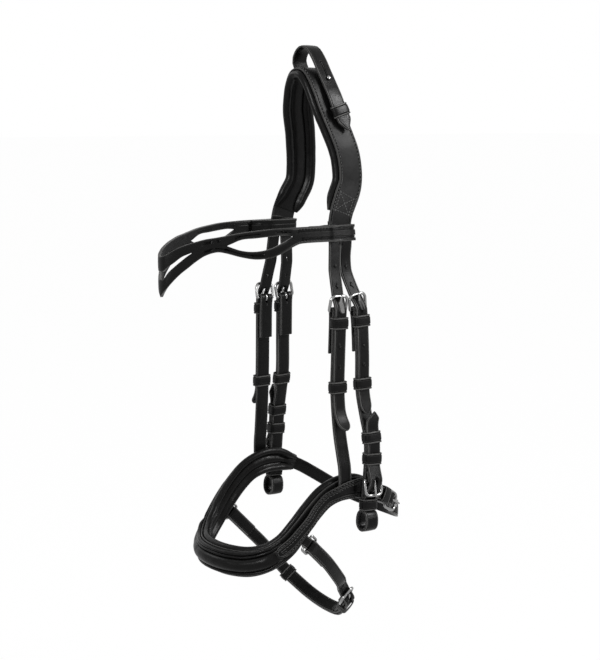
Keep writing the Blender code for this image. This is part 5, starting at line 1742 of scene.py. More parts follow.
@dataclass(frozen=True)
class SteelFinish:
    """Polished steel with faint rubbing marks."""

    name: str
    colour: Row = (0.27, 0.27, 0.268)
    roughness: float = 0.2
    slot: Slot = Slot.STEEL

    def material(self, groups: dict[str, bpy.types.NodeTree]) -> bpy.types.Material:
        """Mix the finish.

        Args:
            groups: the shared node groups by name; not used.

        Returns:
            The material.
        """
        made = bpy.data.materials.new(self.name)
        made.use_nodes = True
        made.diffuse_color = (*self.colour, 1)
        bench = NodeBench(made.node_tree)
        shader = made.node_tree.nodes["Principled BSDF"]
        links = made.node_tree.links
        place = bench.add("ShaderNodeTexCoord").outputs["Object"]
        marks = bench.add("ShaderNodeTexNoise", {"Vector": place, "Scale": 700.0, "Detail": 3.0})
        shader.inputs["Metallic"].default_value = 1.0
        deep = tuple(value * 0.86 for value in self.colour)
        links.new(bench.blend(marks.outputs["Fac"], (*deep, 1), (*self.colour, 1)),
                  shader.inputs["Base Color"])
        swing = bench.calc("MULTIPLY", marks.outputs["Fac"], 0.14)
        links.new(bench.calc("ADD", swing, self.roughness - 0.05), shader.inputs["Roughness"])
        return made


@dataclass(frozen=True)
class ThreadFinish:
    """Waxed sewing thread."""

    name: str
    colour: Row = (0.009, 0.009, 0.0088)
    roughness: float = 0.5
    slot: Slot = Slot.STRAP

    def material(self, groups: dict[str, bpy.types.NodeTree]) -> bpy.types.Material:
        """Mix the finish.

        Args:
            groups: the shared node groups by name; not used.

        Returns:
            The material.
        """
        made = bpy.data.materials.new(self.name)
        made.use_nodes = True
        made.diffuse_color = (*self.colour, 1)
        bench = NodeBench(made.node_tree)
        shader = made.node_tree.nodes["Principled BSDF"]
        links = made.node_tree.links
        place = bench.add("ShaderNodeTexCoord").outputs["Object"]
        plies = bench.add("ShaderNodeTexWave", {"Vector": place, "Scale": 900.0,
                                                "Distortion": 1.0})
        links.new(bench.blend(plies.outputs["Fac"], (*(v * 0.6 for v in self.colour), 1),
                              (*self.colour, 1)), shader.inputs["Base Color"])
        shader.inputs["Roughness"].default_value = self.roughness
        return made


STRAP_FINISH = LeatherFinish("waxed_strap_leather")
CROWN_FINISH = LeatherFinish("waxed_crown_leather", roughness=0.37, spread=0.10)
KEEPER_FINISH = LeatherFinish("creased_keeper_leather", roughness=0.31, rub=0.8)
PANEL_FINISH = LeatherFinish("smooth_panel_leather", roughness=0.36, relief=0.00008)
BROW_FINISH = LeatherFinish("shaped_browband_leather", roughness=0.35)
PAD_FINISH = LeatherFinish("soft_padded_leather", dye=(0.0025, 0.0024, 0.0024), roughness=0.33,
                           spread=0.1, pebble=1200.0, relief=0.0001, rub=0.0,
                           unevenness=0.0008, slot=Slot.PADDED)
BUCKLE_FINISH = SteelFinish("polished_buckle_steel")
THREAD_FINISH = ThreadFinish("black_waxed_thread")
CROWN_THREAD_FINISH = ThreadFinish("grey_waxed_thread", (0.03, 0.03, 0.0295))
Finish = LeatherFinish | SteelFinish | ThreadFinish


class Fitter:
    """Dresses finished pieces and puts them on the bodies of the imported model."""

    def __init__(self, packed: dict) -> None:
        """Note which body carries each node.
        """
        bodies = packed["record"]["behaviour"]["bodies"]
        self.home = {node: body for body, nodes in bodies.items() for node in nodes}
        self.groups = {"hide_grain": hide_grain(), "handled_edges": handled_edges()}
        self.mixed: dict[str, bpy.types.Material] = {}
        self.waiting = set(self.home)

    def dress(self, obj: bpy.types.Object, finish: Finish) -> None:
        """Give a piece its finish.

        Args:
            obj: the piece.
            finish: the finish.
        """
        if finish.name not in self.mixed:
            self.mixed[finish.name] = finish.material(self.groups)
        obj.data.materials.clear()
        obj.data.materials.append(self.mixed[finish.name])

    def fit(self, obj: bpy.types.Object, node: str, finish: Finish) -> bpy.types.Object:
        """Put a piece in the place of a node.

        Args:
            obj: the piece.
            node: the node that it stands for.
            finish: its finish.

        Returns:
            The piece.
        """
        self.dress(obj, finish)
        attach(obj, self.home[node])
        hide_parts(node)
        self.waiting.discard(node)
        LOG.info("%s stands for %s: %d faces", obj.name, node, len(obj.data.polygons))
        return obj

    def sew(self, sewing: Sewing, name: str, node: str, finish: ThreadFinish = THREAD_FINISH
            ) -> None:
        """Put gathered thread on the body of a node.

        Args:
            sewing: the thread.
            name: the piece's name.
            node: a node that the thread holds.
            finish: its finish.
        """
        count = sewing.count
        obj = sewing.made(name)
        self.dress(obj, finish)
        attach(obj, self.home[node])
        LOG.info("%s: %d stitches", name, count)


def mirrored_route(half: Sequence[Row], across_hint: Row) -> Route:
    """Lay a route that starts at the mid plane together with its mirror image.

    Args:
        half: places of the near half.
        across_hint: the rough direction across.

    Returns:
        The route from the far end to the near end.
    """
    far = [(-place[0], *place[1:]) for place in reversed(half[1:])]
    return Route(far + list(half), across_hint)


class BridleLines:
    """The routes of every strap, and the buckles that join them."""

    def __init__(self, sizes: BridleSizes = SIZES) -> None:
        """Lay the routes.

        Args:
            sizes: the overall sizes.
        """
        self.sizes = sizes
        self.head = self._head()
        offset = (sizes.neck_width - MAKING.billet_width) / 2
        self.hanger = self._down_the_cheek(HANGER_SHARES, -offset)
        self.cheek = self._down_the_cheek(CHEEK_SHARES, offset)
        front, back = self._nose_places()
        self.nose = mirrored_route(front + back[:-1], (0, 0, 1))
        near = front[-2:] + back
        far = [(-place[0], *place[1:]) for place in reversed(near[:-1])]
        self.jaw = Route(near + far, (0, 0, 1))
        self.brow = mirrored_route(
            [(x * sizes.brow_half_width, -y * sizes.brow_reach, -sizes.brow_drop)
             for x, y in BROW_PLAN_SHARES], (0, 0, 1))
        self.chin = Route(
            [(x * sizes.face_half_width,
              y * (sizes.chin_ring_reach + sizes.chin_rear) - sizes.chin_ring_reach,
              -z * (sizes.chin_drop - sizes.chin_ring_drop) - sizes.chin_ring_drop)
             for x, y, z in reversed(CHIN_SHARES)], CHIN_ACROSS)
        self.lay = MAKING.keeper / 2 + MAKING.fit_gap + MAKING.strap / 2
        self.billet_lay = self.lay + MAKING.strap + MAKING.fit_gap
        self.hanger_buckle = Buckle(Stack(self.hanger,
                                          self.hanger.length_at(2, -sizes.buckle_drop)))
        self.cheek_buckle = Buckle(Stack(self.cheek,
                                         self.cheek.length_at(2, -sizes.buckle_drop)))
        base = (self.lay + MAKING.strap / 2 + MAKING.loose_gap + MAKING.thin + MAKING.fit_gap
                + Buckle.wire)
        self.bit_buckle = Buckle(
            Stack(self.cheek, self.cheek.length_at(2, -sizes.bit_buckle_drop), -1, base),
            MAKING.thin, MAKING.strap_width, math.radians(15))

    def _head(self) -> Route:
        """Lay the crown's route over the poll."""
        sizes = self.sizes
        apex = (0, sizes.apex_sweep_share * sizes.crown_sweep,
                sizes.crown_rise_share * sizes.neck_drop)
        half = [(x * sizes.neck_half_width, y * sizes.crown_sweep, z * sizes.neck_drop)
                for x, y, z in CROWN_SHARES]
        return mirrored_route([apex] + half, (0, 1, 0))

    def _down_the_cheek(self, shares: Sequence[Row], offset: float) -> Route:
        """Lay a route down the cheek from the split of the headpiece.

        Args:
            shares: the route's shares.
            offset: where it starts, across the headpiece.

        Returns:
            The route.
        """
        sizes = self.sizes
        places = [tuple(self.head.place(self.head.total, offset, 0))]
        places += [(x * sizes.face_half_width, y * sizes.strap_spread, -z * sizes.bridle_drop)
                   for x, y, z in shares]
        return Route(places, (0, 1, 0))

    def _nose_places(self) -> tuple[list[Row], list[Row]]:
        """Lay the near half of the noseband's places, front and back."""
        sizes = self.sizes
        front = [(x * sizes.face_half_width, -y * sizes.face_depth, -z * sizes.bridle_drop,
                  h * sizes.nose_height) for x, y, z, h in NOSE_SHARES]
        back = [(x * sizes.face_half_width, y * sizes.jaw_reach, -z * sizes.bridle_drop,
                 h * sizes.nose_height) for x, y, z, h in JAW_SHARES]
        return front, back


def round_hole(ribbon: Ribbon, run: float, radius: float = 1.05 * MM) -> Punch:
    """Shape a round hole square to a strap.

    Args:
        ribbon: the strap.
        run: where the hole lies.
        radius: its radius.

    Returns:
        The punch.
    """
    row = ribbon.at(run)
    return Punch(row.centre, row.along, row.across, radius, radius, 2 * MAKING.strap)


@dataclass
class Crown:
    """The crown leather with its four billets, and the pad under it."""

    lines: BridleLines
    hanger_billet: float = 101 * MM
    cheek_billet: float = 90 * MM
    tip_flare: float = 9 * MM
    tip_bend: float = 19 * MM
    tuck: float = 2 * MM
    tuck_rise: float = 34 * MM
    split_run: float = 16 * MM
    split_trim: float = 0.4 * MM
    overlap: float = 3 * MM
    hole_pitch: float = 17 * MM
    holes_above: int = 2
    holes_below: int = 3
    roll_radius: float = 3.5 * MM
    roll_proud: float = 3 * MM
    panel: float = 3 * MM
    channel: float = 1.2 * MM
    pad_end_drop: float = 113 * MM
    end_lip: float = 14 * MM
    stitch_inset: float = 2.3 * MM
    box_low: float = 112 * MM
    box_high: float = 98 * MM
    box_share: float = 0.62

    def build(self, fitter: Fitter) -> None:
        """Make the crown leather, its sewing and its pad."""
        fitter.fit(self.leather(fitter), "headpiece", CROWN_FINISH)
        fitter.fit(self.pad(), "crown_pad", PAD_FINISH)

    def leather(self, fitter: Fitter) -> bpy.types.Object:
        """Cut the crown and its billets from one hide.

        Args:
            fitter: where the sewing goes.

        Returns:
            The headpiece.
        """
        lines, sizes = self.lines, self.lines.sizes
        head = lines.head
        build = bmesh.new()
        mark_layers(build)
        places = []
        count = round(head.total / (2.6 * MM))
        for k in range(count + 1):
            s = head.total * k / count
            share = abs(2 * s / head.total - 1)
            half = (sizes.crown_width + (sizes.neck_width - sizes.crown_width) * share) / 2
            across = (head.place(s, half, 0) - head.place(s, -half, 0)).normalized()
            places.append((head.place(s, 0, 0), across, half, s))
        crown = Ribbon.through(places)
        sweep(build, crown, MAKING.strap, CROWN_SECTION, Creased.GRAIN)
        cuts = []
        for buckle, length, flare in ((lines.hanger_buckle, self.hanger_billet, self.tip_flare),
                                      (lines.cheek_buckle, self.cheek_billet, 0.0)):
            ribbon, profile = self.billet(buckle, length, flare)
            for side in Side:
                sweep(build, ribbon, MAKING.strap, STRAP_SECTION, Creased.GRAIN, side)
            cuts.append(buckle.through())
            first = buckle.hole_place().x
            steps = [*range(-self.holes_above, 0), *range(1, self.holes_below + 1)]
            cuts += [round_hole(ribbon, profile.run_where(first + step * self.hole_pitch))
                     for step in steps]
        sewing = Sewing()
        low = head.length_at(2, -self.box_low, head.total / 2)
        high = head.length_at(2, -self.box_high, head.total / 2)
        edge = self.box_share
        sewing.row(crown, MAKING.strap, self.stitch_inset, head.total - low, low, Side.NEAR,
                   sizes=CROWN_SECTION)
        for a, b in ((low, high), (head.total - low, head.total - high)):
            for runs, shares in (((a, a), (-edge, edge)), ((b, b), (-edge, edge)),
                                 ((a, b), (-edge, edge)), ((a, b), (edge, -edge)),
                                 ((a, b), (-edge, -edge)), ((a, b), (edge, edge))):
                sewing.slanted(crown, MAKING.strap, runs, shares, Side.NEAR, CROWN_SECTION)
        fitter.sew(sewing, "crown_sewing", "headpiece", CROWN_THREAD_FINISH)
        leather = mesh_object("headpiece_leather", build)
        return punch(leather, cuts, tuple(Side))

    def billet(self, buckle: Buckle, length: float, flare: float) -> tuple[Ribbon, Profile]:
        """Lay one billet from the split, through its buckle, to its rounded tip.

        Args:
            buckle: the buckle that it goes through.
            length: how far it reaches below the buckle's hinge bar.
            flare: how far its tip stands off.

        Returns:
            The billet and its line.
        """
        start = -buckle.stack.start
        lay = self.lines.billet_lay
        half = MAKING.billet_width / 2
        corners = [(start - self.overlap, -0.06 * MM), (start + self.split_run, 0.0),
                   (-self.tuck_rise, -self.tuck)]
        corners += buckle.over(lay)
        bend = length - self.tip_bend
        corners += [(bend + self.tip_bend * share, lay + flare * share * share)
                    for share in (0, 0.2, 0.4, 0.6, 0.8, 1.0)]
        profile = Profile(corners)
        begin = start + 2.5 * MM

        def width_at(u: float) -> float:
            share = min(max((u - begin) / (self.split_run - 2.5 * MM), 0), 1)
            return 1 - self.split_trim / half * (1 - share)

        ribbon = Ribbon.along(buckle.stack, profile, half, (Tip.SQUARE, Tip.ROUND),
                              width_at=width_at)
        return ribbon, profile

    def pad(self) -> bpy.types.Object:
        """Make the padded lining, a roll along each edge and a channel beside it."""
        head = self.lines.head
        middle = head.total / 2
        end = head.length_at(2, -self.pad_end_drop, middle)
        sections = []
        for s in even_runs(middle, end, 2.0 * MM, self.end_lip):
            swell = pad_swell(end - s, self.end_lip)
            sections.append([head.place(s, v, n) for v, n in self.pad_section(s, swell)])
        return loft_object("crown_pad_padding", sections, True)

    def pad_section(self, s: float, swell: float) -> list[Pair]:
        """Shape the pad's section.

        Args:
            s: where it lies on the head route.
            swell: how full it is there.

        Returns:
            Places across and outward.
        """
        top = -MAKING.strap / 2 - MAKING.fit_gap
        half = []
        for hand in (1, -1):
            pucker = 1 + 0.028 * noise.noise(Vector((s * 190, hand * 3.0, 0))) \
                + 0.012 * math.sin(s / (2.6 * MM))
            radius = self.roll_radius * swell * pucker
            centre = self.lines.sizes.crown_width / 2 + self.roll_proud * swell - radius
            panel = self.panel * swell
            points = roll_points(centre, top - radius, radius, range(90, -161, -14))
            inner = centre - radius - self.channel
            points += [(inner + 0.5 * MM, top - panel * 0.42), (inner, top - panel * 0.38),
                       (inner - 0.9 * MM, top - panel * 0.66), (inner * 0.62, top - panel * 0.95),
                       (inner * 0.3, top - panel * 1.02)]
            half.append([(hand * v, n) for v, n in points])
        return half[0] + list(reversed(half[1]))


def roll_points(v: float, n: float, radius: float, turns: Iterable[float]) -> list[Pair]:
    """Find points on a roll seen in section.

    Args:
        v: its centre across.
        n: its centre outward.
        radius: its radius.
        turns: the points' angles in degrees.

    Returns:
        The points.
    """
    return [(v + radius * math.cos(math.radians(turn)), n + radius * math.sin(math.radians(turn)))
            for turn in turns]


def pad_swell(distance: float, run: float) -> float:
    """Find how full a pad is near its end.

    Args:
        distance: the distance from its end.
        run: how far the thinning reaches.

    Returns:
        The share of its full size.
    """
    if distance >= run:
        return 1.0
    return 0.3 + 0.7 * math.sin(math.pi / 2 * max(distance, 0) / run)


def even_runs(start: float, end: float, step: float, lip: float, both: bool = False
              ) -> list[float]:
    """Space sections evenly, and closer at a rounded end.

    Args:
        start: the first section.
        end: the last section.
        step: the even spacing.
        lip: how far the closer spacing reaches from an end.
        both: whether the start is rounded too.

    Returns:
        The sections' runs.
    """
    shares = [1 - math.cos(math.radians(turn)) for turn in range(0, 91, 9)]
    last = [end - lip * share for share in shares]
    first = [start + lip * share for share in shares] if both else [start]
    low, high = first[-1], last[-1]
    count = max(1, round((high - low) / step))
    middle = [low + (high - low) * k / count for k in range(1, count)]
    return first + middle + sorted(last)


@dataclass
class HangingStrap:
    """The short strap that loops up over the crown, with its keeper and stud."""

    lines: BridleLines
    width: float = 14.4 * MM
    offset: float = 4.7 * MM
    lean: float = 3 * MM
    rise: float = 18.5 * MM
    far_length: float = 24 * MM
    near_length: float = 69 * MM
    point: float = 8 * MM
    stud_reach: float = 20.5 * MM
    slit_length: float = 17 * MM
    slit_width: float = 1.3 * MM
    arch: tuple[Pair, ...] = ((-0.86, 0.38), (-0.62, 0.82), (-0.22, 1.02), (0.18, 0.90),
                              (0.55, 0.46), (0.90, -0.12))
    stud_neck: float = 1.1 * MM
    stud_head: float = 1.8 * MM
    stud_height: float = 1.9 * MM
    stud_base: float = 2.6 * MM
    base_height: float = 0.7 * MM

    def build(self, fitter: Fitter) -> None:
        """Make the strap, its keeper, its stud and its sewing."""
        head = self.lines.head
        middle = head.total / 2
        lay = MAKING.strap + 3 * MAKING.fit_gap
        ring_lay = lay + MAKING.keeper + MAKING.fit_gap
        places = [tuple(head.place(middle - self.far_length * share, self.offset, lay))
                  for share in (1.0, 0.8, 0.6)]
        apex = head.place(middle, self.offset, 0)
        places += [(x * self.rise, apex.y - self.lean * (1 - max(0, x)), apex.z + z * self.rise)
                   for x, z in self.arch]
        places += [tuple(head.place(middle + self.near_length * share, self.offset, ring_lay))
                   for share in (0.52, 0.66, 0.84, 1.0)]
        route = Route(places, (0, 1, 0))
        stack = Stack(route, 0)
        half = self.width / 2
        profile = Profile([(0, 0), (route.total, 0)])
        ribbon = Ribbon.along(stack, profile, half, (Tip.SQUARE, Tip.POINT), self.point + 2 * MM)
        strap = strap_object("hanging_strap_leather", ribbon)
        hole = route.length_at(0, self.stud_reach, route.total / 3)
        slit = hole - self.slit_length / 2
        row = ribbon.at(slit)
        cuts = [round_hole(ribbon, hole, self.stud_neck + 0.4 * MM),
                Punch(row.centre, row.along, row.across, self.slit_length / 2,
                      self.slit_width / 2, 2 * MAKING.strap)]
        for cut in cuts:
            strap = punch(strap, (cut,), (Side.NEAR,))
        fitter.fit(strap, "hanging_strap", STRAP_FINISH)
        ring = Stack(route, route.total - self.point - MAKING.keeper_height)
        keeper = Keeper(ring, 0, -MAKING.strap / 2, MAKING.strap / 2, half)
        fitter.fit(keeper.band("hanging_keeper_leather"), "hanging_keeper", KEEPER_FINISH)
        fitter.fit(self.stud(route, hole), "hanging_stud", BUCKLE_FINISH)
        sewing = Sewing()
        for run in (2.6 * MM, 9 * MM):
            sewing.slanted(ribbon, MAKING.strap, (run, run), (-0.65, 0.65), Side.NEAR)
        sewing.row(ribbon, MAKING.strap, 2.2 * MM, 4 * MM, 8 * MM, Side.NEAR)
        fitter.sew(sewing, "hanging_strap_sewing", "hanging_strap")

    def stud(self, route: Route, hole: float) -> bpy.types.Object:
        """Turn the stud.

        Args:
            route: the strap's route.
            hole: where on it the stud stands.

        Returns:
            The stud.
        """
        point, _, _, out, _ = route.at(hole)
        under = MAKING.strap / 2 + MAKING.fit_gap
        outline = [(0, -under - self.base_height), (self.stud_base - 0.2 * MM,
                                                    -under - self.base_height),
                   (self.stud_base, -under - self.base_height / 2), (self.stud_base, -under),
                   (self.stud_neck, -under), (self.stud_neck, under)]
        half = self.stud_height / 2
        outline += [(self.stud_head * math.cos(math.radians(turn)) + 0.0,
                     under + half + half * math.sin(math.radians(turn)))
                    for turn in range(-60, 90, 12)]
        outline.append((0, under + self.stud_height))
        return turned_object("hanging_stud_steel", outline, point, out, False)


@dataclass
class Browband:
    """The shaped browband with its two openings a side, folded back round the headpiece."""

    lines: BridleLines
    dip: float = 49 * MM
    thickness: float = 2.4 * MM
    slack: float = 1.4 * MM
    arc: float = 155 * MM
    lean_share: float = 0.14
    rear_edge: float = 10.7 * MM
    converge: float = 9 * MM
    back_turn: float = 24 * MM
    row: float = 1.6 * MM
    crease_inset: float = 1.7 * MM
    crease_width: float = 0.8 * MM
    crease_depth: float = 0.34 * MM
    pressed_from: float = 0.6
    pressed_full: float = 0.74
    dome: float = 0.2 * MM
    dome_width: float = 12 * MM
    inner_fade: float = 6 * MM
    step_start: float = 15.5 * MM
    step_run: float = 4 * MM
    step_rise: float = 0.9 * MM
    sewn_from: float = 46 * MM
    sewn_to: float = 17 * MM
    sewn_inset: float = 1.7 * MM

    def shape(self) -> list[Row]:
        """Read the browband's shape finely, from the middle to the end of the shaped part."""
        fine = []
        for share, *edges in smooth_line(BROW_SHAPE_SHARES, 12):
            bottom, low, high, top = edges
            if high - low < 0.014:
                low = high = (low + high) / 2
            fine.append((share, bottom, low, high, top))
        count = round(self.arc / self.row)
        return [(k / count, *interpolate(fine, k / count)) for k in range(count + 1)]

    def band_row(self, low: float, high: float, cut: tuple[float, float], pressed: float
                 ) -> list[tuple[float, float, float, float]]:
        """Shape a band of the browband in section.

        Args:
            low: its lower edge across the route.
            high: its upper edge.
            cut: how far its lower and upper edges are cut edges, 0 where it is joined on.
            pressed: how deeply its crease lines are pressed.

        Returns:
            Places as across, outward, share of edge wear and painted highlight, and crease share.
        """
        wide = high - low
        shrink = min(1, wide / (3.4 * self.crease_inset))
        inset, reach = self.crease_inset * shrink, self.crease_width / 2 * shrink
        depth = self.crease_depth * shrink * pressed
        # Points beside each crease carry a painted highlight line through their edge-wear share.
        half = [(0.0, 0.0, 1.0, 0.0), (0.3 * MM * shrink, 0.0, 0.5, 0.0),
                (inset - reach, 0.0, 0.6 * pressed, 0.0), (inset, -depth, 0.0, pressed),
                (inset + reach, 0.0, 0.6 * pressed, 0.0), (inset + 1.8 * reach, 0.0, 0.0, 0.0)]
        row = [(at, n * cut[0], edge * cut[0], crease * cut[0]) for at, n, edge, crease in half]
        row += [(wide * share, 0.0, 0.0, 0.0) for share in (0.35, 0.5, 0.65)]
        row += [(wide - at, n * cut[1], edge * cut[1], crease * cut[1])
                for at, n, edge, crease in reversed(half)]
        dome = self.dome * min(1, wide / self.dome_width)
        placed = []
        for at, n, edge, crease in row:
            turn = (cut[0] + cut[1]) * at / max(wide, 0.01 * MM) - cut[0]
            placed.append((low + at, n + dome * (1 - turn * turn), edge, crease))
        return placed

    def build(self, fitter: Fitter) -> None:
        """Make the browband and its sewing."""
        brow = self.lines.brow
        middle = brow.total / 2
        rows = []
        for share, *edges in self.shape():
            lean = self.lean_share * max(0, share - 0.5) * 2
            bottom, low, high, top = (edge * self.dip for edge in edges)
            pressed = (share - self.pressed_from) / (self.pressed_full - self.pressed_from)
            rows.append((middle + share * self.arc, 0.0, lean, bottom, low, high, top,
                         share < 0.02, min(max(pressed, 0), 1)))
        ends = rows[-1][3:7]
        for s, n in self.end_turn(middle):
            rows.append((s, n, self.lean_share, *ends, False, 0.0))
        rows = [(s, n + (self.raised(s) if n == 0 else 0), *rest) for s, n, *rest in rows]
        build = bmesh.new()
        wear_and_highlight_layer, crease_layer = mark_layers(build)
        grids = []
        for s, n, lean, bottom, low, high, top, bridged, pressed in rows:
            line = []
            inner = min((high - low) / self.inner_fade, 1)
            inner *= inner * (3 - 2 * inner)
            for a, b, cut in ((bottom, low, (1, inner)), (high, top, (inner, 1))):
                for v, out, edge, crease in self.band_row(a, b, cut, pressed):
                    vert = build.verts.new(brow.place(s, v, n + out - lean * v))
                    vert[wear_and_highlight_layer] = edge
                    vert[crease_layer] = crease
                    line.append(vert)
            grids.append((line, high - low, bridged))
        per_band = len(grids[0][0]) // 2
        for (a, gap_a, bridge_a), (b, gap_b, bridge_b) in zip(grids, grids[1:]):
            for j in range(2 * per_band - 1):
                open_here = gap_a > 0.05 * MM or gap_b > 0.05 * MM
                if j == per_band - 1 and open_here and not (bridge_a and bridge_b):
                    continue
                build.faces.new((a[j], a[j + 1], b[j + 1], b[j]))
        bmesh.ops.remove_doubles(build, verts=build.verts, dist=0.02 * MM)
        bmesh.ops.dissolve_degenerate(build, edges=build.edges, dist=0.01 * MM)
        band = mesh_object("browband_leather", build)
        mirror = band.modifiers.new("Far half", "MIRROR")
        mirror.merge_threshold = 0.02 * MM
        shell = band.modifiers.new("Leather", "SOLIDIFY")
        shell.thickness = self.thickness
        shell.offset = 0
        shell.use_even_offset = False
        bevel = band.modifiers.new("Eased edges", "BEVEL")
        bevel.width = 0.4 * MM
        bevel.segments = 2
        bevel.limit_method = "ANGLE"
        bevel.angle_limit = math.radians(60)
        band = settled(band)
        fitter.fit(band, "browband", BROW_FINISH)
        sewing = Sewing()
        self.sew_edges(sewing)
        fitter.sew(sewing, "browband_sewing", "browband")

    def raised(self, s: float) -> float:
        """How far the band stands up where it passes over the headpiece, at a length."""
        y = self.lines.brow.at(s)[0].y
        share = min(max((y + self.step_start) / self.step_run, 0), 1)
        fade = min(max((self.rear_edge - y) / self.step_run, 0), 1)
        return self.step_rise * share * share * (3 - 2 * share) * fade

    def end_turn(self, middle: float) -> list[Pair]:
        """Lay the end of the browband round the headpiece and back.

        Args:
            middle: the route's middle.

        Returns:
            Places along the route and outward.
        """
        brow = self.lines.brow
        rear = brow.length_at(1, self.rear_edge, middle)
        radius = MAKING.strap / 2 + self.slack + self.thickness / 2
        start = middle + self.arc
        places = [(start + (rear - start) * share, 0.0) for share in (0.25, 0.5, 0.75)
                  if rear > start + 1 * MM]
        places += [(rear + radius * math.sin(math.pi * k / 14),
                    radius * math.cos(math.pi * k / 14) - radius) for k in range(15)]
        join = rear - self.back_turn
        inner = -self.thickness - MAKING.fit_gap
        places += [(rear + (join - rear) * share, -2 * radius) for share in (0.25, 0.5, 0.75, 1)]
        places += [(join - self.converge * share,
                    -2 * radius + (inner + 2 * radius) * (3 * share ** 2 - 2 * share ** 3))
                   for share in (0.2, 0.4, 0.6, 0.8, 1.0)]
        places.append((join - 2 * self.converge, inner))
        return places

    def sew_edges(self, sewing: Sewing) -> None:
        """Sew along both edges where the folded end lies behind.

        Args:
            sewing: where the thread goes.
        """
        brow = self.lines.brow
        middle = brow.total / 2
        first = brow.length_at(1, -self.sewn_from, middle)
        last = brow.length_at(1, -self.sewn_to, middle)
        out = self.thickness / 2
        table = self.shape()
        for hand in (-1, 1):
            line = []
            for k in range(21):
                s = first + (last - first) * k / 20
                _, bottom, _, _, top = min(
                    table, key=lambda row: abs(row[0] - (s - middle) / self.arc))
                edge = (top if hand > 0 else bottom) * self.dip - hand * self.sewn_inset
                line.append((brow.place(s, edge, out - self.lean_share * edge), brow.at(s)[3]))
            for side in Side:
                sewing.line(line, side)


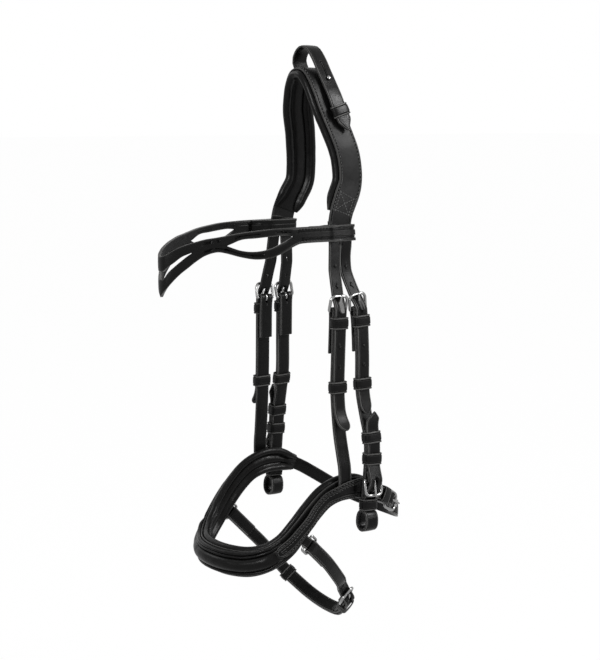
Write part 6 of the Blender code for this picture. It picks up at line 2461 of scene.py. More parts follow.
@dataclass
class CheekSide:
    """One cheek strap: its strap buckle, its bit loop, its bit buckle and all its keepers."""

    lines: BridleLines
    side: Side
    fixed_drop: float = 9.8 * MM
    runner_drop: dict[Side, float] = field(
        default_factory=lambda: {Side.NEAR: 63.5 * MM, Side.FAR: 78 * MM})
    loop_keeper_drop: float = 22 * MM
    loop_radius: float = 6.8 * MM
    loop_neck: float = 8.5 * MM
    loop_swell: tuple[Pair, ...] = ((-0.2, 0.42), (0.1, 0.78), (0.5, 0.97))
    chape_length: float = 42 * MM
    chape_return: float = 7.5 * MM
    keeper_rise: float = 18 * MM
    keeper_pitch: float = 17.5 * MM
    tip_rise: float = 56 * MM
    point: float = 8 * MM
    tip_flare: float = 9 * MM
    ease_share: float = 0.75
    lay_share: float = 0.78

    def build(self, fitter: Fitter) -> None:
        """Make the side's pieces."""
        lines, tag, side = self.lines, self.side.tag, self.side
        buckle, bit = lines.cheek_buckle, lines.bit_buckle
        ribbon, profile = self.strap_line()
        strap = strap_object(f"cheek_strap_{tag}_leather", ribbon, creased=Creased.BOTH,
                             side=side)
        fitter.fit(punch(strap, (buckle.slot(), bit.through()), (side,)), f"cheek_strap_{tag}",
                   STRAP_FINISH)
        sewing = Sewing()
        fold_end = profile.run_where(MAKING.fold_length, True)
        start = profile.run_where(MAKING.fold_settle + 12 * MM, True)
        sewing.row(ribbon, MAKING.strap, 2.1 * MM, start, fold_end - 1 * MM, side)
        fitter.sew(sewing, f"cheek_sewing_{tag}", f"cheek_strap_{tag}")
        for maker, name, which in ((frame_wire, "cheek_buckle_frame", buckle),
                                   (tongue_wire, "cheek_buckle_tongue", buckle),
                                   (frame_wire, "bit_buckle_frame", bit),
                                   (tongue_wire, "bit_buckle_tongue", bit)):
            fitter.fit(maker(which, f"{name}_{tag}_steel", side), f"{name}_{tag}", BUCKLE_FINISH)
        self.chape(fitter)
        self.keepers(fitter)

    def under(self) -> float:
        """Where the returned strap lies over the bit chape, from the bit buckle's bar."""
        bit = self.lines.bit_buckle
        return MAKING.thin / 2 + MAKING.fit_gap + MAKING.strap / 2 - bit.fold_radius

    def strap_line(self) -> tuple[Ribbon, Profile]:
        """Lay the strap from its fold, down round the bit loop and up through the bit buckle.

        Returns:
            The strap and its line.
        """
        lines = self.lines
        buckle, bit = lines.cheek_buckle, lines.bit_buckle
        stack = buckle.stack
        half = MAKING.strap_width / 2
        run = bit.stack.start - stack.start
        rise = bit.stack.base
        loop_top = run + self.loop_keeper_drop + MAKING.keeper_height / 2 + MAKING.strap
        middle = (lines.lay + lines.billet_lay) / 2
        centre = loop_top + self.loop_neck
        corners = buckle.fold(lines.lay, MAKING.fold_length)
        corners.append((loop_top, lines.lay))
        corners += [(loop_top + self.loop_neck * far, middle - self.loop_radius * wide)
                    for far, wide in self.loop_swell]
        for turn in range(90, 271, 15):
            angle = math.radians(turn)
            corners.append((centre - self.loop_radius * math.cos(angle),
                            middle - self.loop_radius * math.sin(angle)))
        corners += [(loop_top + self.loop_neck * far, middle + self.loop_radius * wide)
                    for far, wide in reversed(self.loop_swell)]
        held = loop_top - MAKING.keeper_height - MAKING.strap - MAKING.fit_gap
        corners += [(loop_top, lines.billet_lay), (held, lines.billet_lay)]
        under = self.under()
        gap = MAKING.fit_gap
        back = [(bit.entry.x, bit.entry.y), (bit.touch.x, bit.touch.y),
                (bit.over_radius * math.sin(bit.tilt) / 2,
                 bit.over_radius * math.cos(bit.tilt / 2)),
                (self.chape_return / 2, bit.over_radius * self.ease_share),
                (self.chape_return + gap, MAKING.strap * self.lay_share),
                (self.keeper_rise - MAKING.keeper_height / 2, under)]
        bend = self.keeper_rise + self.keeper_pitch + MAKING.keeper_height / 2 + gap
        back += [(bend + (self.tip_rise - bend) * share, under + self.tip_flare * share ** 1.6)
                 for share in (0, 0.2, 0.4, 0.6, 0.8, 1.0)]
        corners += [(run - u, rise + n) for u, n in back]
        profile = Profile(corners)
        ribbon = Ribbon.along(stack, profile, half, (Tip.SQUARE, Tip.POINT), self.point)
        return ribbon, profile

    def chape(self, fitter: Fitter) -> None:
        """Make the short folded strap that holds the bit buckle."""
        bit = self.lines.bit_buckle
        radius = bit.fold_radius
        corners = [(self.chape_length, -radius), (MAKING.fold_settle, -radius)]
        for share in (-1.0, -0.75, -0.5, -0.25, 0.0, 0.25, 0.5, 0.75, 1.0, 1.2, 1.4):
            turn = share * MAKING.fold_arc
            corners.append((-radius * math.cos(turn), radius * math.sin(turn)))
        corners.append((self.chape_return, MAKING.thin + MAKING.fit_gap - radius))
        ribbon = Ribbon.along(bit.stack, Profile(corners), MAKING.strap_width / 2)
        name = f"bit_chape_{self.side.tag}"
        strap = strap_object(f"{name}_leather", ribbon, MAKING.thin, PLAIN_SECTION,
                             side=self.side)
        fitter.fit(punch(strap, (bit.slot(),), (self.side,)), name, STRAP_FINISH)

    def keepers(self, fitter: Fitter) -> None:
        """Make the side's keepers and its runner."""
        lines, tag, side = self.lines, self.side.tag, self.side
        stack = lines.cheek_buckle.stack
        top = lines.billet_lay + MAKING.strap / 2
        low = lines.lay - MAKING.strap / 2
        run = lines.bit_buckle.stack.start - stack.start
        outer = lines.bit_buckle.stack.base + self.under() + MAKING.strap / 2
        fixed = Keeper(stack, self.fixed_drop, 0, top, side=side)
        fitter.fit(fixed.tucked(f"cheek_fixed_keeper_{tag}_leather"),
                   f"cheek_fixed_keeper_{tag}", KEEPER_FINISH)
        runner = Keeper(stack, self.runner_drop[side], low, top, gap=MAKING.slide_gap, side=side)
        fitter.fit(runner.band(f"cheek_runner_keeper_{tag}_leather"),
                   f"cheek_runner_keeper_{tag}", KEEPER_FINISH)
        for name, drop, high in (
                ("bit_lower_keeper", run - self.keeper_rise, outer),
                ("bit_upper_keeper", run - self.keeper_rise - self.keeper_pitch, outer),
                ("bit_loop_keeper", run + self.loop_keeper_drop, top)):
            keeper = Keeper(stack, drop, low, high, side=side)
            fitter.fit(keeper.band(f"{name}_{tag}_leather"), f"{name}_{tag}", KEEPER_FINISH)


@dataclass
class HangerSide:
    """One strap that carries the noseband, with its buckle and keepers."""

    lines: BridleLines
    side: Side
    fixed_drop: float = 9.8 * MM
    runner_drop: dict[Side, float] = field(
        default_factory=lambda: {Side.NEAR: 64.5 * MM, Side.FAR: 76.5 * MM})
    end_trim: float = 1.5 * MM

    def build(self, fitter: Fitter) -> None:
        """Make the side's pieces."""
        lines, tag, side = self.lines, self.side.tag, self.side
        buckle = lines.hanger_buckle
        stack = buckle.stack
        end = stack.route.total - stack.start - self.end_trim
        corners = buckle.fold(lines.lay, MAKING.fold_length) + [(end, lines.lay)]
        profile = Profile(corners)
        ribbon = Ribbon.along(stack, profile, MAKING.strap_width / 2)
        strap = strap_object(f"hanger_strap_{tag}_leather", ribbon, side=side)
        fitter.fit(punch(strap, (buckle.slot(),), (side,)), f"hanger_strap_{tag}", STRAP_FINISH)
        sewing = Sewing()
        start = profile.run_where(MAKING.fold_settle + 12 * MM, True)
        fold_end = profile.run_where(MAKING.fold_length, True)
        sewing.row(ribbon, MAKING.strap, 2.1 * MM, start, fold_end - 1 * MM, side)
        fitter.sew(sewing, f"hanger_sewing_{tag}", f"hanger_strap_{tag}")
        for maker, name in ((frame_wire, "hanger_buckle_frame"),
                            (tongue_wire, "hanger_buckle_tongue")):
            fitter.fit(maker(buckle, f"{name}_{tag}_steel", side), f"{name}_{tag}",
                       BUCKLE_FINISH)
        top = lines.billet_lay + MAKING.strap / 2
        low = lines.lay - MAKING.strap / 2
        fixed = Keeper(stack, self.fixed_drop, 0, top, side=side)
        fitter.fit(fixed.tucked(f"hanger_fixed_keeper_{tag}_leather"),
                   f"hanger_fixed_keeper_{tag}", KEEPER_FINISH)
        runner = Keeper(stack, self.runner_drop[side], low, top, gap=MAKING.slide_gap, side=side)
        fitter.fit(runner.band(f"hanger_runner_{tag}_leather"), f"hanger_runner_{tag}",
                   KEEPER_FINISH)


@dataclass
class Noseband:
    """Backing, padded lining, front roll and sewn side panels of the noseband."""

    lines: BridleLines
    backing: float = 2 * MM
    side_height: float = 18 * MM
    backing_end: float = 24 * MM
    lining_depth: float = 5.6 * MM
    lining_radius: float = 3.1 * MM
    lining_proud: float = 2.4 * MM
    lining_proud_low: float = 2.6 * MM
    channel: float = 1.2 * MM
    end_lip: float = 14 * MM
    end_fade: float = 34 * MM
    end_height: float = 0.84
    roll_depth: float = 6 * MM
    roll_height: float = 20 * MM
    roll_end: float = 67 * MM
    roll_lip_run: float = 10 * MM
    roll_taper: float = 12 * MM
    roll_lip: float = 1.8 * MM
    beads: tuple[tuple[Pair, ...], ...] = (
        ((1.00, 0.00), (1.01, 0.22), (0.95, 0.42), (0.86, 0.47), (0.77, 0.42), (0.72, 0.24)),
        ((0.72, 0.24), (0.68, 0.42), (0.58, 0.51), (0.49, 0.44), (0.44, 0.26)),
        ((0.44, 0.26), (0.40, 0.56), (0.28, 0.80), (0.14, 0.94), (-0.02, 1.00), (-0.20, 0.98),
         (-0.38, 0.88), (-0.54, 0.68), (-0.66, 0.44), (-0.72, 0.24)),
        ((-0.72, 0.24), (-0.78, 0.38), (-0.87, 0.42), (-0.96, 0.36), (-1.01, 0.20),
         (-1.00, 0.00)))
    panel: float = 1.8 * MM
    panel_height: float = 17.5 * MM
    front_reach: float = 74 * MM
    roll_reach: float = 65 * MM
    tab_reach: float = 46 * MM
    tab_end: float = 39 * MM
    hanger_front: float = 19 * MM
    hanger_rear: float = 3.5 * MM
    step_length: float = 9 * MM
    panel_end: float = 14 * MM
    hanger_stand: float = 0.9 * MM
    front_round: float = 8 * MM

    def build(self, fitter: Fitter) -> None:
        """Make the noseband's pieces."""
        nose = self.lines.nose
        middle = nose.total / 2
        end = nose.length_at(1, self.backing_end, middle)
        places = []
        count = round((2 * end - nose.total) / (2.6 * MM))
        for k in range(count + 1):
            s = nose.total - end + (2 * end - nose.total) * k / count
            point, _, across, _, height = nose.at(s)
            places.append((point, across, height / 2, s))
        backing = strap_object("noseband_backing_leather", Ribbon.through(places), self.backing,
                               PLAIN_SECTION, Creased.NEITHER)
        fitter.fit(backing, "noseband_backing", PANEL_FINISH)
        fitter.fit(self.lining(), "noseband_lining", PAD_FINISH)
        fitter.fit(self.roll(), "nose_roll", PAD_FINISH)
        for side in Side:
            ribbon = self.panel_line()
            panel = strap_object(f"noseband_overlay_{side.tag}_leather", ribbon, self.panel,
                                 PANEL_SECTION, side=side)
            fitter.fit(panel, f"noseband_overlay_{side.tag}", PANEL_FINISH)
            sewing = Sewing()
            for inset in (1.7 * MM, 4.6 * MM):
                start = inset + 1.2 * MM if inset > 3 * MM else 4.5 * MM
                sewing.row(ribbon, self.panel, inset, start, ribbon.total - 3 * MM, side,
                           (1,) if inset > 3 * MM else (1, -1), PANEL_SECTION)
            for inset in (1.7 * MM, 4.6 * MM):
                sewing.line(self.front_seam(ribbon, inset), side)
            fitter.sew(sewing, f"noseband_sewing_{side.tag}", f"noseband_overlay_{side.tag}")

    def front_seam(self, ribbon: Ribbon, inset: float) -> list[tuple[Vector, Vector]]:
        """Lay the seam that follows a panel's rounded front end.

        Args:
            ribbon: the panel.
            inset: distance from its edge.

        Returns:
            Places and the ways out of the leather.
        """
        places = []
        full = ribbon.at(self.front_round).half - inset
        for k in range(25):
            turn = math.pi * (k / 24 - 0.5)
            run = inset + (self.front_round - inset) * (1 - math.cos(turn))
            row = ribbon.at(run)
            across = full * math.sin(turn)
            places.append((row.on_face(across, self.panel, PANEL_SECTION), row.normal))
        return places

    def panel_line(self) -> Ribbon:
        """Lay a side panel over the roll's lip, the chin tab and the hanging strap."""
        nose = self.lines.nose
        middle = nose.total / 2
        gap = MAKING.fit_gap
        lay = self.backing / 2 + gap + self.panel / 2
        over_roll = lay + self.roll_lip + gap
        over_tab = lay + MAKING.thin + 2 * MAKING.slide_gap
        over_hanger = lay + MAKING.strap + gap + self.hanger_stand
        corners = []
        for y, n in ((-self.front_reach, over_roll), (-self.roll_reach, over_roll),
                     (-self.tab_reach, over_tab), (-self.tab_end, lay),
                     (-self.hanger_front - self.step_length, lay),
                     (-self.hanger_front, over_hanger), (-self.hanger_rear, over_hanger),
                     (self.step_length - self.hanger_rear, lay), (self.panel_end, lay)):
            corners.append((nose.length_at(1, y, middle), n))

        def width_at(s: float) -> float:
            return nose.height(s) / self.side_height

        return Ribbon.along(Stack(nose, 0), Profile(corners), self.panel_height / 2,
                            (Tip.ROUND, Tip.SQUARE), self.front_round, width_at)

    def lining(self) -> bpy.types.Object:
        """Make the padded lining, a roll at each edge and a channel beside it."""
        nose = self.lines.nose
        end = nose.length_at(1, self.backing_end, nose.total / 2)
        start = nose.total - end
        face = -self.backing / 2 - MAKING.slide_gap
        sections = []
        for s in even_runs(start, end, 2.1 * MM, self.end_lip, True):
            distance = min(s - start, end - s)
            swell = pad_swell(distance, self.end_lip)
            proud = max(0.0, 1 - (1 - min(distance / self.end_fade, 1)) ** 2)
            height = nose.height(s) * (self.end_height + (1 - self.end_height) * proud)
            pucker = 1 + 0.03 * noise.noise(Vector((s * 170, 5.0, 0)))
            radius = self.lining_radius * swell * pucker
            top = height / 2 + self.lining_proud * proud - radius
            low = -height / 2 - self.lining_proud_low * proud + radius
            depth = self.lining_depth * swell
            points = roll_points(top, face - radius, radius, range(90, -141, -14))
            inner = top - radius - self.channel
            lower = low + radius + self.channel
            mid = (top + low) / 2
            points += [(inner + 0.5 * MM, face - depth * 0.52), (inner, face - depth * 0.48),
                       (inner - 0.9 * MM, face - depth * 0.64),
                       (mid + 1.6 * MM, face - depth * 0.78), (mid, face - depth * 0.80),
                       (mid - 1.6 * MM, face - depth * 0.78),
                       (lower + 0.9 * MM, face - depth * 0.64), (lower, face - depth * 0.48),
                       (lower - 0.5 * MM, face - depth * 0.52)]
            points += roll_points(low, face - radius, radius, range(-40, -271, -14))
            sections.append([nose.place(s, v, n) for v, n in points])
        return loft_object("noseband_lining_padding", sections)

    def roll(self) -> bpy.types.Object:
        """Make the padded front roll with its beads and seams."""
        nose = self.lines.nose
        end = nose.length_at(1, -self.roll_end, nose.total / 2)
        start = nose.total - end
        face = self.backing / 2 + MAKING.slide_gap
        outline: list[Row] = []
        for bead in self.beads:
            line = smooth_line(bead, 3)
            outline += line[1:] if outline else line
        sections = []
        for s in even_runs(start, end, 2.1 * MM, self.roll_taper, True):
            distance = min(s - start, end - s)
            swell = pad_swell(max(0, distance - self.roll_lip_run), self.roll_taper)
            tall = self.roll_height / 2 * (1 - 0.25 * (1 - swell))
            section = []
            for v, n in outline:
                full = 1 + 0.035 * noise.noise(Vector((s * 120, v * 1.7, 3.0))) * min(1, 2 * n)
                section.append((v * tall, face + n * self.roll_depth * swell * full))
            sections.append([nose.place(s, v, n) for v, n in section])
        return loft_object("nose_roll_padding", sections)


@dataclass
class JawStrap:
    """The strap behind the jaw with its roller buckle and keeper."""

    lines: BridleLines
    width: float = 11.5 * MM
    buckle_reach: float = 41 * MM
    chape_start: float = 15.5 * MM
    backing_end: float = 24 * MM
    far_seam: float = 15.5 * MM
    tip_length: float = 27 * MM
    keeper_drop: float = 11 * MM
    base: float = 1.3 * MM
    tilt: float = math.radians(12)
    settle: float = 22 * MM
    relief_run: float = 34 * MM
    relief: float = 4.6 * MM
    roller_wall: float = 0.6 * MM

    def build(self, fitter: Fitter) -> None:
        """Make the jaw strap's pieces."""
        route = self.lines.jaw
        start = route.length_at(1, self.buckle_reach)
        stack = Stack(route, start, -1, self.base)
        half = self.width / 2
        roller = Buckle.wire + MAKING.slide_gap + self.roller_wall
        buckle = Buckle(stack, MAKING.strap, self.width, self.tilt, roller, MAKING.loose_gap)
        lay = (MAKING.strap + MAKING.slide_gap) / 2
        chape_start = start - route.length_at(1, self.chape_start)
        fold_end = start - route.length_at(1, self.backing_end) - MAKING.fit_gap
        profile = Profile(buckle.fold(lay, fold_end) + [(chape_start, lay)])
        ribbon = Ribbon.along(stack, profile, half)
        chape = strap_object("jaw_chape_leather", ribbon)
        fitter.fit(punch(chape, (buckle.slot(),), (Side.NEAR,)), "jaw_chape", STRAP_FINISH)
        sewing = Sewing()
        first = profile.run_where(MAKING.fold_settle + 12 * MM, True)
        sewing.row(ribbon, MAKING.strap, 2.0 * MM, first, profile.total - 2 * MM, Side.NEAR)
        fitter.fit(frame_wire(buckle, "jaw_buckle_frame_steel", Side.NEAR), "jaw_buckle_frame",
                   BUCKLE_FINISH)
        fitter.fit(tongue_wire(buckle, "jaw_buckle_tongue_steel", Side.NEAR),
                   "jaw_buckle_tongue", BUCKLE_FINISH)
        bar = stack.place(buckle.rest_bar.x, 0, buckle.rest_bar.y)
        inner = Buckle.wire + MAKING.slide_gap
        reach = half + buckle.side_gap + Buckle.wire - buckle.corner - MAKING.fit_gap
        lip = 0.15 * MM
        outline = [(roller, reach - lip), (roller, lip - reach), (roller - lip, -reach),
                   (inner, -reach), (inner, reach), (roller - lip, reach)]
        fitter.fit(turned_object("jaw_roller_steel", outline, bar, buckle.across(), True),
                   "jaw_roller", BUCKLE_FINISH)
        billet_lay = lay + MAKING.strap + MAKING.slide_gap
        far_end = start - (route.total - route.length_at(1, self.far_seam))
        corners = [(far_end, lay), (far_end + 12 * MM, lay), (far_end + 24 * MM, 0.0),
                   (-self.relief_run, 0.0), (-self.settle, -self.relief)]
        corners += buckle.over(billet_lay) + [(self.tip_length, billet_lay)]
        profile = Profile(corners)
        strap_line = Ribbon.along(stack, profile, half, (Tip.SQUARE, Tip.ROUND))
        strap = strap_object("jaw_strap_leather", strap_line)
        fitter.fit(punch(strap, (buckle.through(),), (Side.NEAR,)), "jaw_strap", STRAP_FINISH)
        sewing.row(strap_line, MAKING.strap, 2.0 * MM, 2 * MM, 14 * MM, Side.NEAR)
        fitter.sew(sewing, "jaw_sewing", "jaw_strap")
        keeper = Keeper(stack, self.keeper_drop, -lay - MAKING.strap / 2,
                        billet_lay + MAKING.strap / 2, half)
        fitter.fit(keeper.band("jaw_keeper_leather"), "jaw_keeper", KEEPER_FINISH)


@dataclass
class ChinStrap:
    """The chin strap in two halves, its buckle, keepers, rings and tabs."""

    lines: BridleLines
    width: float = 11.5 * MM
    buckle_share: float = 0.63
    fold_length: float = 24 * MM
    end_fold: float = 26 * MM
    tip_length: float = 92 * MM
    runner_drop: float = 85 * MM
    keeper_drop: float = 10 * MM
    keeper_height: float = 8 * MM
    tilt: float = math.radians(12)
    settle: float = 22 * MM
    relief_run: float = 34 * MM
    relief: float = 1.2 * MM
    ring_wire: float = 1.1 * MM
    ring_pitch: float = 7.6 * MM
    tab_width: float = 9.5 * MM
    tab_rise: float = 12 * MM
    backing: float = 2 * MM

    def build(self, fitter: Fitter) -> None:
        """Make the chin strap's pieces."""
        route = self.lines.chin
        half = self.width / 2
        start = route.total * (1 - self.buckle_share)
        stack = Stack(route, start)
        buckle = Buckle(stack, MAKING.strap, self.width, self.tilt, gap=MAKING.loose_gap)
        lay = (MAKING.strap + MAKING.slide_gap) / 2
        billet_lay = lay + MAKING.strap + MAKING.slide_gap
        near, far = Stack(route, 0), Stack(route, route.total, -1)
        sewing = Sewing()
        for end, side in ((near, Side.NEAR), (far, Side.FAR)):
            fitter.fit(self.ring(end, side), f"chin_ring_{side.tag}", BUCKLE_FINISH)
            self.tab(fitter, end, side)
        run = route.total - start
        corners = buckle.fold(lay, self.fold_length)
        corners += [(run - u, n) for u, n in reversed(self.ring_fold(lay))]
        profile = Profile(corners)
        ribbon = Ribbon.along(stack, profile, half)
        strap = strap_object("chin_buckle_strap_leather", ribbon, creased=Creased.BOTH)
        fitter.fit(punch(strap, (buckle.slot(),), (Side.NEAR,)), "chin_buckle_strap",
                   STRAP_FINISH)
        first = profile.run_where(MAKING.fold_settle + 12 * MM, True)
        turn = profile.run_where(run - self.end_fold, False)
        sewing.row(ribbon, MAKING.strap, 2.0 * MM, first,
                   profile.run_where(self.fold_length, True) - 1 * MM, Side.NEAR)
        last = profile.run_where(run - MAKING.fold_settle - 3 * MM, False)
        sewing.row(ribbon, MAKING.strap, 2.0 * MM, max(turn, first), last, Side.NEAR)
        fitter.fit(frame_wire(buckle, "chin_buckle_frame_steel", Side.NEAR),
                   "chin_buckle_frame", BUCKLE_FINISH)
        fitter.fit(tongue_wire(buckle, "chin_buckle_tongue_steel", Side.NEAR),
                   "chin_buckle_tongue", BUCKLE_FINISH)
        corners = [(u - start, n) for u, n in self.ring_fold(lay)]
        corners += [(-self.relief_run, lay), (-self.settle, -self.relief)]
        corners += buckle.over(billet_lay) + [(self.tip_length, billet_lay)]
        profile = Profile(corners)
        billet_line = Ribbon.along(stack, profile, half, (Tip.SQUARE, Tip.ROUND))
        billet = strap_object("chin_billet_strap_leather", billet_line, creased=Creased.BOTH)
        fitter.fit(punch(billet, (buckle.through(),), (Side.NEAR,)), "chin_billet_strap",
                   STRAP_FINISH)
        begin = profile.run_where(MAKING.fold_settle + 3 * MM - start, True)
        stop = profile.run_where(self.end_fold - start, True)
        sewing.row(billet_line, MAKING.strap, 2.0 * MM, begin, stop - 1 * MM, Side.NEAR)
        fitter.sew(sewing, "chin_sewing", "chin_buckle_strap")
        low = -lay - MAKING.strap / 2
        high = billet_lay + MAKING.strap / 2
        keeper = Keeper(stack, self.keeper_drop, low, high, half, self.keeper_height)
        fitter.fit(keeper.band("chin_fixed_keeper_leather"), "chin_fixed_keeper", KEEPER_FINISH)
        runner = Keeper(stack, self.runner_drop, lay - MAKING.strap / 2, high, half,
                        self.keeper_height, MAKING.slide_gap)
        fitter.fit(runner.band("chin_runner_leather"), "chin_runner", KEEPER_FINISH)

    def ring_fold(self, lay: float) -> list[Pair]:
        """Lay a strap end round a ring's lower bar.

        Args:
            lay: how far its layers lie from the bar's line.

        Returns:
            The profile.
        """
        radius = self.ring_wire + MAKING.fit_gap + MAKING.strap / 2
        places = [(self.end_fold, -lay), (MAKING.fold_settle, -lay)]
        for k in range(13):
            turn = (k / 6 - 1) * MAKING.fold_arc
            places.append((-radius * math.cos(turn), radius * math.sin(turn)))
        return places + [(MAKING.fold_settle, lay)]

    def ring(self, stack: Stack, side: Side) -> bpy.types.Object:
        """Bend a closed ring between a tab and an end of the strap.

        Args:
            stack: the layers at that end.
            side: the side of the horse.

        Returns:
            The ring.
        """
        half = self.width / 2 + Buckle.side_gap + self.ring_wire
        corner = Buckle.hinge_corner
        outline = arc_points(self.ring_pitch - corner, half - corner, corner, 0)
        outline += arc_points(corner, half - corner, corner, 1)
        outline += [(x, -y) for x, y in reversed(outline)]
        points = [stack.place(-x, y, 0) for x, y in outline]
        return wire_object(f"chin_ring_{side.tag}_steel", points, self.ring_wire, True)

    def tab(self, fitter: Fitter, stack: Stack, side: Side) -> None:
        """Make the tab that hangs a ring from under the noseband's side panel.

        Args:
            fitter: where the tab goes.
            stack: the layers at that end of the chin strap.
            side: the side of the horse.
        """
        nose = self.lines.nose
        bar = reflect(stack.place(-self.ring_pitch, 0, 0), side)
        best = min(range(len(nose.points)), key=lambda i: (nose.points[i] - bar).length)
        s = nose.lengths[best]
        _, along, _, out, height = nose.at(s)
        lay = self.backing / 2 + MAKING.slide_gap + MAKING.thin / 2
        radius = self.ring_wire + MAKING.slide_gap + MAKING.thin / 2
        top = nose.place(s, self.tab_rise - height / 2, lay)
        edge = nose.place(s, -height / 2, lay)
        across = reflect(stack.place(-self.ring_pitch, self.width, 0), side) - bar
        across.normalize()
        if across.dot(along) < 0:
            across = -across
        down = bar - edge
        down = (down - across * down.dot(across)).normalized()
        face = across.cross(down)
        if face.dot(out) < 0:
            face = -face
        corners = [(top, along), (edge, along)]
        for turn in range(-30, 181, 15):
            angle = math.radians(turn)
            corners.append((bar + (down * math.sin(angle) + face * math.cos(angle)) * radius,
                            across))
        ribbon = Ribbon.through(eased_rows(corners, self.tab_width / 2))
        flip = ribbon.rows[0].normal.dot(out) < 0
        if flip:
            ribbon = Ribbon.through(eased_rows(corners, self.tab_width / 2), -1)
        name = f"chin_tab_{side.tag}"
        fitter.fit(strap_object(f"{name}_leather", ribbon, MAKING.thin, side=side), name,
                   STRAP_FINISH)


def eased_rows(corners: Sequence[tuple[Vector, Vector]], half: float, step: float = 1.0 * MM
               ) -> list[tuple[Vector, Vector, float, float]]:
    """Fill and ease rows between given ones.

    Args:
        corners: the middle and the direction across of each given row.
        half: half the strap's width.
        step: the distance between rows.

    Returns:
        Rows for a ribbon.
    """
    rows = []
    for (a, across_a), (b, across_b) in zip(corners, corners[1:]):
        count = max(1, round((b - a).length / step))
        rows += [(a.lerp(b, k / count), across_a.lerp(across_b, k / count).normalized())
                 for k in range(count)]
    rows.append(corners[-1])
    for _ in range(2):
        eased = [((a[0] + 2 * b[0] + c[0]) / 4, (a[1] + 2 * b[1] + c[1]).normalized())
                 for a, b, c in zip(rows, rows[1:], rows[2:])]
        rows = [rows[0], *eased, rows[-1]]
    run = 0.0
    made = []
    for i, (centre, across) in enumerate(rows):
        run += (centre - rows[i - 1][0]).length if i else 0
        made.append((centre, across, half, run))
    return made


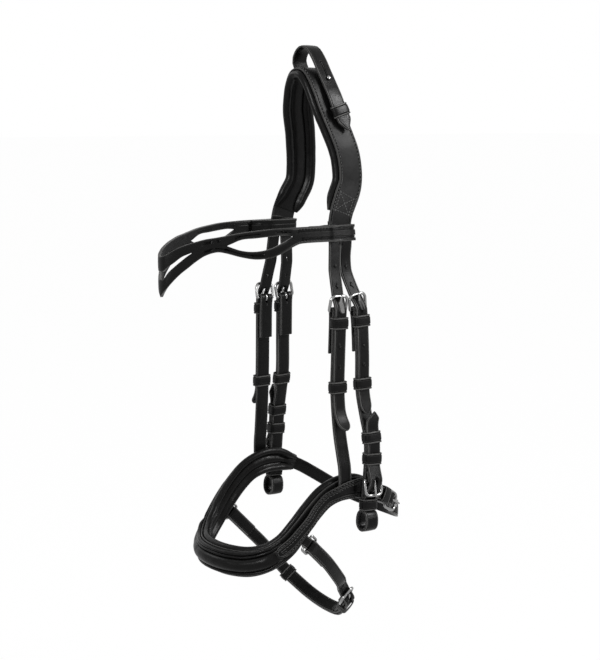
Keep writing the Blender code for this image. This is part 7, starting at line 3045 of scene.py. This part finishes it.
@dataclass
class Studio:
    """White floor, soft lights and the camera of the product picture."""

    turn: float = math.radians(55)
    pitch: float = math.atan(210 / 1380)
    place: Row = (0.97749607, -0.69612709, -0.03478261)
    lens: float = 75.27
    floor_drop: float = -0.56
    high_power: float = 26.0
    side_power: float = 5.0
    front_power: float = 26.0
    rim_power: float = 5.0
    ambient: float = 0.2
    floor_glow: float = 0.985

    def build(self) -> None:
        """Set up the room, the lights and the camera."""
        scene = bpy.context.scene
        scene.view_settings.view_transform = "Standard"
        self.sky()
        self.sweep_floor()
        self.light("high_softbox", (1.02, 0.95, 0.8), (0.4, 0.4), self.high_power)
        self.light("side_softbox", (1.28, 0.93, 0.15), (0.5, 0.3), self.side_power)
        self.light("front_light", (0.69, -1.4, 0.42), (0.45, 0.45), self.front_power)
        self.light("rim_light", (-1.2, -0.7, 0.8), (0.4, 0.4), self.rim_power)
        self.camera()

    def sky(self) -> None:
        """Light the room evenly, and show white where nothing stands."""
        world = bpy.data.worlds.new("white_room")
        bpy.context.scene.world = world
        world.use_nodes = True
        tree = world.node_tree
        background = tree.nodes["Background"]
        background.inputs["Color"].default_value = (1, 1, 1, 1)
        bench = NodeBench(tree)
        path = bench.add("ShaderNodeLightPath")
        seen = bench.calc("ADD", path.outputs["Is Camera Ray"],
                          bench.calc("ADD", path.outputs["Is Glossy Ray"],
                                     path.outputs["Is Transmission Ray"]), clamp=True)
        level = bench.calc("MULTIPLY", seen, 1 - self.ambient)
        tree.links.new(bench.calc("ADD", level, self.ambient), background.inputs["Strength"])

    def sweep_floor(self) -> None:
        """Lay the floor, white to the camera and darker where the bridle shades it."""
        build = bmesh.new()
        bmesh.ops.create_grid(build, x_segments=1, y_segments=1, size=40)
        floor = mesh_object("studio_floor", build)
        floor.location = (0, 0, self.floor_drop)
        made = bpy.data.materials.new("white_floor")
        made.use_nodes = True
        tree = made.node_tree
        shader = tree.nodes["Principled BSDF"]
        shader.inputs["Base Color"].default_value = (0.9, 0.9, 0.9, 1)
        shader.inputs["Roughness"].default_value = 0.9
        shader.inputs["Specular IOR Level"].default_value = 0.1
        bench = NodeBench(tree)
        path = bench.add("ShaderNodeLightPath")
        glow = bench.add("ShaderNodeEmission", {"Color": (1, 1, 1, 1), "Strength": 1.0})
        seen = bench.calc("ADD", path.outputs["Is Camera Ray"],
                          bench.calc("ADD", path.outputs["Is Glossy Ray"],
                                     path.outputs["Is Transmission Ray"]), clamp=True)
        share = bench.calc("MULTIPLY", seen, self.floor_glow)
        mix = bench.add("ShaderNodeMixShader", {0: share, 1: shader.outputs["BSDF"],
                                                2: glow.outputs["Emission"]})
        tree.links.new(mix.outputs["Shader"], tree.nodes["Material Output"].inputs["Surface"])
        floor.data.materials.append(made)
        floor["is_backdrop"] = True

    def light(self, name: str, place: Row, size: Pair, power: float) -> None:
        """Hang a soft light that faces the bridle.

        Args:
            name: the light's name.
            place: where it hangs.
            size: its width and height.
            power: its power in watts.
        """
        lamp = bpy.data.lights.new(name, "AREA")
        lamp.shape = "RECTANGLE"
        lamp.size, lamp.size_y = size
        lamp.energy = power
        obj = bpy.data.objects.new(name, lamp)
        obj.location = place
        aim = Vector((0, -0.03, -0.2)) - Vector(place)
        obj.rotation_euler = aim.to_track_quat("-Z", "Y").to_euler()
        bpy.context.scene.collection.objects.link(obj)
        obj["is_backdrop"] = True

    def camera(self) -> None:
        """Stand the camera where the picture was taken."""
        data = bpy.data.cameras.new("product_camera")
        data.sensor_width = 36
        data.lens = self.lens
        right = Vector((math.cos(self.turn), math.sin(self.turn), 0))
        level = Vector((-math.sin(self.turn), math.cos(self.turn), 0))
        ahead = level * math.cos(self.pitch) - Vector((0, 0, 1)) * math.sin(self.pitch)
        up = right.cross(ahead)
        obj = bpy.data.objects.new("product_camera", data)
        turned = Matrix((right, up, -ahead)).transposed().to_4x4()
        turned.translation = Vector(self.place)
        obj.matrix_world = turned
        bpy.context.scene.collection.objects.link(obj)
        bpy.context.scene.camera = obj


def write_sizes(packed: object) -> None:
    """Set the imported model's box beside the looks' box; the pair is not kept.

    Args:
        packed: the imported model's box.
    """
    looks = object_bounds()
    {"cad": plain(packed), "visual": plain(looks)}


def plain(value: object) -> object:
    """Turn vectors into plain lists of numbers."""
    if isinstance(value, dict):
        return {key: plain(item) for key, item in value.items()}
    if isinstance(value, (int, float, str)):
        return value
    return [plain(item) for item in value]


def main() -> None:
    """Build the looks of the whole bridle in order."""
    logging.basicConfig(level=logging.INFO, format="%(name)s: %(message)s")
    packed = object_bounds()
    lines = BridleLines()
    fitter = Fitter(frame)
    Crown(lines).build(fitter)
    HangingStrap(lines).build(fitter)
    Browband(lines).build(fitter)
    for side in Side:
        CheekSide(lines, side).build(fitter)
        HangerSide(lines, side).build(fitter)
    Noseband(lines).build(fitter)
    JawStrap(lines).build(fitter)
    ChinStrap(lines).build(fitter)
    Studio().build()
    LOG.info("nodes without looks of their own: %s", sorted(fitter.waiting))
    write_sizes(packed)


if __name__ == "__main__":
    main()
